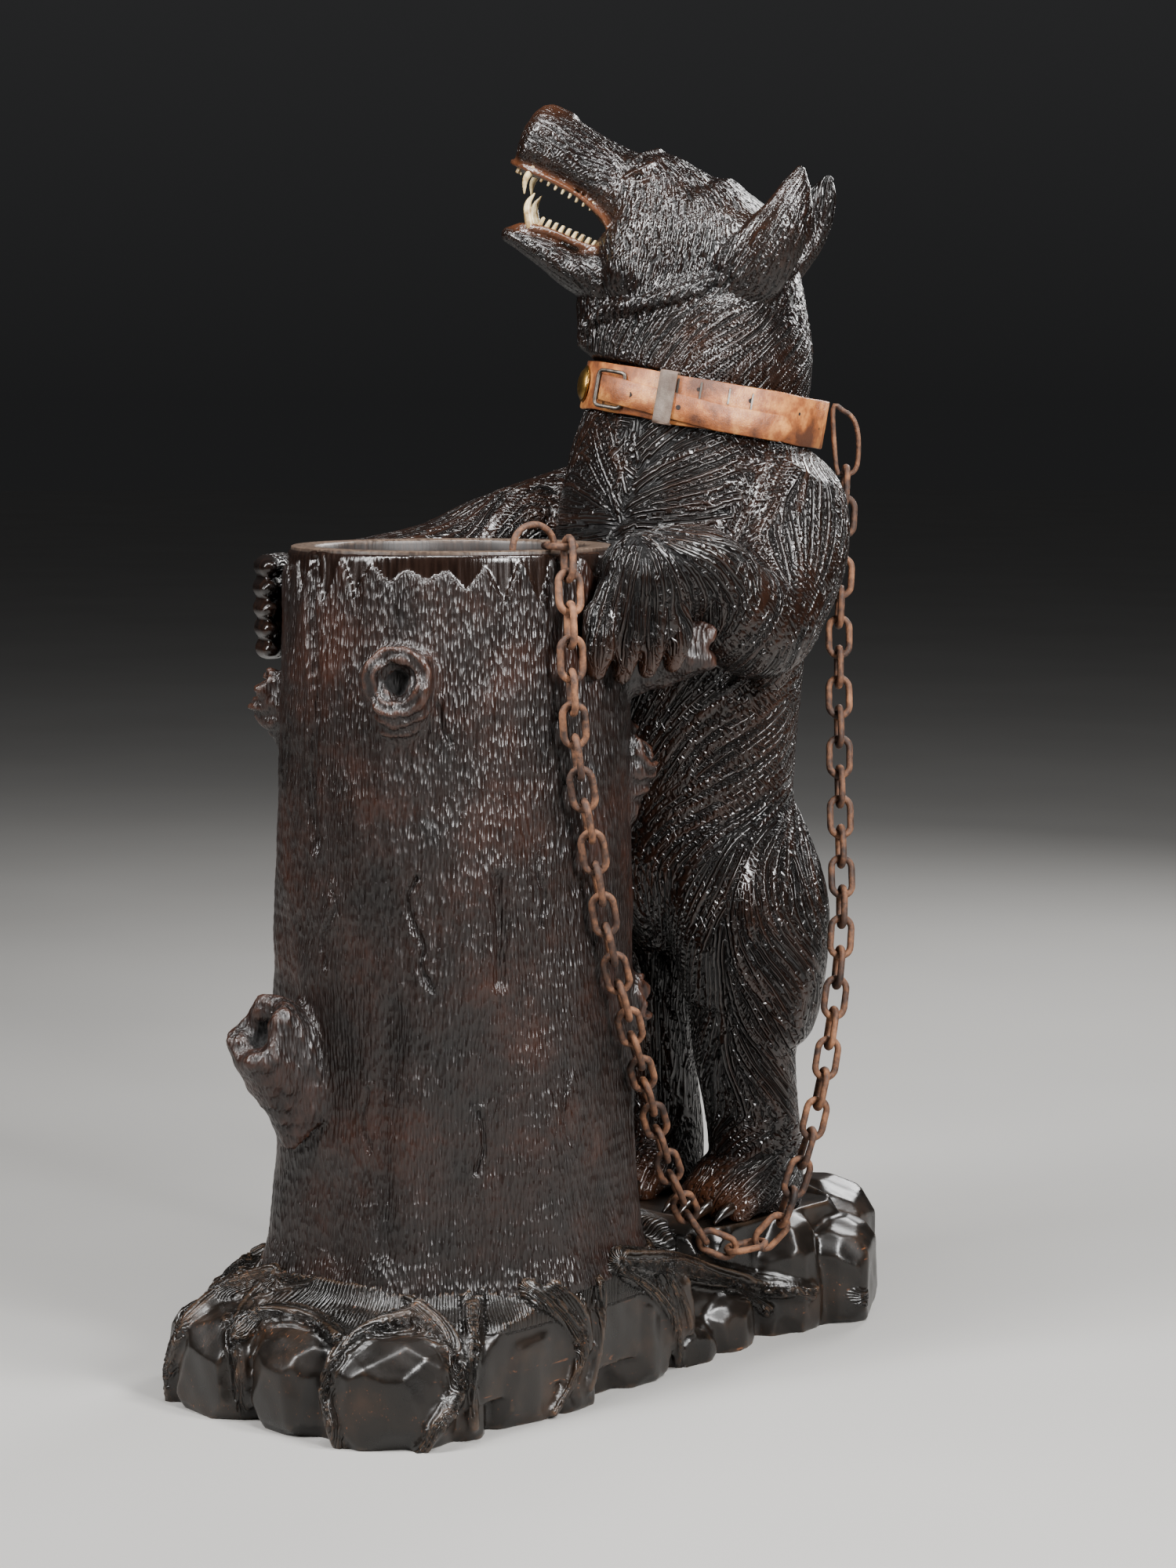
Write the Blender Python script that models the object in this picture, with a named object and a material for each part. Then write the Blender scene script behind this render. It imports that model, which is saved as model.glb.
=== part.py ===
"""Carved bear umbrella stand.

A standing bear looks out over a hollow tree trunk that holds the umbrellas. Both stand on a plinth
of rocks and roots. A leather collar round the bear's neck carries an iron chain, which hangs to the
plinth and rises again to a staple in the rim of the trunk.

Metres, +Z up. The trunk stands towards -Y, the bear behind it faces it. The origin is the centre of
the whole object's box, on the ground.
"""

import math
import random

import bmesh
import bpy
import numpy as np
from mathutils import Vector

GAP = 0.0003

# Plinth
BASE_LENGTH = 0.752
BASE_WIDTH = 0.355
JOINT_HEIGHT = 0.106
LEDGE_HEIGHT = 0.110
BOULDER_TOP = 0.092
SHELF_HEIGHT = 0.076
SHELF_ROOM = 0.0295
SHELF_STARTS = -0.0665
SHELF_ENDS = 0.286
ROOT_RADIUS = 0.017
BASE_TRIANGLES = 730

# Trunk
TRUNK_Y = -0.123
RIM_HEIGHT = 0.742
RIM_RADIUS = 0.146
TRUNK_RADIUS = 0.157
FOOT_RADIUS = 0.171
TRUNK_WALL = 0.026
WELL_FLOOR = 0.130
TRUNK_SIDES = 32
PEELED_BAND = 0.036
PEELED_DEPTH = 0.0025
ZIGZAG = 0.026
KNOT_RADIUS = 0.025

# Bear, whose figure is drawn in hundredths of its own height, which follows the rim's
BEAR_TO_RIM = 1.3976
BEAR_HEIGHT = RIM_HEIGHT * BEAR_TO_RIM
BEAR_X = 0.0125
BEAR_Y = 0.180
FINGER_RADIUS = 0.0145
PAW_THICKNESS = 0.042
LOCK_RELIEF = 0.0075
CARVING_GRAIN = 0.005
ROCK_GRAIN = 0.004
BEAR_TRIANGLES = 2490

# Collar
BAND_WIDTH = 0.044
BAND_THICKNESS = 0.0032
STRAP_WIDTH = 0.024
STRAP_THICKNESS = 0.0026
KEEPER_WIDTH = 0.016
KEEPER_THICKNESS = 0.0015
BUCKLE_WIRE = 0.0036
BUCKLE_LENGTH = 0.034
BOSS_RADIUS = 0.017
BOSS_HEIGHT = 0.007
RING_WIRE = 0.0045
RING_REACH = 0.022
RING_HEIGHT = 0.060
NECK_SHARE = 0.09932
NECK_RADIUS = BEAR_HEIGHT * NECK_SHARE
COLLAR_SLACK = 0.006
COLLAR_DROP_BACK = 0.008
COLLAR_SLOPE = math.radians(9.8)

# Chain and its staple
LINK_LENGTH = 0.042
LINK_WIDTH = 0.0255
LINK_WIRE = 0.0064
LINK_PLAY = 0.0006
CHAIN_BOW = 0.046
BOW_ASIDE = 0.4789
BOW_AWAY = -0.069
BOW_RISE = 0.6863
STAPLE_SPAN = 0.048
STAPLE_HEIGHT = 0.025
STAPLE_WIRE = 0.0058
STAPLE_DEPTH = 0.008
STAPLE_TURN = math.radians(-11)
FLAT_LINK_TURN = math.radians(-21)
MOST_LINK_NODES = 50
SQUARE_WIRE = 1.1
FUSED_SHARE = 0.3

UP = Vector((0, 0, 1))


def new_material(name, colour, roughness, metallic=0.0):
    material = bpy.data.materials.new(name)
    material.use_nodes = True
    shader = material.node_tree.nodes["Principled BSDF"]
    shader.inputs["Base Color"].default_value = (*colour, 1)
    shader.inputs["Roughness"].default_value = roughness
    shader.inputs["Metallic"].default_value = metallic
    return material


def put_in_scene(name, mesh, material=None, smooth_angle=None):
    """One object from a bmesh, with its faces pointing out."""
    bmesh.ops.triangulate(mesh, faces=mesh.faces)
    bmesh.ops.recalc_face_normals(mesh, faces=mesh.faces)
    data = bpy.data.meshes.new(name)
    mesh.to_mesh(data)
    mesh.free()
    if material:
        data.materials.append(material)
    if smooth_angle:
        data.shade_smooth()
        data.set_sharp_from_angle(angle=smooth_angle)
    piece = bpy.data.objects.new(name, data)
    bpy.context.scene.collection.objects.link(piece)
    return piece


def boolean(piece, cutter, operation):
    """Adds a cut or a union, and hides the other body."""
    step = piece.modifiers.new(operation.lower(), 'BOOLEAN')
    step.operation = operation
    step.object = cutter
    cutter.hide_render = True
    cutter.display_type = 'WIRE'


def settle(piece, helpers=()):
    """Keeps the result of the modifiers as the piece's mesh, and drops the bodies that it used."""
    graph = bpy.context.evaluated_depsgraph_get()
    result = bpy.data.meshes.new_from_object(piece.evaluated_get(graph))
    piece.modifiers.clear()
    piece.data = result
    for helper in helpers:
        bpy.data.objects.remove(helper)


def smooth_run(stations, step):
    """A smooth curve through rows of numbers, of which the first three are a place."""
    rows = np.array(stations, dtype=float)
    padded = np.vstack((2 * rows[0] - rows[1], rows, 2 * rows[-1] - rows[-2]))
    run = []
    for before, start, end, after in zip(padded, padded[1:], padded[2:], padded[3:]):
        count = max(2, math.ceil(np.linalg.norm(end[:3] - start[:3]) / step))
        for t in np.arange(count) / count:
            run.append(0.5 * (2 * start + (end - before) * t
                              + (2 * before - 5 * start + 4 * end - after) * t ** 2
                              + (3 * start - before - 3 * end + after) * t ** 3))
    run.append(rows[-1])
    return np.array(run)


def no_locks(turn, run):
    return 0.0


def loft(mesh, stations, across, sides=20, step=0.012, squareness=2.0, locks=no_locks, roundness=1.0,
         caps=(45, 75)):
    """A closed limb through stations (x, y, z, half width, half depth), width along `across`."""
    run = smooth_run(stations, step)
    places = run[:, :3]
    tangents = np.gradient(places, axis=0)
    tangents /= np.linalg.norm(tangents, axis=1)[:, None]
    length = np.concatenate(([0], np.cumsum(np.linalg.norm(np.diff(places, axis=0), axis=1))))
    rows = [(places[i], tangents[i], run[i, 3], run[i, 4], length[i]) for i in range(len(run))]
    for end, way in ((0, -1), (-1, 1)):
        place, tangent, width, depth, at = rows[end]
        round_cap = []
        for angle in caps:
            shrink = math.cos(math.radians(angle))
            out = math.sin(math.radians(angle)) * min(width, depth) * way * roundness
            round_cap.append((place + tangent * out, tangent, width * shrink, depth * shrink, at))
        rows = rows + round_cap if way > 0 else round_cap[::-1] + rows
    rings = []
    for place, tangent, width, depth, at in rows:
        u = np.array(across) - tangent * np.dot(across, tangent)
        u /= np.linalg.norm(u)
        v = np.cross(tangent, u)
        ring = []
        for side in range(sides):
            turn = math.tau * side / sides
            c, s = math.cos(turn), math.sin(turn)
            power = 2 / squareness
            grow = locks(turn, at)
            wide = math.copysign(abs(c) ** power, c) * (width + grow)
            deep = math.copysign(abs(s) ** power, s) * (depth + grow)
            ring.append(mesh.verts.new(place + u * wide + v * deep))
        rings.append(ring)
    for ring, following in zip(rings, rings[1:]):
        for side in range(sides):
            after = (side + 1) % sides
            mesh.faces.new((ring[side], ring[after], following[after], following[side]))
    for ring in (rings[0], rings[-1]):
        mesh.faces.new(ring)


def fur(columns, row, swirl, relief=LOCK_RELIEF):
    """Overlapping locks as relief on a loft: tongues that rise to their tips, in staggered rows."""
    def height(turn, run):
        column = columns * (turn / math.tau + swirl * run)
        along = run / row + 0.5 * (math.floor(column) % 2)
        ridge = math.sin(math.pi * (column % 1)) ** 0.6
        return relief * ridge * (along % 1) - relief / 2
    return height


def join(meshes):
    """One bmesh from several, which may run into each other."""
    whole = bmesh.new()
    for mesh in meshes:
        data = bpy.data.meshes.new("part")
        mesh.to_mesh(data)
        mesh.free()
        whole.from_mesh(data)
        bpy.data.meshes.remove(data)
    return whole


def carve(piece, material, grain, triangles, soften=0):
    """Turns bodies that run into each other into one skin of fine facets, then thins it out."""
    skin = piece.modifiers.new("skin", 'REMESH')
    skin.mode = 'VOXEL'
    skin.voxel_size = grain
    if soften:
        smooth = piece.modifiers.new("soften", 'SMOOTH')
        smooth.factor = 0.5
        smooth.iterations = soften
    settle(piece)
    piece.data.materials.clear()
    piece.data.materials.append(material)
    thin_out(piece, triangles)


def thin_out(piece, triangles):
    """Leaves about this many triangles, the flattest places losing theirs first."""
    reduce = piece.modifiers.new("reduce", 'DECIMATE')
    have = sum(len(face.vertices) - 2 for face in piece.data.polygons)
    reduce.ratio = min(1.0, triangles / have)
    settle(piece)


def join_flat_faces(piece):
    """Joins the splinters that cuts leave in a flat face."""
    flat = piece.modifiers.new("flat", 'DECIMATE')
    flat.decimate_type = 'DISSOLVE'
    flat.angle_limit = math.radians(0.2)
    settle(piece)


# The plinth

def plan_half_width(y):
    """Half the plinth's width at a distance along it, as a share of BASE_WIDTH / 2."""
    ends = np.array((-1.0, -0.97, -0.88, -0.70, -0.35, 0.0, 0.35, 0.60, 0.72, 0.88, 0.96, 1.0))
    widths = np.array((0.52, 0.75, 0.92, 1.0, 0.99, 0.90, 0.80, 0.78, 0.88, 0.82, 0.60, 0.30))
    return BASE_WIDTH / 2 * np.interp(2 * y / BASE_LENGTH, ends, widths)


def plinth_block():
    """The body of the plinth inside the boulders, with chamfered upper edges."""
    mesh = bmesh.new()
    inner_share, levels = 0.78, ((-0.02, 1.0), (0.6 * JOINT_HEIGHT, 1.0), (JOINT_HEIGHT, 0.90))
    rows = []
    for height, share in levels:
        ring = []
        for side, order in ((1, 1), (-1, -1)):
            for y in np.linspace(-0.48, 0.48, 14)[::order] * BASE_LENGTH:
                half = plan_half_width(y) * inner_share * share
                ring.append(mesh.verts.new((side * half, y * inner_share * share ** 0.5, height)))
        rows.append(ring)
    for low, high in zip(rows, rows[1:]):
        for i in range(len(low)):
            j = (i + 1) % len(low)
            mesh.faces.new((low[i], low[j], high[j], high[i]))
    mesh.faces.new(rows[0])
    mesh.faces.new(rows[-1])
    return mesh


def boulder(centre, size, turn, seed):
    """A rock with flat chiselled facets: a block with slices cut from its corners and edges."""
    dice = random.Random(seed)
    mesh = box_mesh([-s / 2 for s in size], [s / 2 for s in size])
    slices = [(45 + 90 * i + dice.uniform(-8, 8), dice.uniform(0, 8), 0.74) for i in range(4)]
    slices += [(60 * i + dice.uniform(-12, 12), dice.uniform(26, 36), 0.80) for i in range(6)]
    slices += [(30 + 72 * i + dice.uniform(-12, 12), dice.uniform(52, 64), 0.80) for i in range(5)]
    slices += [(90 * i, -45, 0.86) for i in range(4)]
    for around, rise, share in slices:
        a, e = math.radians(around), math.radians(rise)
        normal = Vector((math.cos(a) * math.cos(e), math.sin(a) * math.cos(e), math.sin(e)))
        reach = sum(abs(n) * s / 2 for n, s in zip(normal, size)) * share * dice.uniform(0.95, 1.04)
        geometry = mesh.verts[:] + mesh.edges[:] + mesh.faces[:]
        bmesh.ops.bisect_plane(mesh, geom=geometry, plane_co=normal * reach, plane_no=normal,
                               clear_outer=True)
        bmesh.ops.contextual_create(mesh, geom=[edge for edge in mesh.edges if edge.is_boundary])
    cos, sin = math.cos(turn), math.sin(turn)
    for vert in mesh.verts:
        x, y, z = vert.co
        vert.co = (centre[0] + x * cos - y * sin, centre[1] + x * sin + y * cos, centre[2] + z)
    return mesh


def rim_boulders():
    """Boulders all round the edge: each (angle round the plinth's centre line, width, top)."""
    rocks = []
    edge = []
    for side, order in ((1, 1), (-1, -1)):
        for y in np.linspace(-0.5, 0.5, 60)[::order] * BASE_LENGTH:
            edge.append((side * plan_half_width(y), y))
    edge = np.array(edge)
    steps = np.linalg.norm(np.roll(edge, -1, axis=0) - edge, axis=1)
    walked = np.concatenate(([0], np.cumsum(steps)))
    closed = np.vstack((edge, edge[:1]))
    dice = random.Random(5)
    count = 17
    for i in range(count):
        at = walked[-1] * (i + 0.35) / count
        place = np.array([np.interp(at, walked, closed[:, k]) for k in (0, 1)])
        ahead = np.array([np.interp((at + 0.02) % walked[-1], walked, closed[:, k]) for k in (0, 1)])
        turn = math.atan2(*(ahead - place)[::-1])
        inward = np.array((-math.sin(turn), math.cos(turn)))
        width = walked[-1] / count * dice.uniform(0.94, 1.12)
        depth = dice.uniform(0.115, 0.135)
        beside_bear = -0.03 < place[1] < 0.25
        top = BOULDER_TOP * (dice.uniform(0.72, 0.80) if beside_bear else dice.uniform(1.0, 1.15))
        middle = place + inward * depth * 0.46
        rocks.append(boulder((*middle, top / 2 - 0.012), (width, depth, top + 0.024), turn, i))
    return rocks


def root(points, thickness, dice):
    """A root that leaves the trunk's foot, runs over the plinth and thins towards its end."""
    mesh = bmesh.new()
    count = len(points)
    stations = []
    for i, point in enumerate(points):
        radius = thickness * (1.15 - 0.6 * i / (count - 1)) * dice.uniform(0.92, 1.08)
        stations.append((*point, radius, radius * 0.8))
    loft(mesh, stations, (0.3, 0.3, 1), sides=6, step=0.045, caps=(60,))
    return mesh


def roots():
    """Roots fan out from the trunk's foot, over the boulders and down between them."""
    dice = random.Random(3)
    turns_reach_wander = ((-150, 0.29, 14), (-118, 0.27, -12), (-96, 0.26, 12), (-72, 0.27, -10),
                          (-52, 0.30, 8), (-20, 0.24, -12), (4, 0.20, 10), (176, 0.20, -10), (150, 0.24, 8))
    meshes = []
    for turn, reach, wander in turns_reach_wander:
        points = []
        for share in (0.0, 0.3, 0.6, 0.85, 1.0):
            angle = math.radians(turn + wander * math.sin(math.pi * share))
            radius = FOOT_RADIUS * 0.8 + (reach - FOOT_RADIUS * 0.8) * math.sin(math.pi / 2 * share)
            height = JOINT_HEIGHT - 0.004 - (JOINT_HEIGHT - 0.015) * share ** 3.6
            x = radius * math.cos(angle)
            y = TRUNK_Y + radius * math.sin(angle)
            limit = plan_half_width(y) - ROOT_RADIUS * 0.3
            points.append((max(-limit, min(limit, x)), max(-BASE_LENGTH / 2 + 0.012, y), height))
        meshes.append(root(points, ROOT_RADIUS, dice))
    long_root = [(x * BASE_WIDTH, y * BASE_LENGTH, z * JOINT_HEIGHT) for x, y, z in (
        (0.296, -0.027, 0.83), (0.344, 0.066, 0.745), (0.332, 0.160, 0.66), (0.315, 0.253, 0.62),
        (0.332, 0.332, 0.45))]
    meshes.append(root(long_root, ROOT_RADIUS, dice))
    meshes.append(root([(-x, y, z) for x, y, z in long_root], ROOT_RADIUS, dice))
    return meshes


def ledge_rocks():
    """The flat ledge that the bear stands on, and two rocks behind it."""
    ledge_centre = (BEAR_X, BEAR_Y - 0.012, LEDGE_HEIGHT / 2)
    return [boulder(ledge_centre, (0.265, 0.245, LEDGE_HEIGHT * 1.05), 0.05, 41),
            boulder((0.035, 0.300, 0.050), (0.150, 0.110, 0.105), 0.4, 42),
            boulder((-0.065, 0.290, 0.045), (0.130, 0.110, 0.095), -0.5, 43)]


def box_mesh(low, high):
    mesh = bmesh.new()
    bmesh.ops.create_cube(mesh, size=1)
    for vert in mesh.verts:
        vert.co = [(a + b) / 2 + c * (b - a) for a, b, c in zip(low, high, vert.co)]
    return mesh


def flat_top(low, high):
    return put_in_scene("flat", box_mesh(low, high))


def make_base(material):
    base = put_in_scene("base", join([plinth_block()] + rim_boulders() + roots() + ledge_rocks()))
    carve(base, material, ROCK_GRAIN, BASE_TRIANGLES)
    fit_to_plan(base)
    big = BASE_LENGTH
    mesh = bmesh.new()
    closed_rings(mesh, trunk_skin(grow=GAP, start=JOINT_HEIGHT))
    foot = put_in_scene("foot_room", mesh)
    above = RIM_HEIGHT / 2
    ledge = flat_top((BEAR_X - 0.115, BEAR_Y - 0.09, LEDGE_HEIGHT), (BEAR_X + 0.115, BEAR_Y + 0.09, above))
    rooms = [foot, ledge, flat_top((-big, -big, -above), (big, big, 0))]
    shelf_start, shelf_end = SHELF_STARTS * BASE_LENGTH, SHELF_ENDS * BASE_LENGTH
    inner_edge = (BOW_ASIDE - BOW_AWAY) * BASE_WIDTH * math.sqrt(0.5) - SHELF_ROOM
    for side in (-1, 1):
        rooms.append(flat_top((side * inner_edge, shelf_start, SHELF_HEIGHT), (side * big, shelf_end, above)))
    for room in rooms:
        boolean(base, room, 'DIFFERENCE')
    settle(base, rooms)
    join_flat_faces(base)
    return base


def fit_to_plan(base):
    """Trims the plinth's rough outline to the length and width of its block."""
    corners = np.array([vert.co for vert in base.data.vertices])
    low, high = corners.min(axis=0), corners.max(axis=0)
    wanted = np.array((BASE_WIDTH, BASE_LENGTH))
    middle = (low + high)[:2] / 2
    scale = wanted / (high - low)[:2]
    for vert in base.data.vertices:
        vert.co.x = (vert.co.x - middle[0]) * scale[0]
        vert.co.y = (vert.co.y - middle[1]) * scale[1]


# The trunk

def trunk_radius(height, turn):
    """The bark's outer surface: a barrel that flares into buttresses at its foot."""
    levels = (JOINT_HEIGHT, 0.135, 0.19, 0.30, 0.50, 0.62, RIM_HEIGHT)
    radii = (FOOT_RADIUS, 0.5 * (FOOT_RADIUS + TRUNK_RADIUS), TRUNK_RADIUS + 0.003, TRUNK_RADIUS + 0.001,
             TRUNK_RADIUS, TRUNK_RADIUS - 0.002, RIM_RADIUS)
    barrel = np.interp(height, levels, radii)
    low = max(0.0, 1 - (height - JOINT_HEIGHT) / 0.30)
    buttress = 0.006 * low ** 1.5 * math.cos(7 * turn + 1.1)
    waves = 0.0022 * math.sin(3 * turn + 9 * height) + 0.0016 * math.sin(8 * turn - 14 * height)
    return barrel + buttress + waves * min(1.0, (RIM_HEIGHT - height) / 0.1)


def zigzag_height(side):
    """The ragged edge where the bark stops below the peeled band at the rim."""
    tooth = (side % 2 - 0.5) * (1 + 0.5 * math.sin(2.3 * side))
    return RIM_HEIGHT - PEELED_BAND - ZIGZAG * tooth - 0.010 * math.sin(0.4 * side + 0.6)


def trunk_skin(grow=0.0, sides=TRUNK_SIDES, start=JOINT_HEIGHT + GAP):
    """The trunk's outer skin as rings, from the joint to the rim."""
    levels = np.array((0.0, 0.05, 0.17, 0.45, 0.80)) * (RIM_HEIGHT - JOINT_HEIGHT)
    rings = []
    for level in levels:
        height = start + level
        rings.append([(height, trunk_radius(height, a)) for a in np.arange(sides) * math.tau / sides])
    for lift, cut in ((-0.002, 0.0), (0.002, PEELED_DEPTH)):
        ring = []
        for side in range(sides):
            height = zigzag_height(side) + lift
            ring.append((height, trunk_radius(height, side * math.tau / sides) - cut))
        rings.append(ring)
    rings.append([(RIM_HEIGHT - 0.003, trunk_radius(RIM_HEIGHT, 0) - PEELED_DEPTH * 0.6)] * sides)
    rings.append([(RIM_HEIGHT, trunk_radius(RIM_HEIGHT, 0) - PEELED_DEPTH * 0.6 - 0.003)] * sides)
    placed = []
    for ring in rings:
        row = []
        for side, (height, radius) in enumerate(ring):
            a = side * math.tau / sides
            out = radius + grow
            row.append((out * math.cos(a), TRUNK_Y + out * math.sin(a), height))
        placed.append(row)
    if grow:
        placed[-1] = [(x, y, z + grow) for x, y, z in placed[-1]]
    return placed


def closed_rings(mesh, rings):
    verts = [[mesh.verts.new(place) for place in ring] for ring in rings]
    for ring, following in zip(verts, verts[1:]):
        for i in range(len(ring)):
            j = (i + 1) % len(ring)
            mesh.faces.new((ring[i], ring[j], following[j], following[i]))
    mesh.faces.new(verts[0])
    mesh.faces.new(verts[-1])


def well_rings(sides=TRUNK_SIDES):
    radius = RIM_RADIUS - TRUNK_WALL
    rings = []
    for height, share in ((RIM_HEIGHT, 1.0), (WELL_FLOOR, 0.98)):
        rings.append([(radius * share * math.cos(a), TRUNK_Y + radius * share * math.sin(a), height)
                      for a in np.arange(sides) * math.tau / sides])
    return rings


# Branch stubs: turn round the trunk, drop below the rim, length beyond the bark, radius, tilt up, aim
STUBS = {
    "knot": (-60, 0.110, 0.012, 1.0, 5, -55),
    "far_stub": (-137, 0.142, 0.022, 0.75, 25, -137),
    "big_stub": (-103, 0.450, 0.056, 1.45, 32, -95),
    "paw_stub": (36, 0.087, 0.074, 1.0, 0, 45),
    "side_stub": (46, 0.194, 0.016, 0.95, 30, 42),
    "low_stub": (47, 0.407, 0.012, 0.9, 10, 40),
}


def stub(name, grow=0.0):
    """A broken branch: a swollen collar on the bark, a rough end and a small hollow in it."""
    turn, drop_from_rim, length, share, tilt, aim = STUBS[name]
    turn, tilt, aim = (math.radians(a) for a in (turn, tilt, aim))
    height = RIM_HEIGHT - drop_from_rim
    radius = KNOT_RADIUS * share
    bark = trunk_radius(height, turn)
    start = np.array(((bark - 0.016) * math.cos(turn), TRUNK_Y + (bark - 0.016) * math.sin(turn), height))
    way = np.array((math.cos(aim) * math.cos(tilt), math.sin(aim) * math.cos(tilt), math.sin(tilt)))
    long = length + 0.016
    drop = np.array((0, 0, -0.018))
    profile = ((0.0, 1.35, drop), (0.6 * long, 1.0, drop * 0.2), (long, 0.85, drop * 0),
               (long - 0.001, 0.44, drop * 0), (long - 0.013, 0.30, drop * 0))
    side = np.cross(way, UP)
    side /= np.linalg.norm(side)
    top = np.cross(side, way)
    rings = []
    for along, wide, shift in profile[:3 if grow else 5]:
        centre = start + way * along + shift
        ring = []
        for i in range(8):
            a = math.tau * i / 8
            lump = 1 + 0.08 * math.sin(3 * a + along * 90)
            reach = radius * wide * lump + grow
            ring.append(centre + side * reach * math.cos(a) + top * reach * math.sin(a) * 1.12)
        rings.append(ring)
    mesh = bmesh.new()
    closed_rings(mesh, rings)
    return mesh


def make_trunk(material):
    mesh = bmesh.new()
    closed_rings(mesh, trunk_skin() + well_rings())
    trunk = put_in_scene("trunk", mesh, material)
    helpers = []
    for name in STUBS:
        helper = put_in_scene(name, stub(name))
        boolean(trunk, helper, 'UNION')
        helpers.append(helper)
    settle(trunk, helpers)
    bores = []
    for end in (-1, 1):
        bore = put_in_scene("bore", staple_leg_room(end))
        boolean(trunk, bore, 'DIFFERENCE')
        bores.append(bore)
    settle(trunk, bores)
    join_flat_faces(trunk)
    return trunk


def trunk_room():
    """The bodies that keep the bear clear of the trunk and its stubs."""
    mesh = bmesh.new()
    closed_rings(mesh, trunk_skin(grow=GAP))
    rooms = [put_in_scene("trunk_room", mesh)]
    for name in ("paw_stub", "far_stub", "side_stub"):
        rooms.append(put_in_scene("stub_room", stub(name, grow=GAP)))
    return rooms


# The bear

def on_bear(x, y, z):
    """A place from shares of the bear's height, in hundredths, above its ledge."""
    unit = BEAR_HEIGHT / 100
    return np.array((BEAR_X + x * unit, BEAR_Y + y * unit, LEDGE_HEIGHT + z * unit))


def body_station(x, y, z, wide, deep):
    return (*on_bear(x, y, z), wide * BEAR_HEIGHT / 100, deep * BEAR_HEIGHT / 100)


def torso(mesh):
    stations = [body_station(0, y, z, wide, deep) for z, y, wide, deep in (
        (25.5, 1.0, 8.0, 7.0), (30.0, 0.2, 10.2, 9.2), (37.6, -1.4, 10.0, 9.2), (49.2, -1.9, 11.2, 10.2),
        (59.8, -2.0, 12.1, 10.8), (66.5, -1.4, 11.0, 10.4))]
    neck = NECK_RADIUS / BEAR_HEIGHT * 100
    stations += [body_station(0.2, y, z, neck * share, neck * share) for z, y, share in (
        (71.4, -0.7, 1.0), (76.2, -0.3, 1.03), (80.5, 0.1, 0.98), (83.0, 0.4, 0.92))]
    loft(mesh, stations, (1, 0, 0), sides=48, step=0.008, locks=fur(16, 0.085, 1.6), roundness=0.6)


def leg(mesh, side):
    """One hind leg: thigh, knee, shank and heel."""
    hip = 6.2
    stations = [body_station(side * x, y, z, wide, deep) for x, y, z, wide, deep in (
        (hip - 1.8, -0.3, 33.0, 6.6, 7.7), (hip + 0.3, -0.2, 27.0, 6.7, 8.0),
        (hip + 0.6, 0.2, 19.3, 5.7, 6.6), (hip + 0.2, -0.4, 15.4, 4.5, 5.0), (hip, 0.7, 9.6, 4.0, 4.4),
        (hip, 1.5, 4.8, 4.0, 4.5), (hip, 1.8, 1.0, 3.9, 4.2))]
    loft(mesh, stations, (1, 0, 0), sides=36, step=0.008, locks=fur(11, 0.075, side * 2.0))
    foot = [body_station(side * hip, y, z, wide, high) for y, z, wide, high in (
        (2.6, 2.4, 3.5, 3.2), (-0.8, 2.6, 4.3, 3.4), (-3.6, 1.4, 4.4, 2.2))]
    loft(mesh, foot, (1, 0, 0), sides=24, step=0.01)
    for toe in range(4):
        x = side * (hip - 0.3) + (toe - 1.5) * 2.1
        reach = 1.1 * math.cos((toe - 1.5) * 0.6)
        knuckle = [body_station(x, -2.6 - reach + y, z, 1.15, 1.3)
                   for y, z in ((1.5, 1.5), (0, 1.3), (-0.9, 0.7))]
        loft(mesh, knuckle, (1, 0, 0), sides=12, step=0.01)
        claw = [body_station(x, -3.9 - reach + y, z, share, share * 1.2) for y, z, share in (
            (0.6, 0.9, 0.6), (-0.6, 0.8, 0.45), (-1.5, 0.15, 0.22))]
        loft(mesh, claw, (1, 0, 0), sides=8, step=0.01)


def on_trunk(turn, out, height):
    """A place beside the trunk: degrees round it, distance from its axis, height."""
    angle = math.radians(turn)
    return np.array((out * math.cos(angle), TRUNK_Y + out * math.sin(angle), height))


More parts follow.
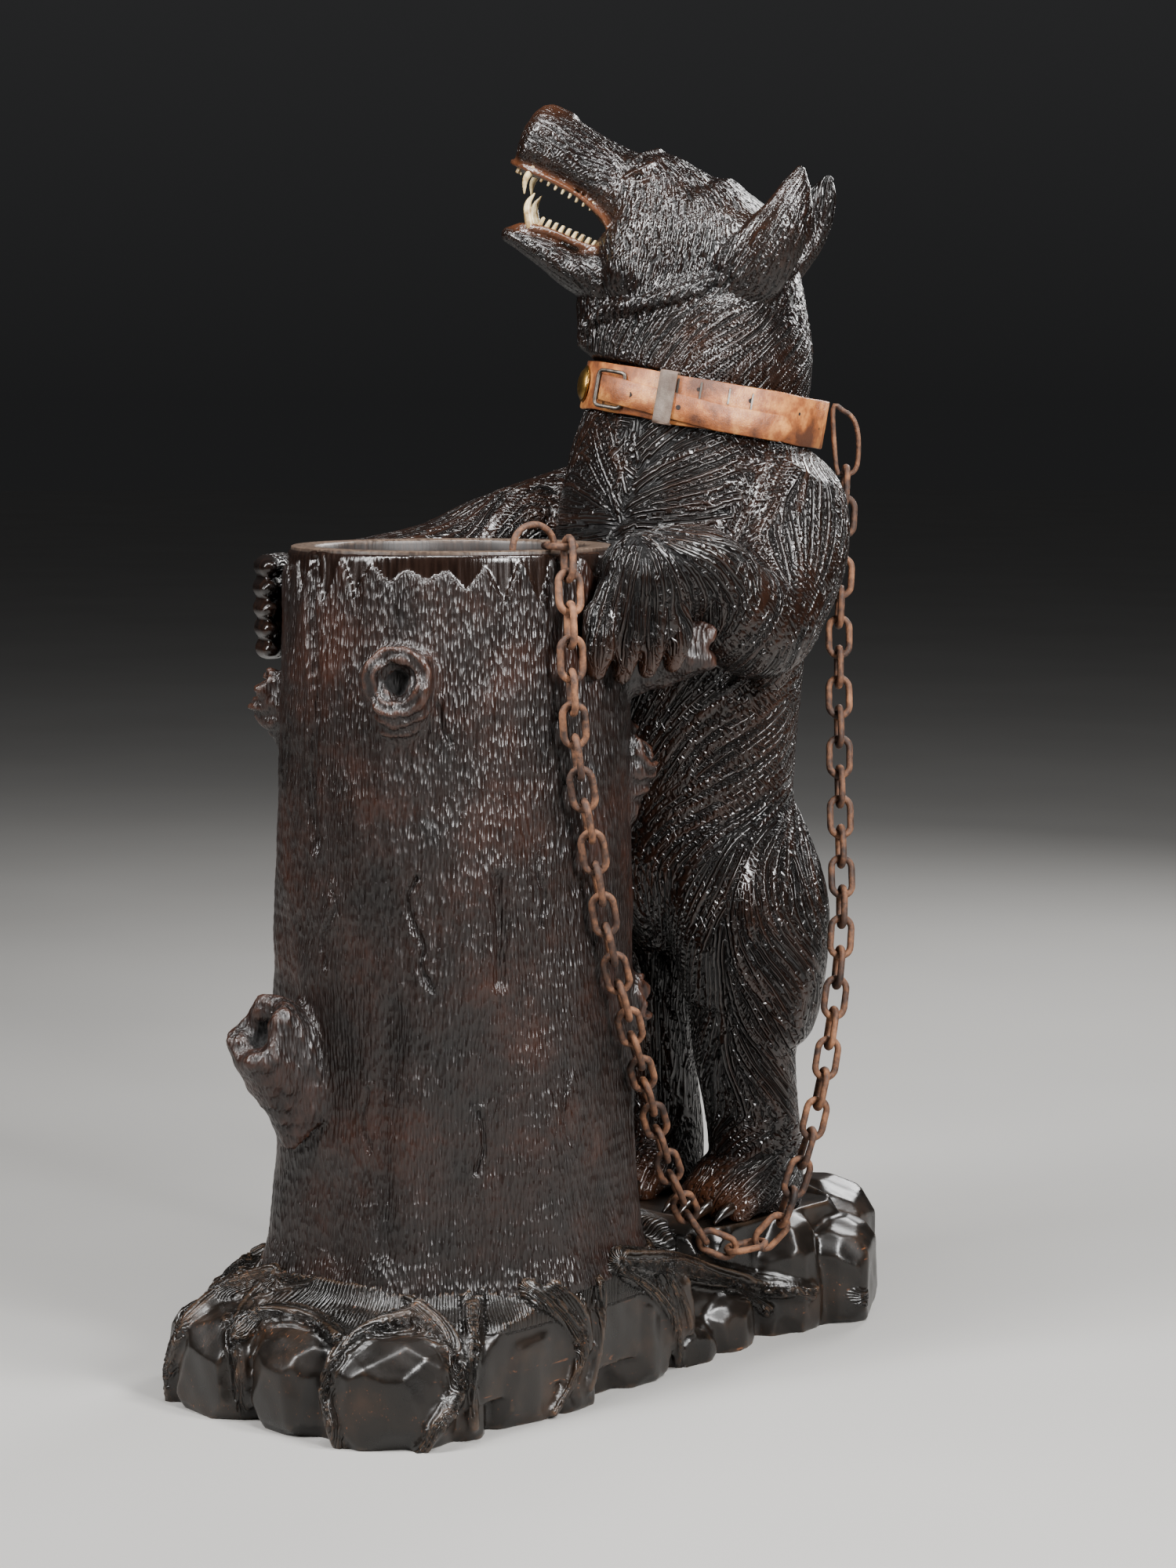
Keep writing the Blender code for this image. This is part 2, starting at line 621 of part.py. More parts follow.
def near_arm(mesh):
    """The left arm, bent at the elbow, with its paw hanging over the rim and a branch stub."""
    shoulder = [body_station(*row) for row in (
        (4.6, 0.2, 65.5, 5.0, 5.4), (9.4, 0.3, 63.8, 5.7, 6.0), (11.8, -1.0, 60.2, 5.0, 5.6),
        (12.9, -3.9, 56.4, 4.6, 5.2), (13.8, -6.8, 54.2, 4.4, 5.0), (14.4, -11.0, 55.2, 4.1, 4.5))]
    wrist = on_trunk(19, RIM_RADIUS + 0.036, RIM_HEIGHT - 0.022)
    knuckles = on_trunk(17, RIM_RADIUS + 0.036, RIM_HEIGHT - 0.068)
    across = np.array((0.26, 0.966, 0.0))
    forearm = on_bear(14.6, -15.8, 58.6)
    arm = shoulder + [(*forearm, 0.037, 0.042), (*wrist, 0.036, 0.037)]
    loft(mesh, arm, (1, 0, 0), sides=36, step=0.008, locks=fur(11, 0.07, -2.5))
    tuft = [body_station(*row) for row in ((13.6, -5.5, 53.0, 3.4, 3.6), (13.2, -5.2, 49.8, 1.9, 2.2))]
    loft(mesh, tuft, (1, 0, 0), sides=16, step=0.01)
    paw = [(*wrist, 0.034, 0.030), (*(0.5 * (wrist + knuckles)), 0.043, 0.5 * PAW_THICKNESS + 0.003),
           (*knuckles, 0.047, 0.5 * PAW_THICKNESS)]
    loft(mesh, paw, across, sides=24, step=0.008)
    for finger in range(4):
        offset = across * (finger - 1.5) * FINGER_RADIUS * 1.75
        top = knuckles + offset + np.array((0, 0, 0.012))
        tip = knuckles + offset + np.array((-0.004, 0.001, -0.040 + 0.004 * abs(finger - 1)))
        middle = 0.5 * (top + tip) + np.array((0.005, -0.002, 0))
        thick = FINGER_RADIUS
        stations = [(*top, thick * 0.92, thick * 0.9), (*middle, thick, thick),
                    (*tip, thick * 0.55, thick * 0.6)]
        loft(mesh, stations, across, sides=14, step=0.008)


def far_arm(mesh):
    """The right arm, along the far side of the rim, with its paw round the front of the trunk."""
    stations = [body_station(*row) for row in (
        (-4.6, -0.2, 65.8, 5.0, 5.4), (-9.2, -0.8, 63.2, 4.8, 5.2), (-12.7, -5.7, 61.7, 4.2, 4.7),
        (-15.0, -11.6, 60.2, 4.0, 4.2), (-15.9, -16.0, 58.7, 3.7, 3.9), (-16.2, -21.8, 57.8, 3.5, 3.6))]
    stations.append((*on_trunk(176, RIM_RADIUS + 0.018, RIM_HEIGHT - 0.040), 0.034, 0.036))
    loft(mesh, stations, (1, 0, 0), sides=36, step=0.008, locks=fur(11, 0.07, 2.5))
    paw = [(*on_trunk(turn, RIM_RADIUS + out, RIM_HEIGHT - 0.050 - drop), high, 0.5 * PAW_THICKNESS)
           for turn, out, drop, high in ((176, 0.024, 0.0, 0.036), (190, 0.022, 0.006, 0.044),
                                         (203, 0.020, 0.008, 0.044))]
    loft(mesh, paw, (0, 0, 1), sides=24, step=0.008)
    for finger in range(5):
        height = RIM_HEIGHT - 0.020 - finger * 0.0182
        back = 2.0 * abs(finger - 1.5)
        stations = [(*on_trunk(turn, RIM_RADIUS + out, height), 0.0098 * share, 0.0115 * share)
                    for turn, out, share in ((202, 0.021, 1), (212, 0.0225, 1.05), (220 - back, 0.021, 1),
                                             (228 - back, 0.015, 0.7))]
        loft(mesh, stations, (0, 0, 1), sides=14, step=0.008)


HEAD_LIFT = math.radians(30)
HEAD_TURN = math.radians(38)
FORWARD = np.array((-math.cos(HEAD_TURN) * math.cos(HEAD_LIFT),
                    -math.sin(HEAD_TURN) * math.cos(HEAD_LIFT), math.sin(HEAD_LIFT)))
NEAR_SIDE = np.array((math.sin(HEAD_TURN), -math.cos(HEAD_TURN), 0.0))
HEAD_UP = np.cross(FORWARD, NEAR_SIDE)


def on_head(forward, left, up):
    """A place in the head's own frame, in hundredths of the bear's height from the skull's centre."""
    unit = BEAR_HEIGHT / 100
    return on_bear(0.3, -0.3, 88.2) + (FORWARD * forward + NEAR_SIDE * left + HEAD_UP * up) * unit


def head_loft(mesh, rows, across=None, **options):
    unit = BEAR_HEIGHT / 100
    stations = [(*on_head(forward, left, up), wide * unit, high * unit)
                for forward, left, up, wide, high in rows]
    loft(mesh, stations, NEAR_SIDE if across is None else across, **options)


def skull(mesh):
    """Skull and upper jaw in one run, from the nape to the nose."""
    head_loft(mesh, ((-7.6, 0, -2.6, 6.6, 5.8), (-4.8, 0, -2.6, 8.0, 7.3), (-0.8, 0, -2.6, 8.3, 7.8),
                     (2.6, 0, -1.7, 7.4, 7.5), (5.6, 0, -0.3, 5.8, 5.2), (7.7, 0, -0.20, 4.7, 3.65),
                     (10.6, 0, 0.0, 4.0, 3.0), (14.0, 0, 0.0, 3.6, 3.05), (16.4, 0, -0.15, 3.1, 3.2)),
              sides=32, step=0.007, squareness=2.3, roundness=0.45)
    head_loft(mesh, ((15.6, 0, 2.0, 1.9, 1.2), (17.3, 0, 1.7, 1.75, 1.2)), sides=16, step=0.008)
    for side in (-1, 1):
        head_loft(mesh, ((1.8, side * 3.2, 2.6, 1.9, 1.8), (4.9, side * 3.0, 2.3, 1.5, 1.5)), sides=16)
        head_loft(mesh, ((-3.0, side * 5.0, -6.0, 3.6, 3.8), (2.5, side * 4.4, -5.6, 3.2, 3.6)), sides=20)


def lower_jaw(mesh):
    head_loft(mesh, ((1.0, 0, -8.2, 5.6, 3.6), (5.0, 0, -7.7, 5.2, 3.2), (8.0, 0, -8.5, 4.3, 1.95),
                     (10.4, 0, -8.4, 3.8, 1.6), (12.8, 0, -8.5, 3.1, 1.2), (14.6, 0, -8.8, 2.3, 0.75)),
              sides=24, step=0.007, squareness=2.3)


def canines(mesh):
    for side in (-1, 1):
        head_loft(mesh, ((15.1, side * 2.4, -2.6, 0.62, 0.62), (15.4, side * 2.4, -4.0, 0.52, 0.52),
                         (15.2, side * 2.4, -5.0, 0.25, 0.25)), sides=10, step=0.01)
        head_loft(mesh, ((13.0, side * 2.2, -7.9, 0.64, 0.64), (14.0, side * 2.3, -5.8, 0.54, 0.54),
                         (13.9, side * 2.3, -4.7, 0.25, 0.25)), sides=10, step=0.01)


def ears(mesh):
    """Two tall ears, cupped towards the front."""
    for side in (-1, 1):
        tip_back, rise = (0.0, 0.0) if side > 0 else (-1.6, 0.9)
        head_loft(mesh, ((-6.2, side * 6.3, -3.2, 2.8, 1.9), (-6.5, side * 7.3, 0.0, 3.2, 1.9),
                         (-6.9 + tip_back * 0.4, side * 7.6, 4.4 + rise * 0.4, 2.5, 1.3),
                         (-6.3 + tip_back * 0.8, side * 6.9, 7.2 + rise, 1.5, 0.8),
                         (-5.7 + tip_back, side * 6.3, 8.9 + rise, 0.5, 0.4)),
                  across=FORWARD + 0.35 * side * NEAR_SIDE, sides=16, step=0.01)


def ruff(mesh):
    """The thick fur that overhangs the throat behind the jaw."""
    head_loft(mesh, ((3.2, 0, -9.3, 5.0, 3.6), (1.2, 0, -12.6, 5.6, 3.4)), sides=28, step=0.007)


def make_bear(material):
    mesh = bmesh.new()
    torso(mesh)
    for side in (-1, 1):
        leg(mesh, side)
    near_arm(mesh)
    far_arm(mesh)
    skull(mesh)
    lower_jaw(mesh)
    canines(mesh)
    ears(mesh)
    ruff(mesh)
    tail = [body_station(0, y, z, wide, wide)
            for y, z, wide in ((8.6, 28.0, 3.2), (10.6, 24.5, 2.8), (10.8, 21.5, 1.6))]
    loft(mesh, tail, (1, 0, 0), sides=16, step=0.01)
    bear = put_in_scene("bear", mesh)
    carve(bear, material, CARVING_GRAIN, BEAR_TRIANGLES, soften=1)
    rooms = trunk_room()
    rooms.append(flat_top((-1, -1, -0.5), (1, 1, LEDGE_HEIGHT + GAP)))
    rooms.append(collar_room())
    for room in rooms:
        boolean(bear, room, 'DIFFERENCE')
    settle(bear, rooms)
    join_flat_faces(bear)
    return bear


# The collar

COLLAR_DOWNHILL = Vector((math.sqrt(0.5), math.sqrt(0.5), 0))
COLLAR_AXIS = (UP * math.cos(COLLAR_SLOPE) + COLLAR_DOWNHILL * math.sin(COLLAR_SLOPE)).normalized()
BAND_INSIDE = NECK_RADIUS + COLLAR_SLACK + KEEPER_THICKNESS + 2 * GAP
BAND_OUTSIDE = BAND_INSIDE + BAND_THICKNESS
BAND_SIDES = 36
FLAT_SIDE_SAG = BAND_OUTSIDE * (1 - math.cos(math.pi / BAND_SIDES))
KEEPER_INSIDE = BAND_INSIDE - FLAT_SIDE_SAG - GAP - KEEPER_THICKNESS


def on_collar(turn, out, rise):
    """A place on the collar: turn from its downhill point, distance from its axis, rise along it."""
    down = (COLLAR_DOWNHILL - COLLAR_AXIS * COLLAR_DOWNHILL.dot(COLLAR_AXIS)).normalized()
    beside = COLLAR_AXIS.cross(down)
    centre = Vector(on_bear(0.2, -0.5, 72.7)) + COLLAR_DOWNHILL * COLLAR_DROP_BACK
    return centre + down * out * math.cos(turn) + beside * out * math.sin(turn) + COLLAR_AXIS * rise


def hoop(mesh, inside, outside, low, high, sides=BAND_SIDES):
    """A full round band of rectangular section."""
    rows = []
    for i in range(sides):
        turn = math.tau * i / sides
        rows.append([mesh.verts.new(on_collar(turn, out, rise))
                     for out, rise in ((inside, low), (outside, low), (outside, high), (inside, high))])
    for i in range(sides):
        row, following = rows[i], rows[(i + 1) % sides]
        for k in range(4):
            m = (k + 1) % 4
            mesh.faces.new((row[k], row[m], following[m], following[k]))


def collar_room():
    """The groove that the band and the keeper need in the fur."""
    mesh = bmesh.new()
    hoop(mesh, KEEPER_INSIDE - GAP, BAND_OUTSIDE + 0.012, -BAND_WIDTH / 2 - 0.004, BAND_WIDTH / 2 + 0.004)
    return put_in_scene("collar_room", mesh)


def make_band(material):
    mesh = bmesh.new()
    hoop(mesh, BAND_INSIDE, BAND_OUTSIDE, -BAND_WIDTH / 2, BAND_WIDTH / 2)
    return put_in_scene("collar_band", mesh, material, math.radians(40))


BUCKLE_TURN = math.radians(-146)
STRAP_END_TURN = math.radians(-48)
KEEPER_TURN = math.radians(-110)
LIFT_OVER_BAR = BUCKLE_WIRE + 2 * GAP


def strap_path(turn):
    """The strap's inner distance from the collar's axis and its rise, along its length."""
    past_bar = (turn - BUCKLE_TURN) * BAND_OUTSIDE - BUCKLE_LENGTH
    fall = min(1.0, max(0.0, past_bar / 0.03 + 0.35))
    lift = LIFT_OVER_BAR * (1 - fall * fall * (3 - 2 * fall))
    run = (turn - BUCKLE_TURN) / (STRAP_END_TURN - BUCKLE_TURN)
    return BAND_OUTSIDE + GAP + lift, -(BAND_WIDTH - STRAP_WIDTH) / 2 * min(1.0, max(0.0, run) * 1.6)


def make_strap(material):
    """The narrow strap: from under the buckle's front bar to its rounded tip."""
    mesh = bmesh.new()
    start = BUCKLE_TURN - 0.008 / BAND_OUTSIDE
    turns = list(np.linspace(start, STRAP_END_TURN - 0.12, 18)) + [STRAP_END_TURN - 0.05, STRAP_END_TURN]
    rows = []
    for turn in turns:
        inner, middle = strap_path(turn)
        narrow = {len(turns) - 2: 0.9, len(turns) - 1: 0.45}.get(len(rows), 1.0)
        half = STRAP_WIDTH / 2 * narrow
        corners = ((inner, middle - half), (inner + STRAP_THICKNESS, middle - half),
                   (inner + STRAP_THICKNESS, middle + half), (inner, middle + half))
        rows.append([on_collar(turn, out, rise) for out, rise in corners])
    closed_rings(mesh, rows)
    return put_in_scene("collar_strap", mesh, material, math.radians(40))


def wire_loop(mesh, centres, normals, radius, sides=6):
    """A closed ring of round wire through its centres; each normal stands across the wire."""
    count = len(centres)
    rows = []
    for i in range(count):
        tangent = (centres[(i + 1) % count] - centres[i - 1]).normalized()
        first = (normals[i] - tangent * normals[i].dot(tangent)).normalized()
        second = tangent.cross(first)
        row = []
        for a in (np.arange(sides) + 0.5) * math.tau / sides:
            reach = first * math.cos(a) + second * math.sin(a)
            row.append(mesh.verts.new(centres[i] + reach * radius))
        rows.append(row)
    for i in range(count):
        row, following = rows[i], rows[(i + 1) % count]
        for k in range(sides):
            m = (k + 1) % sides
            mesh.faces.new((row[k], row[m], following[m], following[k]))


def make_buckle(material):
    """The frame: its front bar lies over the strap, its back bar under it."""
    mesh = bmesh.new()
    wire = BUCKLE_WIRE / 2
    under = BAND_OUTSIDE + GAP + wire
    over = BAND_OUTSIDE + GAP + LIFT_OVER_BAR + STRAP_THICKNESS + GAP + wire
    half = STRAP_WIDTH / 2 + wire + 8 * GAP
    front = BUCKLE_TURN
    back = BUCKLE_TURN + BUCKLE_LENGTH * 0.8 / BAND_OUTSIDE
    corner = 0.003
    step = corner / BAND_OUTSIDE
    between = 0.5 * (under + over)
    outline = ((front, -half + corner, over), (front, half - corner, over), (front + step, half, over),
               (back - step, half, between), (back, half - corner, under), (back, corner - half, under),
               (back - step, -half, between), (front + step, -half, over))
    rise_at = strap_path((front + back) / 2)[1]
    centres = [on_collar(turn, out, rise + rise_at) for turn, rise, out in outline]
    normals = [(on_collar(turn, 1, 0) - on_collar(turn, 0, 0)) for turn, rise, out in outline]
    wire_loop(mesh, centres, normals, wire)
    return put_in_scene("collar_buckle", mesh, material, math.radians(50))


def make_keeper(material):
    """A thin leather loop round the band and the strap."""
    mesh = bmesh.new()
    inner, middle = strap_path(KEEPER_TURN)
    low = min(-BAND_WIDTH / 2, middle - STRAP_WIDTH / 2) - 3 * GAP
    high = BAND_WIDTH / 2 + 3 * GAP
    near = KEEPER_INSIDE + KEEPER_THICKNESS
    far = inner + STRAP_THICKNESS + 4 * GAP
    thick = KEEPER_THICKNESS
    half = KEEPER_WIDTH / 2 / BAND_OUTSIDE
    inside = ((near, low), (far, low), (far, high), (near, high))
    outside = ((near - thick, low - thick), (far + thick, low - thick), (far + thick, high + thick),
               (near - thick, high + thick))
    rings = []
    for side, section in ((-1, inside), (-1, outside), (1, outside), (1, inside)):
        turn = KEEPER_TURN + side * half
        rings.append([mesh.verts.new(on_collar(turn, out, rise)) for out, rise in section])
    for r in range(4):
        ring, following = rings[r], rings[(r + 1) % 4]
        for k in range(4):
            m = (k + 1) % 4
            mesh.faces.new((ring[k], ring[m], following[m], following[k]))
    return put_in_scene("collar_keeper", mesh, material)


BOSS_TURN = math.radians(-170)


def make_boss(material):
    """A brass dome on the band at the throat, with a flat back."""
    mesh = bmesh.new()
    outward = (on_collar(BOSS_TURN, 1, 0) - on_collar(BOSS_TURN, 0, 0)).normalized()
    beside = COLLAR_AXIS.cross(outward)
    sides = 14
    start = on_collar(BOSS_TURN, BAND_OUTSIDE + GAP, 0)
    rings = []
    for out, share in ((0, 1.0), (0.0015, 1.0), (0.6 * BOSS_HEIGHT, 0.8), (0.9 * BOSS_HEIGHT, 0.45)):
        ring = []
        for a in np.arange(sides) * math.tau / sides:
            ray = beside * math.cos(a) + COLLAR_AXIS * math.sin(a)
            ring.append(start + outward * out + ray * BOSS_RADIUS * share)
        rings.append(ring)
    closed_rings(mesh, rings)
    return put_in_scene("collar_boss", mesh, material, math.radians(35))


def ring_outline():
    """The collar ring's wire: a straight side against the band and a bow that hangs outward."""
    start = BAND_OUTSIDE + GAP + RING_WIRE / 2
    down = UP * -1
    outward = COLLAR_DOWNHILL
    top = on_collar(0, start, BAND_WIDTH * 0.36) + outward * 0.001
    places = []
    for share_down, share_out in ((0.0, 0.0), (0.02, 0.42), (0.14, 0.82), (0.36, 1.0), (0.66, 1.0),
                                  (0.90, 0.88), (1.0, 0.60), (1.0, 0.25), (0.90, 0.03)):
        lean = 0.001 + share_down * 0.003
        places.append(top + down * RING_HEIGHT * share_down + outward * (RING_REACH * share_out + lean))
    return places


def make_collar_ring(material):
    mesh = bmesh.new()
    places = ring_outline()
    wire_loop(mesh, places, [COLLAR_DOWNHILL.cross(UP)] * len(places), RING_WIRE / 2)
    return put_in_scene("collar_ring", mesh, material, math.radians(50))


# The staple in the rim, and the chain

def staple_frame():
    """The staple's middle on the rim, the way along the rim and the way out."""
    outward = Vector((math.cos(STAPLE_TURN), math.sin(STAPLE_TURN), 0))
    along = UP.cross(outward)
    middle = Vector((0, TRUNK_Y, RIM_HEIGHT)) + outward * (RIM_RADIUS - TRUNK_WALL / 2 - 0.003)
    return middle, along, outward


def staple_leg_room(end):
    """A bore in the rim for one leg of the staple."""
    middle, along, outward = staple_frame()
    radius = STAPLE_WIRE / 2 + GAP
    centre = middle + along * end * (STAPLE_SPAN - STAPLE_WIRE) / 2
    mesh = bmesh.new()
    rings = [[centre + (along * math.cos(a) + outward * math.sin(a)) * radius * 1.03 + UP * rise
              for a in (np.arange(6) + 0.5) * math.tau / 6] for rise in (-STAPLE_DEPTH - GAP, 0.004)]
    closed_rings(mesh, rings)
    return mesh


def make_staple(material):
    """An iron arch whose two legs stand in the rim."""
    middle, along, outward = staple_frame()
    half = (STAPLE_SPAN - STAPLE_WIRE) / 2
    legs = STAPLE_HEIGHT - STAPLE_WIRE / 2
    path = [middle - along * half - UP * STAPLE_DEPTH]
    for a in np.linspace(math.pi, 0, 7):
        path.append(middle + along * half * math.cos(a) + UP * (0.002 + (legs - 0.002) * math.sin(a)))
    path.append(middle + along * half - UP * STAPLE_DEPTH)
    rings = []
    for i, place in enumerate(path):
        ahead, behind = path[min(i + 1, len(path) - 1)], path[max(i - 1, 0)]
        tangent = (ahead - behind).normalized()
        if i in (1, len(path) - 2):
            tangent = UP * (1 if i == 1 else -1)
        beside = tangent.cross(outward)
        rings.append([place + (beside * math.cos(a) + outward * math.sin(a)) * STAPLE_WIRE / 2
                      for a in (np.arange(6) + 0.5) * math.tau / 6])
    mesh = bmesh.new()
    closed_rings(mesh, rings)
    return put_in_scene("rim_staple", mesh, material, math.radians(50))


def link_mesh(mesh, start, end, normal, closer=(0.0, 0.0)):
    """One welded link between two joints, flat across its normal."""
    pull = (end - start).normalized()
    face = (normal - pull * normal.dot(pull)).normalized()
    side = pull.cross(face)
    middle = (start + end) / 2
    half_wide = LINK_WIDTH / 2 - LINK_WIRE / 2
    straight = LINK_LENGTH / 2 - LINK_WIRE / 2 - half_wide
    centres = []
    full_bow = half_wide / math.sin(math.radians(60))
    for way, less in ((1, closer[1]), (-1, closer[0])):
        for a in (0, 60, 120, 180):
            turn = math.radians(a)
            centres.append(middle + (side * half_wide * math.cos(turn)
                                     + pull * (straight - less + full_bow * math.sin(turn))) * way)
    wire_loop(mesh, centres, [face] * len(centres), LINK_WIRE / 2 * SQUARE_WIRE, sides=4)


def chain_start():
    """The staple's near leg, and the outer end of the link that lies round it on the rim."""
    middle, along, outward = staple_frame()
    leg = middle + along * (STAPLE_SPAN - STAPLE_WIRE) / 2
    way = Vector((math.cos(FLAT_LINK_TURN), math.sin(FLAT_LINK_TURN), 0))
    reach = LINK_LENGTH - LINK_WIRE
    inner_end = leg - way * ((LINK_WIRE * SQUARE_WIRE + STAPLE_WIRE) / 2 + GAP)
    inner_end.z = RIM_HEIGHT + LINK_WIRE / 2 + GAP
    return inner_end, inner_end + way * reach


def from_corner(aside, away, height):
    """A place by its distance along the plinth's diagonal and across it."""
    return Vector((aside - away, aside + away, 0)) * math.sqrt(0.5) + UP * height


def chain_route():
    """A smooth line from the rim, down the trunk to the shelf of rock and up to the collar ring."""
    hook = chain_start()[1] + UP * (LINK_WIRE + LINK_PLAY) / 2
    lowest = sorted(ring_outline(), key=lambda place: place.z)[:2]
    ring_low = (lowest[0] + lowest[1]) / 2 + UP * (RING_WIRE + LINK_PLAY) / 2
    points = [hook]
    for turn, out, height in ((-8.0, 0.647, 0.9057), (-6.2, 0.608, 0.7844), (0.6, 0.608, 0.6563),
                              (7.7, 0.608, 0.5458), (18.5, 0.627, 0.4447), (33.8, 0.706, 0.3504),
                              (48.0, 1.412, 0.2426)):
        points.append(Vector(on_trunk(turn, TRUNK_RADIUS + out * LINK_WIDTH, height * RIM_HEIGHT)))
    for angle in range(-60, 61, 20):
        lift = CHAIN_BOW * (1 - math.cos(math.radians(angle)))
        aside = BOW_ASIDE * BASE_WIDTH + CHAIN_BOW * math.sin(math.radians(angle))
        away = BOW_AWAY * BASE_WIDTH + 0.008 * angle / 60
        points.append(from_corner(aside, away, SHELF_HEIGHT + BOW_RISE * LINK_WIDTH + lift))
    unit = BEAR_HEIGHT / 100
    for aside, away, height in ((21.60, -1.254, 15.04), (23.05, -0.579, 19.58), (24.54, 0.482, 26.90),
                                (25.75, 2.893, 36.93), (25.80, 5.786, 46.38), (25.80, 8.679, 57.47),
                                (25.94, 10.318, 66.54)):
        points.append(from_corner(aside * unit, away * unit, height * unit))
    points.append(ring_low)
    return smooth_run([tuple(p) for p in points], 0.002)


def walk(route, pitch, count):
    """Joints at equal straight steps along the route, and how far past its end the last one is."""
    joints = [route[0]]
    at = 0
    for _ in range(count):
        distance = np.linalg.norm(route[at:] - joints[-1], axis=1)
        beyond = np.nonzero(distance >= pitch)[0]
        if not len(beyond):
            return joints, -1
        ahead = at + beyond[0]
        before = route[ahead - 1]
        near, far = np.linalg.norm(before - joints[-1]), distance[beyond[0]]
        share = (pitch - near) / max(1e-9, far - near)
        joints.append(before + (route[ahead] - before) * share)
        at = ahead - 1
    return joints, np.linalg.norm(route[-1] - joints[-1])


def chain_joints():
    """As many whole links as fill the route, with their play taken up evenly."""
    route = chain_route()
    longest = LINK_LENGTH - 2 * LINK_WIRE - LINK_PLAY
    count = 1
    while count % 2 == 0 or walk(route, longest, count)[1] >= 0:
        count += 1
    tight, loose = longest * 0.9, longest
    for _ in range(40):
        pitch = (tight + loose) / 2
        if walk(route, pitch, count)[1] < 0:
            loose = pitch
        else:
            tight = pitch
    return [Vector(place) for place in walk(route, tight, count)[0]]


def turn_between(first, second, axis):
    """The turn about an axis that brings one direction to the line of another, by the short way."""
    turn = math.atan2(axis.dot(first.cross(second)), first.dot(second))
    return (turn + math.pi / 2) % math.pi - math.pi / 2


def chain_normals(joints):
    """Every other link stands a quarter turn round; what twist is needed is spread out."""
    pulls = [(end - start).normalized() for start, end in zip(joints, joints[1:])]
    frame = [COLLAR_DOWNHILL - pulls[0] * COLLAR_DOWNHILL.dot(pulls[0])]
    for pull, following in zip(pulls, pulls[1:]):
        frame.append(pull.rotation_difference(following) @ frame[-1])
    inner_end, outer_end = chain_start()
    start_turn = turn_between(frame[0], UP.cross(outer_end - inner_end), pulls[0])
    end_turn = turn_between(frame[-1], COLLAR_DOWNHILL, pulls[-1])
    normals = []
    for i, pull in enumerate(pulls):
        turn = start_turn * math.exp(-i / 4) + end_turn * i / (len(pulls) - 1) + (i % 2) * math.pi / 2
        normals.append(frame[i] * math.cos(turn) + pull.cross(frame[i]) * math.sin(turn))
    return normals


def make_chain(material):
    """Separate links from the rim to behind the bear's arm, and the hidden last ones joined in one."""
    joints = chain_joints()
    normals = chain_normals(joints)
    inner_end, outer_end = chain_start()
    pitch = (joints[1] - joints[0]).length
    flat_wire = LINK_WIRE * SQUARE_WIRE * math.sqrt(0.5)
    fused_grip = (LINK_LENGTH - LINK_WIRE - pitch - flat_wire * (1 - FUSED_SHARE)) / 2
    links = []
    separate = MOST_LINK_NODES - 2
    for i in range(-1, separate):
        mesh = bmesh.new()
        if i < 0:
            link_mesh(mesh, inner_end, outer_end, UP)
        else:
            link_mesh(mesh, joints[i], joints[i + 1], normals[i])
        links.append(put_in_scene(f"chain_link_{i + 1:02d}", mesh, material, math.radians(60)))
    last = []
    for i in range(separate, len(normals)):
        mesh = bmesh.new()
        grip = (fused_grip if i > separate else 0.0, fused_grip if i < len(normals) - 1 else 0.0)
        link_mesh(mesh, joints[i], joints[i + 1], normals[i], grip)
        last.append(put_in_scene("chain_end", mesh, material, math.radians(60)))
    for other in last[1:]:
        boolean(last[0], other, 'UNION')
    settle(last[0], last[1:])
    return links + last[:1]


def make_materials():
    return {
        "bear": new_material("stained_carved_wood", (0.035, 0.019, 0.013), 0.32),
        "trunk": new_material("stained_bark", (0.050, 0.026, 0.017), 0.42),
        "base": new_material("stained_rock_carving", (0.028, 0.016, 0.012), 0.36),
        "leather": new_material("tan_leather", (0.33, 0.15, 0.065), 0.55),
        "keeper": new_material("worn_leather", (0.13, 0.10, 0.08), 0.65),
        "iron": new_material("dark_iron", (0.06, 0.05, 0.045), 0.5, 1.0),
        "rust": new_material("rusty_iron", (0.17, 0.085, 0.05), 0.75, 0.4),
        "brass": new_material("old_brass", (0.45, 0.30, 0.12), 0.35, 1.0),
    }


def centre_on_ground(pieces):
    """Moves all pieces together, so that the origin is the middle of their box on the ground."""
    places = [piece.matrix_world @ Vector(corner) for piece in pieces for corner in piece.bound_box]
    for axis in (0, 1):
        middle = (min(p[axis] for p in places) + max(p[axis] for p in places)) / 2
        for piece in pieces:
            piece.location[axis] -= middle


def main():
    for old in list(bpy.data.objects):
        bpy.data.objects.remove(old)
    paint = make_materials()
    pieces = [make_base(paint["base"]), make_trunk(paint["trunk"]), make_bear(paint["bear"])]
    pieces += [make_band(paint["leather"]), make_strap(paint["leather"]), make_keeper(paint["keeper"]),
               make_buckle(paint["iron"]), make_boss(paint["brass"]), make_collar_ring(paint["rust"])]
    pieces += [make_staple(paint["rust"])] + make_chain(paint["rust"])
    bpy.context.view_layer.update()
    centre_on_ground(pieces)


main()
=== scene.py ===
"""Looks of the carved bear umbrella stand.

A bear of stained and waxed limewood stands behind a hollow tree trunk on a plinth of rocks and roots.
Lengths are metres. Shapes are laid out from the middle of the plinth and moved once to the frame's own
origin.
"""

import math
import random

import bmesh
import bpy
import numpy as np
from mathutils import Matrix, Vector
from mathutils.bvhtree import BVHTree
from mathutils.kdtree import KDTree


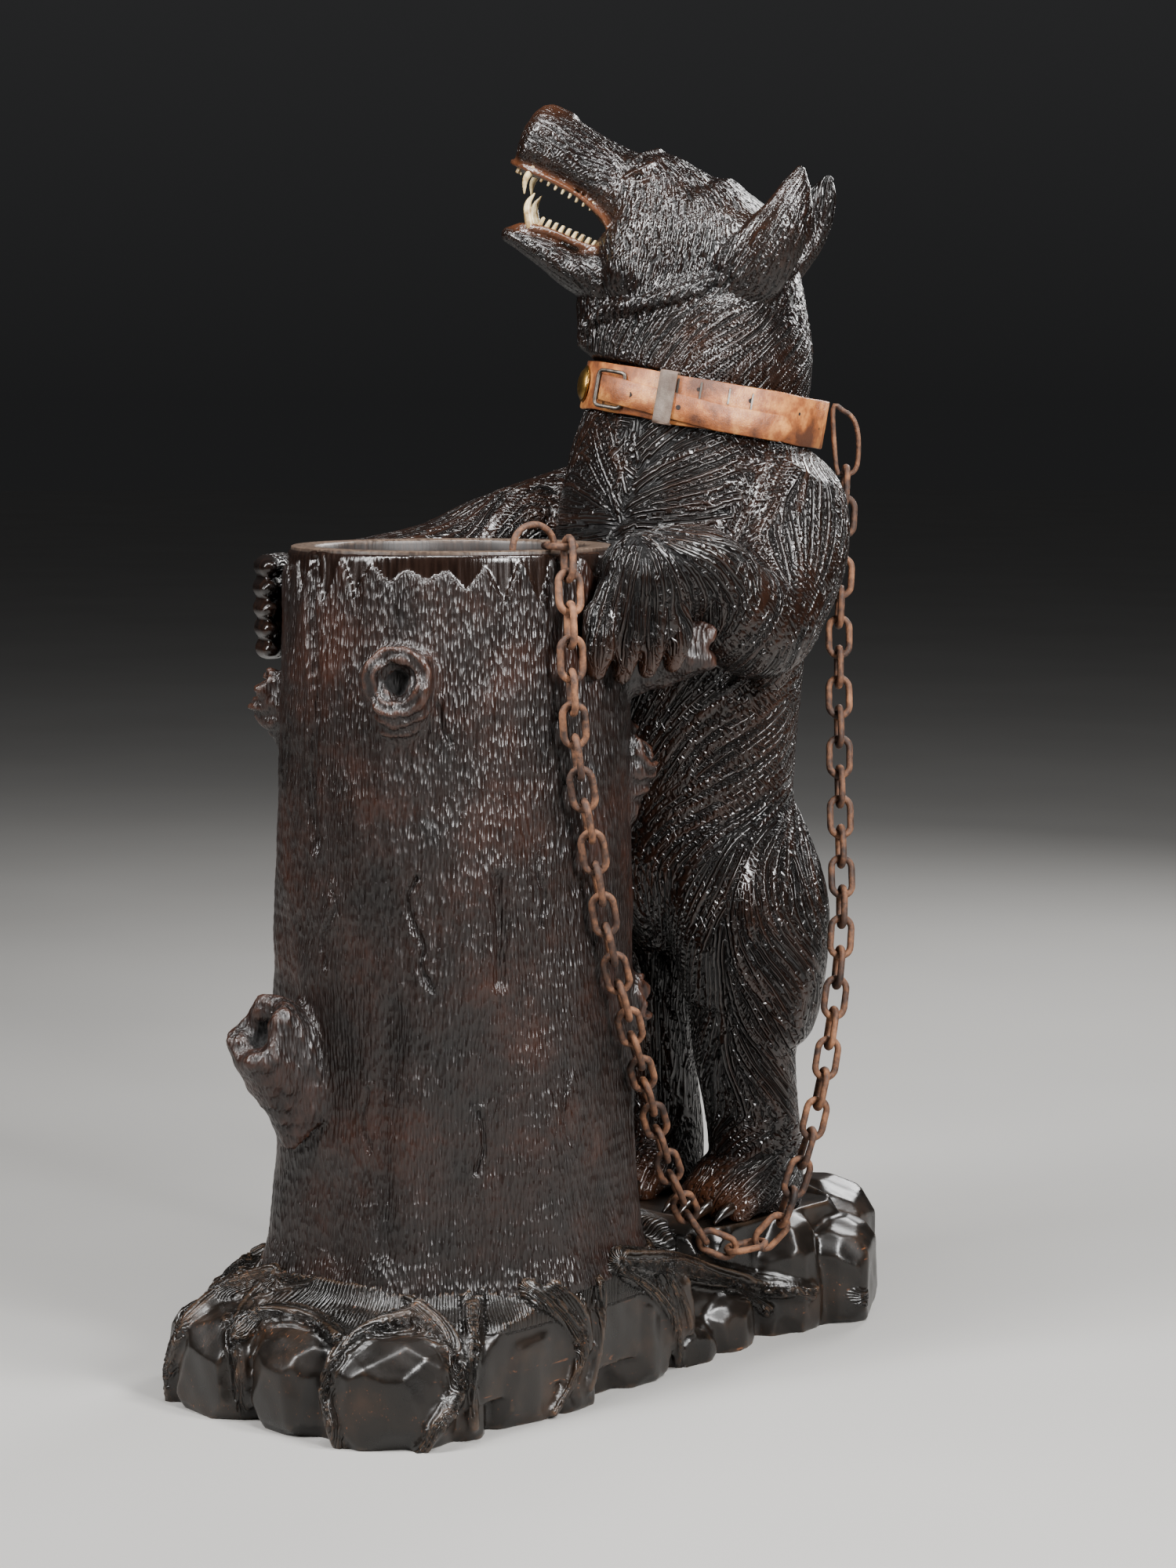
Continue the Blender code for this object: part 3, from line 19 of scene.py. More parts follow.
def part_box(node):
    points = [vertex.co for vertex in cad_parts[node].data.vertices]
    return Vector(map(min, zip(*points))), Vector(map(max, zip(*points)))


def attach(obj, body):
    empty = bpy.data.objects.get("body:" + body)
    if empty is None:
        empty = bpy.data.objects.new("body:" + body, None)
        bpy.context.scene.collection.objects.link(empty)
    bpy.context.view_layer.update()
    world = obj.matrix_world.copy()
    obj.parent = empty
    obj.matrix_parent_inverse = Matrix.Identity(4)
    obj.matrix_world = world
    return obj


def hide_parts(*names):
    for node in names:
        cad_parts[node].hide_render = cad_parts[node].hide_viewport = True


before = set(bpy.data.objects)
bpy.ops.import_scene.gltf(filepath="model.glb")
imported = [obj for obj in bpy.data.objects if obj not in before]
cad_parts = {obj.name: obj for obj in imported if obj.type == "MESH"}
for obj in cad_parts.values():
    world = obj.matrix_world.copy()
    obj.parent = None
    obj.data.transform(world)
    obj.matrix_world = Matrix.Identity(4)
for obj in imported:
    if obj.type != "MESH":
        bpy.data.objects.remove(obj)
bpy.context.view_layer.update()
PLINTH_LOW, PLINTH_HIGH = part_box("base")
BENCH_SHIFT = Vector(((PLINTH_LOW[0] + PLINTH_HIGH[0]) / 2, (PLINTH_LOW[1] + PLINTH_HIGH[1]) / 2, 0))

GAP = 0.0003
UP = Vector((0, 0, 1))

JOINT_HEIGHT = 0.106
LEDGE_HEIGHT = 0.110
BASE_LENGTH, BASE_WIDTH = 0.752, 0.355

TRUNK_Y = -0.123
RIM_HEIGHT, RIM_RADIUS = 0.742, 0.146
TRUNK_RADIUS, FOOT_RADIUS = 0.157, 0.171
TRUNK_WALL, WELL_FLOOR = 0.026, 0.130
PEELED_DEPTH, BARK_ROW = 0.0025, 0.011
KNOT_RADIUS = 0.025
# The barrel of the trunk: its radius at each height
TRUNK_LEVELS = (JOINT_HEIGHT, 0.135, 0.19, 0.30, 0.50, 0.62, RIM_HEIGHT)
TRUNK_RADII = (FOOT_RADIUS, 0.5 * (FOOT_RADIUS + TRUNK_RADIUS), TRUNK_RADIUS + 0.003, TRUNK_RADIUS + 0.001,
               TRUNK_RADIUS, TRUNK_RADIUS - 0.002, RIM_RADIUS)

BEAR_HEIGHT, BEAR_X, BEAR_Y = RIM_HEIGHT * 1.3976, 0.0125, 0.180
UNIT = BEAR_HEIGHT / 100
FINGER_RADIUS, PAW_THICKNESS = 0.0145, 0.042
FINGER_PITCH = FINGER_RADIUS * 1.75
FAR_FINGER_PITCH, FAR_FINGER_DROP = 0.0182, 0.020
NECK_RADIUS = 0.103

BODY_GRAIN = 0.0031
HEAD_GRAIN = 0.0018
BARK_GRAIN = 0.0029
ROCK_GRAIN = 0.0030
# Places that are worked on at a time, which keeps the memory small
CHUNK = 4000


# Bench tools

def smooth_run(stations, step):
    """A smooth curve through rows of numbers, of which the first three are a place."""
    rows = np.array(stations, dtype=float)
    padded = np.vstack((2 * rows[0] - rows[1], rows, 2 * rows[-1] - rows[-2]))
    run = []
    for before, start, end, after in zip(padded, padded[1:], padded[2:], padded[3:]):
        count = max(2, math.ceil(np.linalg.norm(end[:3] - start[:3]) / step))
        for t in np.arange(count) / count:
            run.append(0.5 * (2 * start + (end - before) * t
                              + (2 * before - 5 * start + 4 * end - after) * t ** 2
                              + (3 * start - before - 3 * end + after) * t ** 3))
    run.append(rows[-1])
    return np.array(run)


def loft(mesh, stations, across, sides=32, step=0.006, squareness=2.0, roundness=1.0, caps=(20, 45, 70)):
    """A closed limb through stations (x, y, z, half width, half depth), width along `across`."""
    run = smooth_run(stations, step)
    places = run[:, :3]
    tangents = np.gradient(places, axis=0)
    tangents /= np.linalg.norm(tangents, axis=1)[:, None]
    rows = [(places[i], tangents[i], run[i, 3], run[i, 4]) for i in range(len(run))]
    for end, way in ((0, -1), (-1, 1)):
        place, tangent, width, depth = rows[end]
        round_cap = []
        for angle in caps:
            shrink = math.cos(math.radians(angle))
            out = math.sin(math.radians(angle)) * min(width, depth) * way * roundness
            round_cap.append((place + tangent * out, tangent, width * shrink, depth * shrink))
        rows = rows + round_cap if way > 0 else round_cap[::-1] + rows
    rings = []
    for place, tangent, width, depth in rows:
        u = np.array(across) - tangent * np.dot(across, tangent)
        u /= np.linalg.norm(u)
        v = np.cross(tangent, u)
        ring = []
        for side in range(sides):
            c, s = math.cos(math.tau * side / sides), math.sin(math.tau * side / sides)
            power = 2 / squareness
            wide = math.copysign(abs(c) ** power, c) * width
            deep = math.copysign(abs(s) ** power, s) * depth
            ring.append(place + u * wide + v * deep)
        rings.append(ring)
    closed_rings(mesh, rings)


def closed_rings(mesh, rings, endless=False):
    """A closed body from rings of places: endless, or with a flat face over each end."""
    verts = [[mesh.verts.new(place) for place in ring] for ring in rings]
    for ring, following in zip(verts, verts[1:] + verts[:1] if endless else verts[1:]):
        for i in range(len(ring)):
            j = (i + 1) % len(ring)
            mesh.faces.new((ring[i], ring[j], following[j], following[i]))
    if not endless:
        mesh.faces.new(verts[0])
        mesh.faces.new(verts[-1])


def around(sides):
    """Angles evenly round a circle."""
    return np.arange(sides) * math.tau / sides


def data_of(name, mesh):
    """Turns a bmesh into mesh data."""
    data = bpy.data.meshes.new(name)
    mesh.to_mesh(data)
    mesh.free()
    return data


def new_object(name, data):
    thing = bpy.data.objects.new(name, data)
    bpy.context.scene.collection.objects.link(thing)
    return thing


def tree_of(places):
    """A search tree that gives each place's own row number back."""
    tree = KDTree(len(places))
    for i, place in enumerate(places):
        tree.insert(place, i)
    tree.balance()
    return tree


def evened(rows, times):
    """Takes the shake out of a line of stations by averaging each with its neighbours."""
    rows = np.array(rows)
    for _ in range(times):
        rows[1:-1, :3] = 0.25 * rows[:-2, :3] + 0.5 * rows[1:-1, :3] + 0.25 * rows[2:, :3]
    return rows


def fuse(mesh, grain, soften):
    """One even skin over bodies that run into each other."""
    bmesh.ops.recalc_face_normals(mesh, faces=mesh.faces)
    rough = new_object("rough", data_of("rough", mesh))
    skin = rough.modifiers.new("skin", 'REMESH')
    skin.mode = 'VOXEL'
    skin.voxel_size = grain
    smooth = rough.modifiers.new("soften", 'SMOOTH')
    smooth.factor = 0.5
    smooth.iterations = soften
    graph = bpy.context.evaluated_depsgraph_get()
    result = bpy.data.meshes.new_from_object(rough.evaluated_get(graph))
    bpy.data.objects.remove(rough)
    return result


def places_of(data):
    places = np.empty(len(data.vertices) * 3)
    data.vertices.foreach_get("co", places)
    return places.reshape(-1, 3)


def normals_of(data):
    normals = np.empty(len(data.vertices) * 3)
    data.vertex_normals.foreach_get("vector", normals)
    return normals.reshape(-1, 3)


def move_to(data, places):
    data.vertices.foreach_set("co", np.asarray(places, dtype=float).ravel())
    data.update()


def mark(data, **marks):
    """Keeps named numbers for each point, which the finish reads."""
    for name, values in marks.items():
        layer = data.attributes.new(name, 'FLOAT', 'POINT')
        layer.data.foreach_set("value", np.asarray(values, dtype=float).ravel())


def keep_faces(data, keep):
    """Drops the faces for which keep is false."""
    mesh = bmesh.new()
    mesh.from_mesh(data)
    mesh.faces.ensure_lookup_table()
    gone = [face for face in mesh.faces if not keep[face.index]]
    bmesh.ops.delete(mesh, geom=gone, context='FACES')
    mesh.to_mesh(data)
    mesh.free()


def stand(name, data, material, replaced=(), smooth=True):
    """Stands a finished piece in the frame."""
    move_to(data, places_of(data) + np.array(BENCH_SHIFT))
    if smooth:
        data.shade_smooth()
    data.materials.clear()
    data.materials.append(material)
    piece = new_object(name, data)
    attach(piece, "root")
    if replaced:
        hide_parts(*replaced)
    return piece


def stand_mesh(name, mesh, material, replaced=(), sharp=None):
    """The same for a bmesh; sharp is the angle over which an edge stays crisp."""
    bmesh.ops.recalc_face_normals(mesh, faces=mesh.faces)
    data = data_of(name, mesh)
    data.shade_smooth()
    if sharp:
        data.set_sharp_from_angle(angle=math.radians(sharp))
    return stand(name, data, material, replaced, smooth=False)


def unit_rows(rows):
    return rows / np.maximum(1e-9, np.linalg.norm(rows, axis=-1, keepdims=True))


def wobble(places, scale, seed):
    """Slow, even waves in all directions, between -1 and 1."""
    dice = np.random.default_rng(seed)
    total = np.zeros(len(places))
    for _ in range(6):
        way = dice.normal(size=3)
        way *= dice.uniform(0.6, 1.5) / np.linalg.norm(way)
        total += np.sin(places @ way / scale * math.tau + dice.uniform(0, math.tau))
    return total / 4


def nearness(places, spots):
    """How near each place is to any of the spots (place, radius), from 0 to 1."""
    share = np.zeros(len(places))
    for spot, radius in spots:
        share = np.maximum(share, np.exp(-(np.linalg.norm(places - spot, axis=1) / radius) ** 2))
    return share


# The view in which the stand's drawing was made, from one corner

EYE = np.array((2.4045, -2.358, 0.926))
SIGHT_ACROSS = np.array((math.sqrt(0.5), math.sqrt(0.5), 0))
SIGHT_AWAY = np.array((-math.sqrt(0.5), math.sqrt(0.5), 0))
# The drawing's middle and the distance of its plane from the eye, in the drawing's own points
MIDDLE_X, MIDDLE_Y, PLANE_DISTANCE = 750, 433, 4677


def drawn_run(points, gap):
    """An even run of points along a drawn line."""
    return smooth_run([(x, y, 0) for x, y in points], gap)[:, :2]


class Drawing:
    """Finds the places on a skin that the points of the corner drawing fall on."""

    def __init__(self, data):
        places = places_of(data)
        self.tree = BVHTree.FromPolygons(places.tolist(), [list(face.vertices) for face in data.polygons])

    def place(self, x, y):
        way = (SIGHT_AWAY + SIGHT_ACROSS * (x - MIDDLE_X) / PLANE_DISTANCE
               - np.array(UP) * (y - MIDDLE_Y) / PLANE_DISTANCE)
        hit, normal, _, _ = self.tree.ray_cast(Vector(EYE), Vector(way))
        return None if hit is None else (np.array(hit), np.array(normal))

    def stroke(self, points, gap=9):
        """Places and normals along a drawn line, and its direction at each."""
        hits = [self.place(x, y) for x, y in drawn_run(points, gap)]
        rows = []
        for here, there in zip(hits, hits[1:]):
            if here is None or there is None:
                continue
            way = there[0] - here[0]
            if np.linalg.norm(way) < 0.035:
                rows.append((*here[0], *here[1], *way))
        return rows


# Hair

# A guide is felt fully within GUIDE_NEAR, and gives way to the usual way beyond GUIDE_REACH
GUIDE_NEAR, GUIDE_REACH, GUIDE_FALL = 0.009, 0.075, 1.6


def hair_flow(places, normals, guides, usual):
    """The way the hair lies everywhere, from guide rows (place, normal, way) and the usual way."""
    guides = np.array(guides)
    ways = unit_rows(guides[:, 6:9])
    flow = np.empty_like(places)
    for start in range(0, len(places), CHUNK):
        part = slice(start, start + CHUNK)
        apart = places[part, None, :] - guides[None, :, :3]
        weight = 1 / ((apart ** 2).sum(-1) + GUIDE_NEAR ** 2) ** GUIDE_FALL
        weight *= np.clip(normals[part] @ guides[:, 3:6].T + 0.15, 0, 1)
        flow[part] = weight @ ways + usual[part] / (GUIDE_REACH ** 2) ** GUIDE_FALL
    flow -= normals * (flow * normals).sum(-1, keepdims=True)
    return unit_rows(flow)


def lay_locks(places, normals, flow, spacing, length, width, step, seed):
    """Locks from scattered roots along the flow: rows of place, way, side, run, length, half width, tone."""
    dice = np.random.default_rng(seed)
    tree = tree_of(places)
    order = dice.permutation(len(places))
    cells = np.floor(places[order] / spacing).astype(int)
    first = np.unique(cells, axis=0, return_index=True)[1]
    sides = np.cross(normals, flow)
    rows = []
    for root in order[np.sort(first)]:
        long = length[root] * dice.uniform(0.7, 1.25)
        half = width[root] * dice.uniform(0.75, 1.25)
        tone = dice.random()
        place, at, run = places[root].copy(), root, 0.0
        while run < long:
            rows.append((*place, *flow[at], *sides[at], run, long, half, tone))
            place += flow[at] * step
            at = tree.find(place)[1]
            place -= normals[at] * np.dot(place - places[at], normals[at])
            run += step
    return np.array(rows)


def carve_locks(places, rows, near=14):
    """Height, distance across and tone of the uppermost lock at each place."""
    tree = tree_of(rows[:, :3])
    index = np.array([[hit[1] for hit in tree.find_n(place, near)] for place in places])
    picked = rows[index].astype(np.float32)
    apart = places[:, None, :] - picked[..., :3]
    along = picked[..., 9] + (apart * picked[..., 3:6]).sum(-1)
    across = (apart * picked[..., 6:9]).sum(-1)
    share = along / picked[..., 10]
    taper = np.clip(share / 0.10, 0, 1) ** 0.5 * np.clip((1 - share) / 0.6, 0, 1) ** 0.6
    half = picked[..., 11] * np.maximum(0.02, taper)
    inside = (np.abs(across) < half) & (share > 0) & (share < 1)
    round_back = np.sqrt(np.clip(1 - (across / half) ** 2, 0, 1))
    height = np.where(inside, 0.12 + 0.38 * share + 0.5 * round_back, 0)
    best = height.argmax(axis=1)
    pick = np.arange(len(places))
    return height[pick, best], across[pick, best], picked[pick, best, 12]


# The bear's forms

def on_bear(x, y, z):
    """A place from shares of the bear's height, in hundredths, above its ledge."""
    return np.array((BEAR_X + x * UNIT, BEAR_Y + y * UNIT, LEDGE_HEIGHT + z * UNIT))


def body_station(x, y, z, wide, deep):
    return (*on_bear(x, y, z), wide * UNIT, deep * UNIT)


def on_trunk(turn, out, height):
    """A place beside the trunk: degrees round it, distance from its axis, height."""
    angle = math.radians(turn)
    return np.array((out * math.cos(angle), TRUNK_Y + out * math.sin(angle), height))


NECK = [body_station(0.2, y, z, NECK_RADIUS / UNIT * share, NECK_RADIUS / UNIT * share)
        for z, y, share in ((71.4, -0.7, 1.0), (76.2, -0.3, 1.03), (80.5, 0.1, 0.98), (83.0, 0.4, 0.92))]


def torso(mesh):
    stations = [body_station(0, y, z, wide, deep) for z, y, wide, deep in (
        (25.5, 1.0, 8.0, 7.0), (30.0, 0.2, 10.2, 9.2), (37.6, -1.4, 10.0, 9.2), (49.2, -1.9, 11.2, 10.2),
        (59.8, -2.0, 12.1, 10.8), (66.5, -1.4, 11.0, 10.4))]
    loft(mesh, stations + NECK[:3], (1, 0, 0), sides=56, roundness=0.3)
    tail = [body_station(0, y, z, wide, wide)
            for y, z, wide in ((8.6, 28.0, 3.2), (10.6, 24.5, 2.8), (10.8, 21.5, 1.6))]
    loft(mesh, tail, (1, 0, 0))


HIP, TOE_PITCH = 6.2, 2.1


def toe_spot(side, toe):
    """How far aside a toe stands, and how far it reaches beyond the outer ones."""
    return side * (HIP - 0.3) + (toe - 1.5) * TOE_PITCH, 1.1 * math.cos((toe - 1.5) * 0.6)


def leg(mesh, side):
    stations = [body_station(side * x, y, z, wide, deep) for x, y, z, wide, deep in (
        (HIP - 1.8, -0.3, 33.0, 6.6, 7.7), (HIP + 0.3, -0.2, 27.0, 6.7, 8.0),
        (HIP + 0.6, 0.2, 19.3, 5.7, 6.6),
        (HIP + 0.2, -0.4, 15.4, 4.5, 5.0), (HIP, 0.7, 9.6, 4.0, 4.4), (HIP, 1.5, 4.8, 4.0, 4.5),
        (HIP, 1.8, 1.0, 3.9, 4.2))]
    loft(mesh, stations, (1, 0, 0), sides=40)
    foot = [body_station(side * HIP, y, z, wide, high) for y, z, wide, high in (
        (2.6, 2.4, 3.5, 3.2), (-0.8, 2.6, 4.3, 3.4), (-3.6, 1.4, 4.4, 2.2))]
    loft(mesh, foot, (1, 0, 0), sides=32)
    for toe in range(4):
        x, reach = toe_spot(side, toe)
        knuckle = [body_station(x, -2.6 - reach + y, z, 1.15, 1.3)
                   for y, z in ((1.5, 1.5), (0, 1.3), (-0.9, 0.7))]
        loft(mesh, knuckle, (1, 0, 0), sides=20)


def claws(mesh, side):
    for toe in range(4):
        x, reach = toe_spot(side, toe)
        claw = [body_station(x, -3.9 - reach + y, z, share, share * 1.2) for y, z, share in (
            (0.8, 1.2, 0.62), (-0.7, 1.15, 0.54), (-1.8, 0.75, 0.38), (-2.6, 0.22, 0.15))]
        loft(mesh, claw, (1, 0, 0), sides=14, step=0.003)


WRIST = on_trunk(19, RIM_RADIUS + 0.036, RIM_HEIGHT - 0.022)
KNUCKLES = on_trunk(17, RIM_RADIUS + 0.036, RIM_HEIGHT - 0.068)
PAW_ACROSS = np.array((0.26, 0.966, 0.0))


def near_arm(mesh):
    shoulder = [body_station(*row) for row in (
        (4.6, 0.2, 65.5, 5.0, 5.4), (9.4, 0.3, 63.8, 5.7, 6.0), (11.8, -1.0, 60.2, 5.0, 5.6),
        (12.9, -3.9, 56.4, 4.6, 5.2), (13.8, -6.8, 54.2, 4.4, 5.0), (14.4, -11.0, 55.2, 4.1, 4.5))]
    forearm = on_bear(14.6, -15.8, 58.6)
    loft(mesh, shoulder + [(*forearm, 0.037, 0.042), (*WRIST, 0.036, 0.037)], (1, 0, 0), sides=40)
    tuft = [body_station(*row) for row in ((13.6, -5.5, 53.0, 3.4, 3.6), (13.2, -5.2, 49.8, 1.9, 2.2))]
    loft(mesh, tuft, (1, 0, 0), sides=24)
    paw = [(*WRIST, 0.034, 0.030), (*(0.5 * (WRIST + KNUCKLES)), 0.043, 0.5 * PAW_THICKNESS + 0.003),
           (*KNUCKLES, 0.047, 0.5 * PAW_THICKNESS)]
    loft(mesh, paw, PAW_ACROSS, sides=32)
    for finger in range(4):
        offset = PAW_ACROSS * (finger - 1.5) * FINGER_PITCH
        top = KNUCKLES + offset + np.array((0, 0, 0.012))
        tip = KNUCKLES + offset + np.array((-0.004, 0.001, -0.040 + 0.004 * abs(finger - 1)))
        middle = 0.5 * (top + tip) + np.array((0.005, -0.002, 0))
        stations = [(*top, FINGER_RADIUS * 0.92, 0.9 * FINGER_RADIUS),
                    (*middle, FINGER_RADIUS, FINGER_RADIUS),
                    (*tip, FINGER_RADIUS * 0.55, FINGER_RADIUS * 0.6)]
        loft(mesh, stations, PAW_ACROSS, sides=20, step=0.004)


def far_arm(mesh):
    stations = [body_station(*row) for row in (
        (-4.6, -0.2, 65.8, 5.0, 5.4), (-9.2, -0.8, 63.2, 4.8, 5.2), (-12.7, -5.7, 61.7, 4.2, 4.7),
        (-15.0, -11.6, 60.2, 4.0, 4.2), (-15.9, -16.0, 58.7, 3.7, 3.9), (-16.2, -21.8, 57.8, 3.5, 3.6))]
    stations.append((*on_trunk(176, RIM_RADIUS + 0.018, RIM_HEIGHT - 0.040), 0.034, 0.036))
    loft(mesh, stations, (1, 0, 0), sides=40)
    paw = [(*on_trunk(turn, RIM_RADIUS + out, RIM_HEIGHT - 0.050 - drop), high, 0.5 * PAW_THICKNESS)
           for turn, out, drop, high in ((176, 0.024, 0.0, 0.036), (190, 0.022, 0.006, 0.044),
                                         (203, 0.020, 0.008, 0.044))]
    loft(mesh, paw, (0, 0, 1), sides=32)
    for finger in range(5):
        height = RIM_HEIGHT - FAR_FINGER_DROP - finger * FAR_FINGER_PITCH
        back = 2.0 * abs(finger - 1.5)
        stations = [(*on_trunk(turn, RIM_RADIUS + out, height), 0.0098 * share, 0.0115 * share)
                    for turn, out, share in ((202, 0.021, 1), (212, 0.0225, 1.05), (220 - back, 0.021, 1),
                                             (228 - back, 0.015, 0.7))]
        loft(mesh, stations, (0, 0, 1), sides=20, step=0.004)


HEAD_LIFT, HEAD_TURN = math.radians(30), math.radians(38)
FORWARD = np.array((-math.cos(HEAD_TURN) * math.cos(HEAD_LIFT),
                    -math.sin(HEAD_TURN) * math.cos(HEAD_LIFT), math.sin(HEAD_LIFT)))
NEAR_SIDE = np.array((math.sin(HEAD_TURN), -math.cos(HEAD_TURN), 0.0))
HEAD_UP = np.cross(FORWARD, NEAR_SIDE)
HEAD_MIDDLE = on_bear(0.3, -0.3, 88.2)


def on_head(forward, left, up):
    """A place in the head's own frame, in hundredths of the bear's height from the skull's centre."""
    return HEAD_MIDDLE + (FORWARD * forward + NEAR_SIDE * left + HEAD_UP * up) * UNIT


def head_loft(mesh, rows, across=None, **options):
    stations = [(*on_head(forward, left, up), wide * UNIT, high * UNIT) for forward, left, up, wide,
                high in rows]
    loft(mesh, stations, NEAR_SIDE if across is None else across, **options)


def skull(mesh):
    head_loft(mesh, ((-7.6, 0, -2.6, 6.6, 5.8), (-4.8, 0, -2.6, 8.0, 7.3), (-0.8, 0, -2.6, 8.3, 7.8),
                     (2.6, 0, -1.7, 7.4, 7.5), (5.6, 0, -0.3, 5.8, 5.2), (7.7, 0, -0.20, 4.7, 3.65),
                     (10.6, 0, 0.0, 4.0, 3.0), (14.0, 0, 0.0, 3.6, 3.05), (16.7, 0, -0.25, 3.1, 3.3)),
              sides=48, step=0.004, squareness=2.3, roundness=0.45)
    head_loft(mesh, ((15.0, 0, 2.2, 1.9, 1.2), (16.5, 0, 2.0, 1.75, 1.25)), sides=24, step=0.004)
    for side in (-1, 1):
        head_loft(mesh, ((1.8, side * 3.2, 2.6, 1.9, 1.8), (4.9, side * 3.0, 2.3, 1.5, 1.5)), sides=24)
        head_loft(mesh, ((-3.0, side * 5.0, -6.0, 3.6, 3.8), (2.5, side * 4.4, -5.6, 3.2, 3.6)), sides=32)


def lower_jaw(mesh):
    head_loft(mesh, ((1.0, 0, -8.2, 5.6, 3.6), (5.0, 0, -7.7, 5.2, 3.2), (8.0, 0, -8.5, 4.3, 1.95),
                     (10.4, 0, -8.4, 3.8, 1.6), (12.8, 0, -8.5, 3.1, 1.2), (14.6, 0, -8.8, 2.3, 0.75)),
              sides=40, step=0.004, squareness=2.3)
    head_loft(mesh, ((3.2, 0, -9.3, 5.0, 3.6), (1.2, 0, -12.6, 5.6, 3.4)), sides=40, step=0.005)


def ears(mesh):
    for side in (-1, 1):
        tip_back, rise = (0.0, 0.0) if side > 0 else (-1.6, 0.9)
        head_loft(mesh, ((-6.2, side * 6.3, -3.2, 2.8, 1.9), (-6.5, side * 7.3, 0.0, 3.2, 1.9),
                         (-6.9 + tip_back * 0.4, side * 7.6, 4.4 + rise * 0.4, 2.5, 1.3),
                         (-6.3 + tip_back * 0.8, side * 6.9, 7.2 + rise, 1.5, 0.8),
                         (-5.7 + tip_back, side * 6.3, 8.9 + rise, 0.5, 0.4)),
                  across=FORWARD + 0.35 * side * NEAR_SIDE, sides=24, step=0.004)


# The collar's frame, which the fur below also makes room for

BAND_WIDTH, BAND_THICKNESS = 0.044, 0.0032
STRAP_WIDTH, STRAP_THICKNESS = 0.024, 0.0026
KEEPER_WIDTH, KEEPER_THICKNESS = 0.016, 0.0015
BUCKLE_WIRE, BUCKLE_LENGTH = 0.0036, 0.034
BOSS_RADIUS = 0.017
RING_WIRE, RING_REACH, RING_HEIGHT = 0.0045, 0.022, 0.060
COLLAR_SLACK, COLLAR_DROP_BACK, COLLAR_SLOPE = 0.006, 0.008, math.radians(9.8)
COLLAR_DOWNHILL = Vector((math.sqrt(0.5), math.sqrt(0.5), 0))
COLLAR_AXIS = (UP * math.cos(COLLAR_SLOPE) + COLLAR_DOWNHILL * math.sin(COLLAR_SLOPE)).normalized()
COLLAR_CENTRE = Vector(on_bear(0.2, -0.5, 72.7)) + COLLAR_DOWNHILL * COLLAR_DROP_BACK
BAND_INSIDE = NECK_RADIUS + COLLAR_SLACK + KEEPER_THICKNESS + 2 * GAP
BAND_OUTSIDE = BAND_INSIDE + BAND_THICKNESS


def on_collar(turn, out, rise):
    """A place on the collar: turn from its downhill point, distance from its axis, rise along it."""
    down = (COLLAR_DOWNHILL - COLLAR_AXIS * COLLAR_DOWNHILL.dot(COLLAR_AXIS)).normalized()
    beside = COLLAR_AXIS.cross(down)
    return COLLAR_CENTRE + down * out * math.cos(turn) + beside * out * math.sin(turn) + COLLAR_AXIS * rise


def collar_rise(places):
    return (places - np.array(COLLAR_CENTRE)) @ np.array(COLLAR_AXIS)


def make_room(places):
    """Presses the fur back where the collar, the trunk and the ledge touch it."""
    places = places.copy()
    axis = np.array(COLLAR_AXIS)
    rise = collar_rise(places)
    foot = np.array(COLLAR_CENTRE) + rise[:, None] * axis
    out = np.linalg.norm(places - foot, axis=1)
    limit = NECK_RADIUS + COLLAR_SLACK - 0.0015 + np.clip(np.abs(rise) - BAND_WIDTH / 2 - 0.001, 0,
                                                          None) * 1.8
    under = (out > limit) & (np.abs(rise) < 0.07)
    share = np.where(under, limit / np.maximum(out, 1e-6), 1)
    places = foot + (places - foot) * share[:, None]
    spread = places[:, :2] - np.array((0, TRUNK_Y))
    out = np.linalg.norm(spread, axis=1)
    bark = np.interp(places[:, 2], TRUNK_LEVELS, TRUNK_RADII) + 0.0005
    inside = (out < bark) & (places[:, 2] < RIM_HEIGHT)
    places[:, :2] += spread * np.where(inside, bark / np.maximum(out, 1e-6) - 1, 0)[:, None]
    places[:, 2] = np.maximum(places[:, 2], LEDGE_HEIGHT + GAP)
    return places


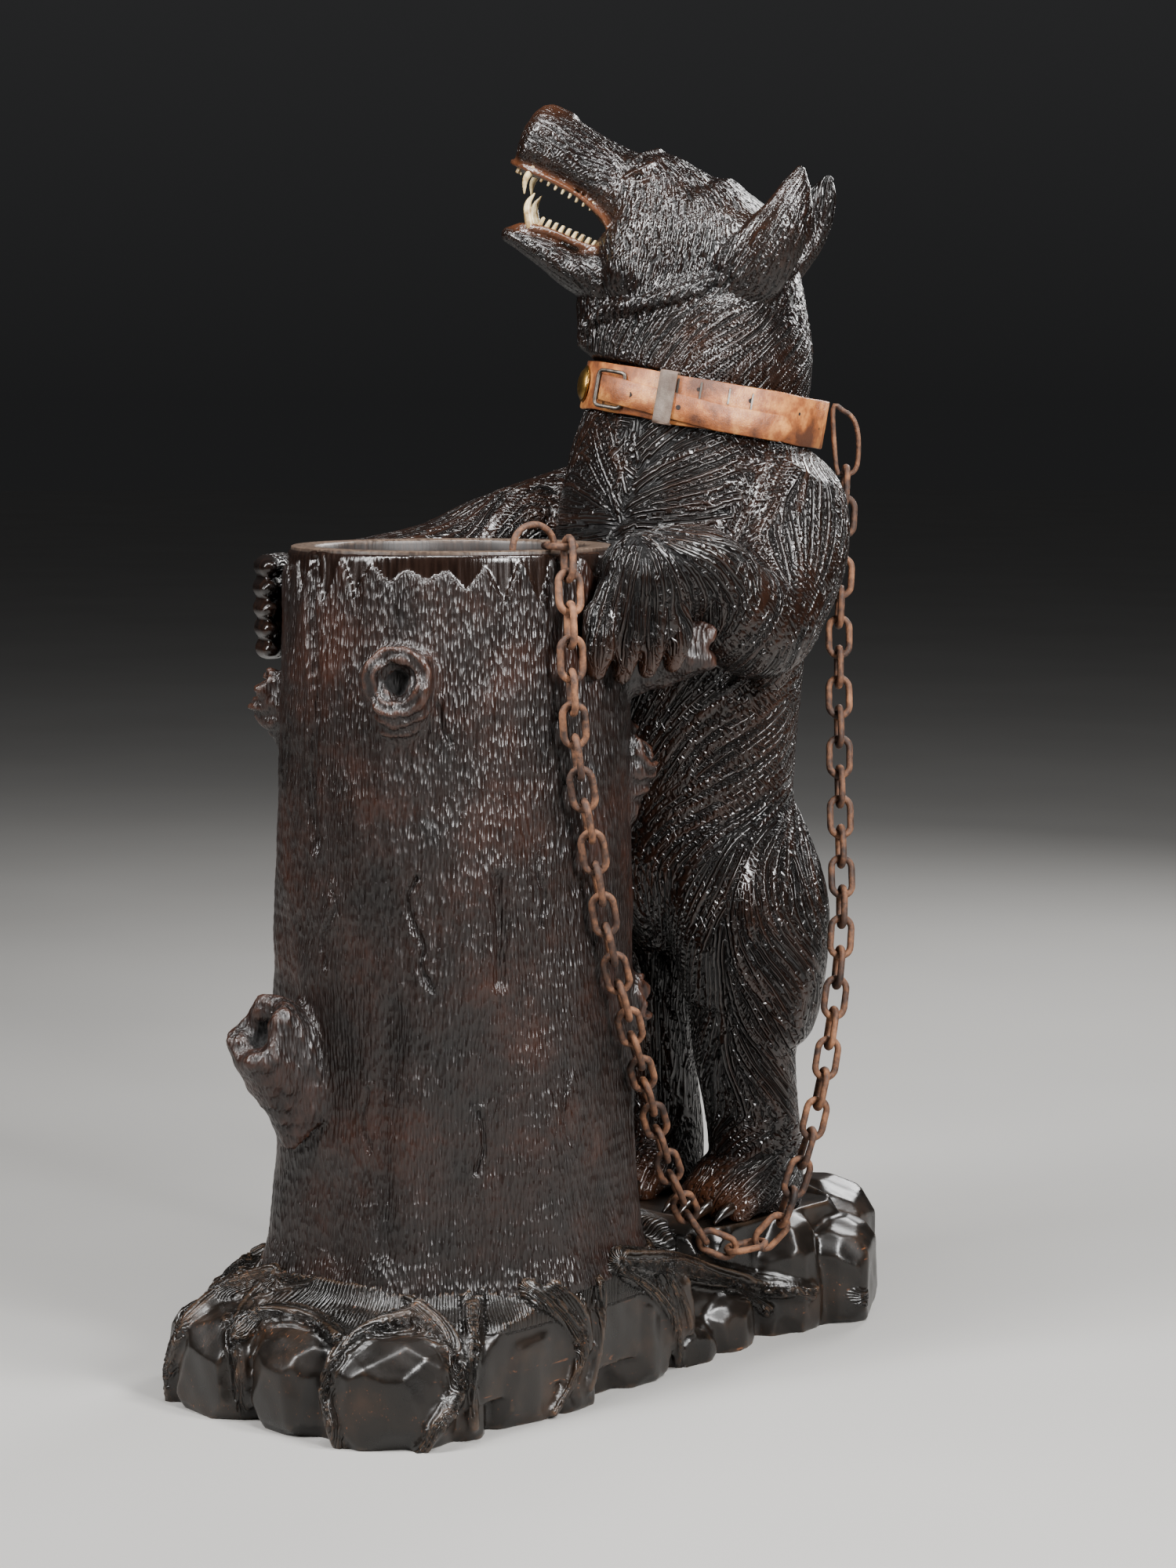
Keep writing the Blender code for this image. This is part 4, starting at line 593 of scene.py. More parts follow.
# Strokes of the hair's flow on the corner drawing, from root to tip
BODY_STROKES = (
    ((783, 648), (762, 625), (738, 603), (716, 592)), ((780, 652), (755, 645), (728, 637), (708, 628)),
    ((780, 656), (752, 660), (722, 666), (708, 668)), ((780, 662), (760, 676), (735, 684)),
    ((782, 644), (770, 610), (760, 580), (755, 550)), ((785, 642), (786, 600), (782, 560), (778, 540)),
    ((790, 642), (805, 600), (830, 568), (860, 545)), ((792, 645), (830, 612), (880, 590), (940, 565)),
    ((795, 650), (840, 628), (890, 612), (928, 594)), ((795, 654), (850, 648), (900, 640), (930, 628)),
    ((797, 660), (850, 662), (905, 660), (925, 650)), ((800, 668), (850, 676), (910, 680)),
    ((812, 690), (790, 710), (768, 760), (752, 820)), ((815, 692), (800, 730), (785, 790), (778, 850)),
    ((817, 692), (816, 740), (814, 800), (812, 860)), ((820, 690), (836, 730), (842, 790), (840, 850)),
    ((822, 690), (850, 715), (870, 750), (876, 775)), ((830, 688), (870, 694), (910, 712), (935, 740)),
    ((835, 686), (890, 690), (950, 705), (985, 740), (984, 770), (955, 812)),
    ((940, 700), (975, 720), (1000, 760), (1000, 800), (970, 850)),
    ((1035, 582), (1000, 610), (960, 650), (925, 685)), ((1020, 600), (985, 640), (955, 675)),
    ((957, 660), (968, 695), (985, 730), (996, 742)), ((985, 620), (1010, 680), (1022, 720), (1018, 760)),
    ((1024, 590), (1028, 660), (1020, 730), (1000, 790), (960, 850)),
    ((1050, 600), (1058, 660), (1048, 720), (1020, 780), (1000, 850)),
    ((1070, 630), (1078, 680), (1060, 730), (1030, 790)),
    ((1014, 865), (948, 913), (898, 941), (868, 987)), ((1020, 890), (999, 936), (950, 970), (880, 1010)),
    ((1012, 910), (990, 960), (948, 995), (900, 1018), (868, 1035)),
    ((1010, 987), (978, 1005), (944, 1028), (898, 1051), (863, 1065), (840, 1090)),
    ((1005, 1014), (980, 1035), (948, 1051), (907, 1074), (870, 1120)),
    ((1006, 1014), (976, 1051), (944, 1085), (920, 1125), (885, 1200)),
    ((1007, 1016), (996, 1055), (966, 1090), (950, 1138)), ((1010, 1018), (1000, 1080), (990, 1138)),
    ((1012, 1018), (1020, 1055), (1031, 1100), (1035, 1138)), ((1015, 1020), (1040, 1066), (1054, 1101)),
    ((946, 1080), (928, 1126), (900, 1170), (875, 1190)),
    ((944, 1100), (905, 1160), (880, 1220), (880, 1290)),
    ((928, 1126), (896, 1173), (885, 1216), (882, 1300), (887, 1310)),
    ((920, 1190), (915, 1240), (905, 1290), (880, 1340)),
    ((918, 1240), (922, 1290), (912, 1340), (895, 1370)),
    ((948, 1085), (960, 1140), (990, 1190), (1020, 1225)),
    ((925, 1140), (940, 1185), (965, 1220), (1000, 1260)),
    ((920, 1186), (932, 1235), (975, 1280), (1017, 1350)),
    ((918, 1232), (935, 1295), (982, 1350), (1023, 1400)),
    ((926, 1302), (948, 1350), (990, 1395), (1022, 1430)),
    ((930, 1340), (960, 1410), (990, 1438), (1022, 1444)),
    ((1010, 1080), (1030, 1123), (1052, 1162)), ((982, 1080), (985, 1135), (1010, 1190), (1045, 1230)),
    ((960, 1116), (975, 1190), (1010, 1223), (1032, 1260), (1025, 1290)),
    ((1017, 1444), (975, 1434), (938, 1438), (912, 1465), (885, 1500), (875, 1520)),
    ((1018, 1450), (975, 1460), (930, 1490), (903, 1520)), ((1010, 1460), (960, 1500), (930, 1530)),
    ((1010, 1472), (982, 1520), (960, 1545)),
    ((842, 1110), (850, 1180), (846, 1250)), ((835, 1300), (838, 1380), (840, 1450)),
    ((850, 1440), (830, 1460), (812, 1490)), ((700, 588), (660, 612), (630, 640), (610, 670)),
    ((640, 612), (590, 650), (560, 668), (520, 680)), ((610, 640), (560, 665), (480, 690), (400, 720)),
    ((753, 530), (742, 560), (730, 590)), ((800, 548), (790, 590), (785, 636)),
)
HEAD_STROKES = (
    ((1008, 342), (965, 418), (898, 458), (840, 500)), ((960, 385), (892, 418), (852, 461), (838, 478)),
    ((1028, 370), (1008, 418), (965, 461), (930, 500)), ((1034, 400), (1028, 448), (998, 492)),
    ((900, 400), (865, 430), (835, 480)), ((850, 415), (825, 450), (810, 490)),
    ((800, 440), (790, 470), (786, 500)),
    ((704, 150), (730, 162), (765, 175), (800, 190)), ((690, 180), (720, 205), (750, 220), (780, 225)),
    ((672, 205), (700, 222), (740, 245), (765, 262)), ((780, 200), (800, 230), (800, 260), (790, 280)),
    ((835, 200), (870, 225), (900, 260), (915, 290)), ((840, 245), (835, 290), (830, 340), (815, 380)),
    ((880, 280), (875, 320), (860, 370), (840, 400)), ((910, 250), (930, 290), (935, 320), (920, 360)),
    ((780, 290), (790, 330), (800, 370), (790, 405)), ((700, 330), (725, 345), (750, 370), (765, 400)),
    ((680, 310), (715, 320), (745, 335), (770, 350)), ((760, 380), (750, 410), (752, 440)),
    ((1000, 270), (975, 320), (950, 360)), ((1030, 230), (1010, 270), (1000, 310), (985, 360)),
    ((960, 260), (945, 300), (930, 340)), ((895, 215), (930, 248), (960, 268)),
    ((1018, 236), (988, 262)), ((1000, 262), (970, 292)), ((985, 290), (950, 324)), ((972, 316), (938, 350)),
)

# The same on the far side: the body's strokes are turned over its middle, the head's over its own
def turned_over(rows, middle, across):
    """Guide rows mirrored in a plane."""
    turned = []
    for row in rows:
        row = np.array(row)
        place = row[:3] - 2 * np.dot(row[:3] - middle, across) * across
        normal = row[3:6] - 2 * np.dot(row[3:6], across) * across
        way = row[6:9] - 2 * np.dot(row[6:9], across) * across
        turned.append((*place, *normal, *way))
    return turned


def make_body(material):
    """Torso, legs and arms in one skin, with long locks cut in it."""
    mesh = bmesh.new()
    torso(mesh)
    for side in (-1, 1):
        leg(mesh, side)
    near_arm(mesh)
    far_arm(mesh)
    data = fuse(mesh, BODY_GRAIN, 3)
    keep_faces(data, [collar_rise(np.array(face.center)[None])[0] < 0.010 for face in data.polygons])
    places, normals = places_of(data), normals_of(data)
    drawing = Drawing(data)
    guides = []
    for stroke in BODY_STROKES:
        guides += drawing.stroke(stroke)
    middle = on_bear(0, 0, 0)
    across = np.array((1.0, 0, 0))
    low = [row for row in guides if row[2] < LEDGE_HEIGHT + 0.50]
    guides += turned_over(low, middle, across)
    usual = np.tile((0.0, 0.06, -1.0), (len(places), 1))
    usual[:, 0] -= 0.35 * np.sign(places[:, 0] - BEAR_X) * (normals[:, 1] > 0.2)
    far = on_bear(-16.2, -21.8, 57.8)
    on_far_arm = np.clip(-(places[:, 0] - BEAR_X + 0.10) / 0.03, 0, 1) * (places[:, 2] > 0.64)
    usual = usual * (1 - on_far_arm[:, None]) + np.array((-0.25, -1.0, -0.15)) * on_far_arm[:, None]
    flow = hair_flow(places, normals, guides, usual)

    near_tips = [KNUCKLES + PAW_ACROSS * (finger - 1.5) * FINGER_PITCH + np.array((0, 0, -0.028))
                 for finger in range(4)]
    far_tips = [on_trunk(222, RIM_RADIUS + 0.02,
                         RIM_HEIGHT - FAR_FINGER_DROP - finger * FAR_FINGER_PITCH) for finger in range(5)]
    toes = [on_bear(toe_spot(side, toe)[0], -4.4, 1.2) for side in (-1, 1) for toe in range(4)]
    polished = np.clip(nearness(places, [(tip, 0.026) for tip in far_tips]) * 1.6, 0, 1)
    bare = np.maximum(polished, nearness(places, [(tip, 0.017) for tip in near_tips + toes]))
    short = nearness(places, [(WRIST, 0.05), (KNUCKLES, 0.05), (far, 0.01)]
                     + [(on_bear(side * HIP, -1, 2), 0.06) for side in (-1, 1)])
    length = 0.110 - 0.045 * short
    width = 0.0066 - 0.0012 * short
    rows = lay_locks(places, normals, flow, spacing=0.0170, length=length, width=width, step=0.009, seed=11)
    height, across_lock, tone = carve_locks(places, rows, 16)
    pressed = np.clip((np.abs(collar_rise(places)) - 0.016) / 0.02, 0, 1)
    relief = 0.0030 * (1 - 0.5 * short) * (1 - bare) * (0.15 + 0.85 * pressed)
    beside = (places - KNUCKLES) @ PAW_ACROSS
    drop = KNUCKLES[2] + 0.022 - places[:, 2]
    on_paw = (np.linalg.norm(places - KNUCKLES, axis=1) < 0.075) & (places[:, 0] > KNUCKLES[0] - 0.012)
    between = np.abs((beside / FINGER_PITCH + 0.5) % 1 - 0.5) * FINGER_PITCH
    slot = on_paw * np.exp(-(between / 0.0026) ** 2) * np.clip(drop / 0.02, 0, 1)
    slot = slot * (np.abs(beside) < FINGER_RADIUS * 3)
    carved = places + normals * ((height - 0.55) * relief - 0.0050 * slot)[:, None]
    move_to(data, make_room(carved))
    rubbed = nearness(places, [(on_bear(6, -4, 1), 0.03)])
    mark(data, across=across_lock * (1 + 0.35 * short), lift=height, tone=tone, hairy=1 - bare,
         worn=np.clip(bare * 0.30 + 0.35 * rubbed - polished, 0, 1))
    return stand("bear_body", data, material, ("bear",))


# Lines of the face on the corner drawing, with their half thickness and how far they stand out
FACE_LINES = {
    "upper lid": (((796, 237), (807, 232), (820, 227), (832, 220), (840, 214)), 0.0028, 0.4),
    "lower lid": (((800, 240), (811, 242), (822, 241), (831, 236)), 0.0018, 0.2),
    "crease": (((830, 230), (833, 241), (837, 253)), 0.0017, 0.4),
    "brow": (((800, 221), (816, 211), (834, 205), (852, 204), (868, 212)), 0.0044, -0.2),
    "fringe": (((744, 438), (752, 416), (776, 403), (806, 396), (840, 388), (874, 378), (906, 366),
                (930, 350)),
               0.0080, 0.0),
}
# The lips on the head: ahead, aside, up and half thickness, from the chin round the corner to the nose
LIPS = ((14.9, 0.0, -8.9, 0.34), (14.6, 1.0, -8.4, 0.36), (13.6, 2.1, -7.5, 0.38), (11.3, 2.8, -6.75, 0.38),
        (8.3, 3.3, -6.35, 0.36), (6.6, 3.7, -5.85, 0.32), (6.1, 3.9, -4.7, 0.28), (7.2, 3.75, -3.5, 0.24),
        (9.0, 3.5, -2.95, 0.24), (11.1, 3.15, -2.65, 0.24), (13.7, 2.85, -2.75, 0.26),
        (15.6, 2.4, -2.9, 0.28),
        (17.0, 1.5, -3.0, 0.28), (17.6, 0.0, -3.05, 0.28))
EYE_ON_DRAWING = (813, 237)
EYE_RADIUS = 0.0050


def face_line(drawing, points, thickness, proud):
    """Stations of a rolled edge along a drawn line of the face."""
    rows = []
    run = drawn_run(points, 5)
    for i, (x, y) in enumerate(run):
        hit = drawing.place(x, y)
        if hit is not None and (hit[0] - HEAD_MIDDLE) @ NEAR_SIDE > 0.5 * UNIT:
            thin = thickness * (0.55 + 0.45 * math.sin(math.pi * (i + 0.5) / len(run)))
            rows.append(np.array((*(hit[0] + hit[1] * thickness * proud), thin, thin)))
    return evened(rows, 3)


def mirrored_on_head(rows):
    rows = rows.copy()
    rows[:, :3] -= 2 * ((rows[:, :3] - HEAD_MIDDLE) @ NEAR_SIDE)[:, None] * NEAR_SIDE
    return rows


def make_head(material, eye_material):
    mesh = bmesh.new()
    loft(mesh, NECK, (1, 0, 0), sides=56, roundness=0.6)
    skull(mesh)
    lower_jaw(mesh)
    draft = bpy.data.meshes.new("draft")
    mesh.to_mesh(draft)
    drawing = Drawing(draft)
    lines = {}
    for name, (points, thickness, proud) in FACE_LINES.items():
        near_side = face_line(drawing, points, thickness, proud)
        lines[name] = (near_side, mirrored_on_head(near_side))
        for rows in lines[name]:
            loft(mesh, rows, (0.2, 0.2, 1), sides=14, step=0.003)
    lip = np.array([(*on_head(*row[:3]), row[3] * UNIT, row[3] * UNIT) for row in LIPS])
    lines["lips"] = (lip, mirrored_on_head(lip))
    for rows in lines["lips"]:
        loft(mesh, rows, (0.2, 0.2, 1), sides=14, step=0.003)
    lines["lips"] = tuple(smooth_run(rows, 0.002) for rows in lines["lips"])
    spot, out = drawing.place(*EYE_ON_DRAWING)
    eyes = np.array(((*(spot - out * EYE_RADIUS * 0.55), 0, 0),))
    eyes = (eyes[0, :3], mirrored_on_head(eyes)[0, :3])
    bpy.data.meshes.remove(draft)
    ears(mesh)
    data = fuse(mesh, HEAD_GRAIN, 2)
    keep_faces(data, [collar_rise(np.array(face.center)[None])[0] > -0.010 for face in data.polygons])
    places, normals = places_of(data), normals_of(data)
    drawing = Drawing(data)
    guides = []
    for stroke in HEAD_STROKES:
        guides += drawing.stroke(stroke, 6)
    guides += turned_over(guides, HEAD_MIDDLE, NEAR_SIDE)
    usual = np.tile(-0.6 * FORWARD - 0.8 * np.array(UP), (len(places), 1))
    flow = hair_flow(places, normals, guides, usual)
    ahead = (places - HEAD_MIDDLE) @ FORWARD / UNIT
    height_on_head = (places - HEAD_MIDDLE) @ HEAD_UP / UNIT
    behind_jaw = np.clip((-(height_on_head + 0.75 * np.clip(ahead, -9, 9)) - 8.5) / 2.0, 0, 1)
    on_neck = np.clip(behind_jaw + (ahead < -7.5) * (height_on_head < -4), 0, 1)
    on_ear = np.clip((height_on_head - 1.5) / 1.5, 0, 1) * (ahead < -2.5)
    on_neck *= 1 - on_ear
    length = 0.010 + 0.060 * on_neck + 0.012 * on_ear
    width = 0.0022 + 0.0030 * on_neck
    fine = lay_locks(places, normals, flow, spacing=0.0062, length=length, width=width, step=0.0035, seed=7)
    height, across_lock, tone = carve_locks(places, fine, 16)
    nose = nearness(places, [(on_head(17.4, 0, 1.9), 0.020)])
    inner = np.clip((3.4 - np.abs((places - HEAD_MIDDLE) @ NEAR_SIDE) / UNIT) / 0.8, 0, 1)
    inside_mouth = np.clip(1 - np.abs(height_on_head + 5.0) / 2.4, 0, 1) * (ahead > 5) * inner
    rolled = nearness(places, [(row[:3], 0.0052) for rows in lines["lips"] for row in rows[::2]])
    lids = nearness(places, [(row[:3], 0.0040) for name in ("upper lid", "lower lid")
                             for rows in lines[name] for row in rows[::2]])
    socket = nearness(places, [(eye, EYE_RADIUS * 0.95) for eye in eyes])
    fringe = nearness(places, [(row[:3], 0.012) for rows in lines["fringe"] for row in rows[::2]])
    smooth_parts = np.clip(nose + inside_mouth * 1.5 + rolled + lids + socket, 0, 1)
    pressed = np.clip((np.abs(collar_rise(places)) - 0.016) / 0.02, 0, 1)
    relief = (0.0007 + 0.0035 * on_neck + 0.0031 * fringe) * (1 - smooth_parts) * (0.15 + 0.85 * pressed)
    carved = places + normals * ((height - 0.55) * relief - 0.0022 * socket * (1 - lids))[:, None]
    move_to(data, make_room(carved))
    mark(data, across=across_lock, lift=height, tone=tone,
         hairy=(1 - smooth_parts) * (0.30 + 0.70 * on_neck),
         worn=np.clip(nose * 0.55 + rolled * 0.8 + lids * 0.08 + inside_mouth * 0.30, 0, 1))
    stand("bear_head", data, material, ("bear",))
    balls = bmesh.new()
    for eye in eyes:
        ball = bmesh.ops.create_icosphere(balls, subdivisions=4, radius=EYE_RADIUS)
        bmesh.ops.translate(balls, verts=ball["verts"], vec=eye)
    return stand_mesh("bear_eyes", balls, eye_material, ("bear",))


def make_teeth(material):
    """Canines and two rows of small teeth, carved in bone and let into the jaws."""
    mesh = bmesh.new()

    def tooth(*rows):
        head_loft(mesh, rows, sides=12, step=0.003)

    for side in (-1, 1):
        tooth((15.4, side * 2.3, -2.6, 0.34, 0.34), (15.5, side * 2.4, -3.8, 0.27, 0.27),
              (15.0, side * 2.4, -4.9, 0.07, 0.07))
        tooth((13.1, side * 2.3, -7.2, 0.42, 0.42), (14.2, side * 2.35, -5.7, 0.32, 0.32),
              (14.2, side * 2.3, -4.5, 0.07, 0.07))
        for i in range(9):
            share = i / 8
            wide = 0.17 + 0.04 * (i % 2)
            ahead, aside = 14.2 - 5.9 * share, 2.55 + 0.75 * share
            tooth((ahead, side * aside, -2.6, wide, 0.20), (ahead, side * aside, -3.25, wide * 0.7, 0.10))
            wide = 0.26 + 0.05 * (i % 2)
            ahead, aside = 12.4 - 5.2 * share, 2.35 + 0.95 * share
            gum = -6.75 + 0.55 * share
            tooth((ahead, side * aside, gum, wide, 0.24),
                  (ahead, side * aside, gum + 0.75, wide * 0.85, 0.16))
    for i in range(5):
        aside = (i - 2) * 0.5
        back = abs(aside) * 0.3
        tooth((16.9 - back, aside, -3.0, 0.15, 0.15), (16.9 - back, aside, -3.65, 0.11, 0.09))
        tooth((14.4 - back, aside, -8.3, 0.17, 0.17), (14.4 - back, aside, -7.6, 0.12, 0.10))
    return stand_mesh("bear_teeth", mesh, material, ("bear",))


def make_claws(material):
    mesh = bmesh.new()
    for side in (-1, 1):
        claws(mesh, side)
    return stand_mesh("bear_claws", mesh, material, ("bear",))


# The trunk

def trunk_radius(height, turn):
    """The bark's outer surface: a barrel that flares into buttresses at its foot."""
    barrel = np.interp(height, TRUNK_LEVELS, TRUNK_RADII)
    low = np.clip(1 - (height - JOINT_HEIGHT) / 0.30, 0, 1)
    buttress = 0.006 * low ** 1.5 * np.cos(7 * turn + 1.1)
    waves = 0.0022 * np.sin(3 * turn + 9 * height) + 0.0016 * np.sin(8 * turn - 14 * height)
    return barrel + buttress + waves * np.clip((RIM_HEIGHT - height) / 0.1, 0, 1)


def zigzag_height(turn):
    """The ragged edge where the bark stops below the peeled band at the rim."""
    count = 56
    step = np.arange(count + 1)
    tongue = 0.004 + 0.013 * np.abs(np.sin(2.9 * (step % count) + 0.7)) ** 1.5
    notch = 0.024 + 0.024 * np.abs(np.sin(1.3 * (step % count) + 0.3)) ** 2
    edge = RIM_HEIGHT - np.where(step % 2, tongue, notch)
    return np.interp((turn / math.tau * count) % count, step, edge)


# Branch stubs: turn round the trunk, height, length beyond the bark, radius, tilt up, aim
STUBS = ((-60, 0.632, 0.016, 1.25, 5, -55), (-137, 0.600, 0.022, 0.75, 25, -137),
         (-103, 0.292, 0.056, 1.45, 32, -95),
         (36, 0.655, 0.074, 1.0, 0, 45), (46, 0.548, 0.016, 0.95, 30, 42), (47, 0.335, 0.012, 0.9, 10, 40))


def stub_frame(turn, height, _, share, tilt, aim):
    """Where a stub starts inside the bark, the ways it points, and its radius."""
    turn, tilt, aim = (math.radians(a) for a in (turn, tilt, aim))
    bark = trunk_radius(height, turn) - 0.016
    start = np.array((bark * math.cos(turn), TRUNK_Y + bark * math.sin(turn), height))
    way = np.array((math.cos(aim) * math.cos(tilt), math.sin(aim) * math.cos(tilt), math.sin(tilt)))
    side = np.cross(way, UP)
    side /= np.linalg.norm(side)
    return start, way, side, np.cross(side, way), KNOT_RADIUS * share


def stub(mesh, number):
    """A broken branch: a swollen collar that runs down the bark, a rough end and a hollow in it."""
    length = STUBS[number][2]
    start, way, side, top, radius = stub_frame(*STUBS[number])
    long = length + 0.016
    profile = ((0.0, 1.30, -0.014), (0.3 * long, 1.10, -0.007), (0.6 * long, 1.0, -0.003),
               (0.9 * long, 0.93, 0),
               (long, 0.83, 0), (long + 0.001, 0.70, 0), (long - 0.002, 0.52, 0), (long - 0.005, 0.38, 0),
               (long - 0.018, 0.27, 0))
    rings = []
    for along, wide, drop in profile:
        ring = []
        for i in range(28):
            a = math.tau * i / 28
            lump = 1 + 0.07 * math.sin(3 * a + number) + 0.05 * math.sin(5 * a + 2 * number + along * 60)
            ragged = 0.004 * math.sin(4 * a + number * 1.7) * (along > 0.85 * long) * min(1, length / 0.02)
            reach = radius * wide * lump
            pointed = 1.12 + 0.25 * max(0, -math.sin(a)) ** 3 * (along < 0.7 * long)
            ring.append(start + way * (along + ragged) + np.array((0, 0, drop))
                        + side * reach * math.cos(a) + top * reach * math.sin(a) * pointed)
        rings.append(ring)
    closed_rings(mesh, rings)


# Cracks and grooves in the bark on the corner drawing: line, half width, depth
BARK_CUTS = (
    (((405, 715), (403, 800), (408, 880), (404, 950), (402, 1020), (406, 1080)), 0.0048, 0.0045),
    (((424, 1130), (430, 1155), (418, 1180), (412, 1200), (418, 1235)), 0.0022, 0.0030),
    (((532, 1118), (520, 1145), (528, 1180), (540, 1205), (536, 1232), (552, 1262)), 0.0024, 0.0034),
    (((634, 1120), (636, 1160), (637, 1210), (638, 1254)), 0.0052, 0.0042),
    (((690, 1080), (684, 1110), (694, 1140), (688, 1180)), 0.0022, 0.0028),
    (((470, 1390), (462, 1430), (472, 1470)), 0.0022, 0.0026),
    (((610, 1420), (616, 1460), (604, 1500)), 0.0022, 0.0026),
    (((722, 1380), (716, 1420), (728, 1460)), 0.0022, 0.0026),
    (((560, 900), (566, 930), (578, 950)), 0.0022, 0.0022),
    (((500, 1290), (493, 1400), (488, 1500), (484, 1600)), 0.010, 0.0030),
)


def make_bark(material):
    """The trunk's outside: gouged bark with a ragged edge, peeled at the rim, and its knots and stubs."""
    mesh = bmesh.new()
    sides, rings = 160, []
    turns = around(sides)
    for height in np.concatenate((np.linspace(JOINT_HEIGHT + GAP, RIM_HEIGHT - 0.004, 60), (RIM_HEIGHT,))):
        out = trunk_radius(height, turns) - (0.003 if height == RIM_HEIGHT else 0)
        rings.append([(r * math.cos(a), TRUNK_Y + r * math.sin(a), height) for r, a in zip(out, turns)])
    closed_rings(mesh, rings)
    for number in range(len(STUBS)):
        stub(mesh, number)
    data = fuse(mesh, BARK_GRAIN, 2)
    centres = np.array([face.center for face in data.polygons])
    out = np.linalg.norm(centres[:, :2] - np.array((0, TRUNK_Y)), axis=1)
    at_an_end = (centres[:, 2] > RIM_HEIGHT - 0.003) | (centres[:, 2] < JOINT_HEIGHT + 0.004)
    keep_faces(data, ~(at_an_end & (out < RIM_RADIUS - 0.004)))
    places, normals = places_of(data), normals_of(data)
    turn = np.arctan2(places[:, 1] - TRUNK_Y, places[:, 0])
    out = np.linalg.norm(places[:, :2] - np.array((0, TRUNK_Y)), axis=1)
    height = places[:, 2]
    proud = np.clip((out - trunk_radius(height, turn) - 0.0015) / 0.004, 0, 1)
    over_edge = height - zigzag_height(turn)
    peeled = np.clip(over_edge / 0.0015 + 0.5, 0, 1) * (1 - proud)
    tall_enough = np.clip((RIM_HEIGHT - height) / 0.003, 0, 1)
    ledge = np.exp(-(over_edge / 0.004) ** 2) * (over_edge < 0) * tall_enough
    dent = -PEELED_DEPTH * peeled + 0.0008 * ledge * (1 - proud)
    barky = (1 - peeled) * (1 - proud)
    dent += barky * (0.0011 * wobble(places * np.array((1, 1, 0.6)), 0.045, 1)
                     + 0.00016 * np.sin(math.tau * (height + 0.012 * wobble(places, 0.07, 2)) / BARK_ROW)
                     + 0.0006 * wobble(places * np.array((1, 1, 0.3)), 0.011, 4))
    dent += proud * 0.0009 * wobble(places, 0.012, 3)
    drawing = Drawing(data)
    cut = np.zeros(len(places))
    for line, half, depth in BARK_CUTS:
        rows = np.array(drawing.stroke(line, 3))
        near = np.sqrt(((places[:, None, :] - rows[None, :, :3]) ** 2).sum(-1).min(axis=1))
        groove = np.exp(-(near / half) ** 2)
        dent -= depth * groove - 0.35 * depth * np.exp(-((near - 2.2 * half) / half) ** 2)
        cut = np.maximum(cut, groove)
    hollow = np.zeros(len(places))
    folds = np.zeros(len(places))
    for row in STUBS:
        start, way, _, _, radius = stub_frame(*row)
        apart = places - (start + way * (row[2] + 0.012))
        axial = apart @ way
        radial = np.sqrt(np.maximum(0, (apart ** 2).sum(1) - axial ** 2))
        hollow = np.maximum(hollow, (radial < radius * 0.36) * (np.abs(axial) < 0.02) * (axial < 0.002))
        lipped = (radial < radius * 1.8) * (np.abs(axial) < 0.06)
        wavy = radial + 0.0018 * wobble(places, 0.020, 6)
        deep = 1.0 if row[2] < 0.03 else 0.25
        folds = np.where(lipped, deep * np.sin(math.tau * wavy / 0.0085), folds)
    dent += proud * 0.0016 * folds
    move_to(data, places + normals * dent[:, None])
    mark(data, peeled=peeled, proud=proud, cut=cut, hollow=hollow)
    stand("trunk_bark", data, material, ("trunk",))


def make_well(material):
    """The rim's worn top and the chiselled wall and floor of the well."""
    mesh = bmesh.new()
    top = trunk_radius(RIM_HEIGHT, 0) - PEELED_DEPTH * 0.6
    inner = RIM_RADIUS - TRUNK_WALL
    profile = ((RIM_HEIGHT - 0.006, top - 0.0028), (RIM_HEIGHT - 0.0005, top - 0.0034),
               (RIM_HEIGHT + 0.0002, top - 0.005), (RIM_HEIGHT + 0.0004, 0.5 * (top + inner)),
               (RIM_HEIGHT, inner + 0.002), (RIM_HEIGHT - 0.002, inner + 0.0004), (RIM_HEIGHT - 0.010, inner),
               (0.6, inner * 0.997), (0.45, inner * 0.993), (0.3, inner * 0.988),
               (WELL_FLOOR + 0.004, inner * 0.98), (WELL_FLOOR + 0.0005, inner * 0.965))
    sides = 128
    verts = []
    for height, out in profile:
        chisel = 0.0007 if height < RIM_HEIGHT - 0.009 else 0.0
        ring = []
        for i in range(sides):
            a = math.tau * i / sides
            reach = out + chisel * math.sin(i * 5.5 + height * 40)
            ring.append(mesh.verts.new((reach * math.cos(a), TRUNK_Y + reach * math.sin(a), height)))
        verts.append(ring)
    for ring, following in zip(verts, verts[1:]):
        for i in range(sides):
            j = (i + 1) % sides
            mesh.faces.new((ring[i], following[i], following[j], ring[j]))
    centre = mesh.verts.new((0, TRUNK_Y, WELL_FLOOR + 0.0005))
    for i in range(sides):
        mesh.faces.new((verts[-1][i], centre, verts[-1][(i + 1) % sides]))
    data = data_of("trunk_well", mesh)
    data.shade_smooth()
    data.set_sharp_from_angle(angle=math.radians(50))
    stand("trunk_well", data, material, ("trunk",), smooth=False)


# The plinth

def plan_half_width(y):
    ends = np.array((-1.0, -0.97, -0.88, -0.70, -0.35, 0.0, 0.35, 0.60, 0.72, 0.88, 0.96, 1.0))
    widths = np.array((0.52, 0.75, 0.92, 1.0, 0.99, 0.90, 0.80, 0.78, 0.88, 0.82, 0.60, 0.30))
    return BASE_WIDTH / 2 * np.interp(2 * y / BASE_LENGTH, ends, widths)


MOUND_EDGE, MOUND_SHOULDER, MOUND_BACK = 0.030, 0.062, 0.016


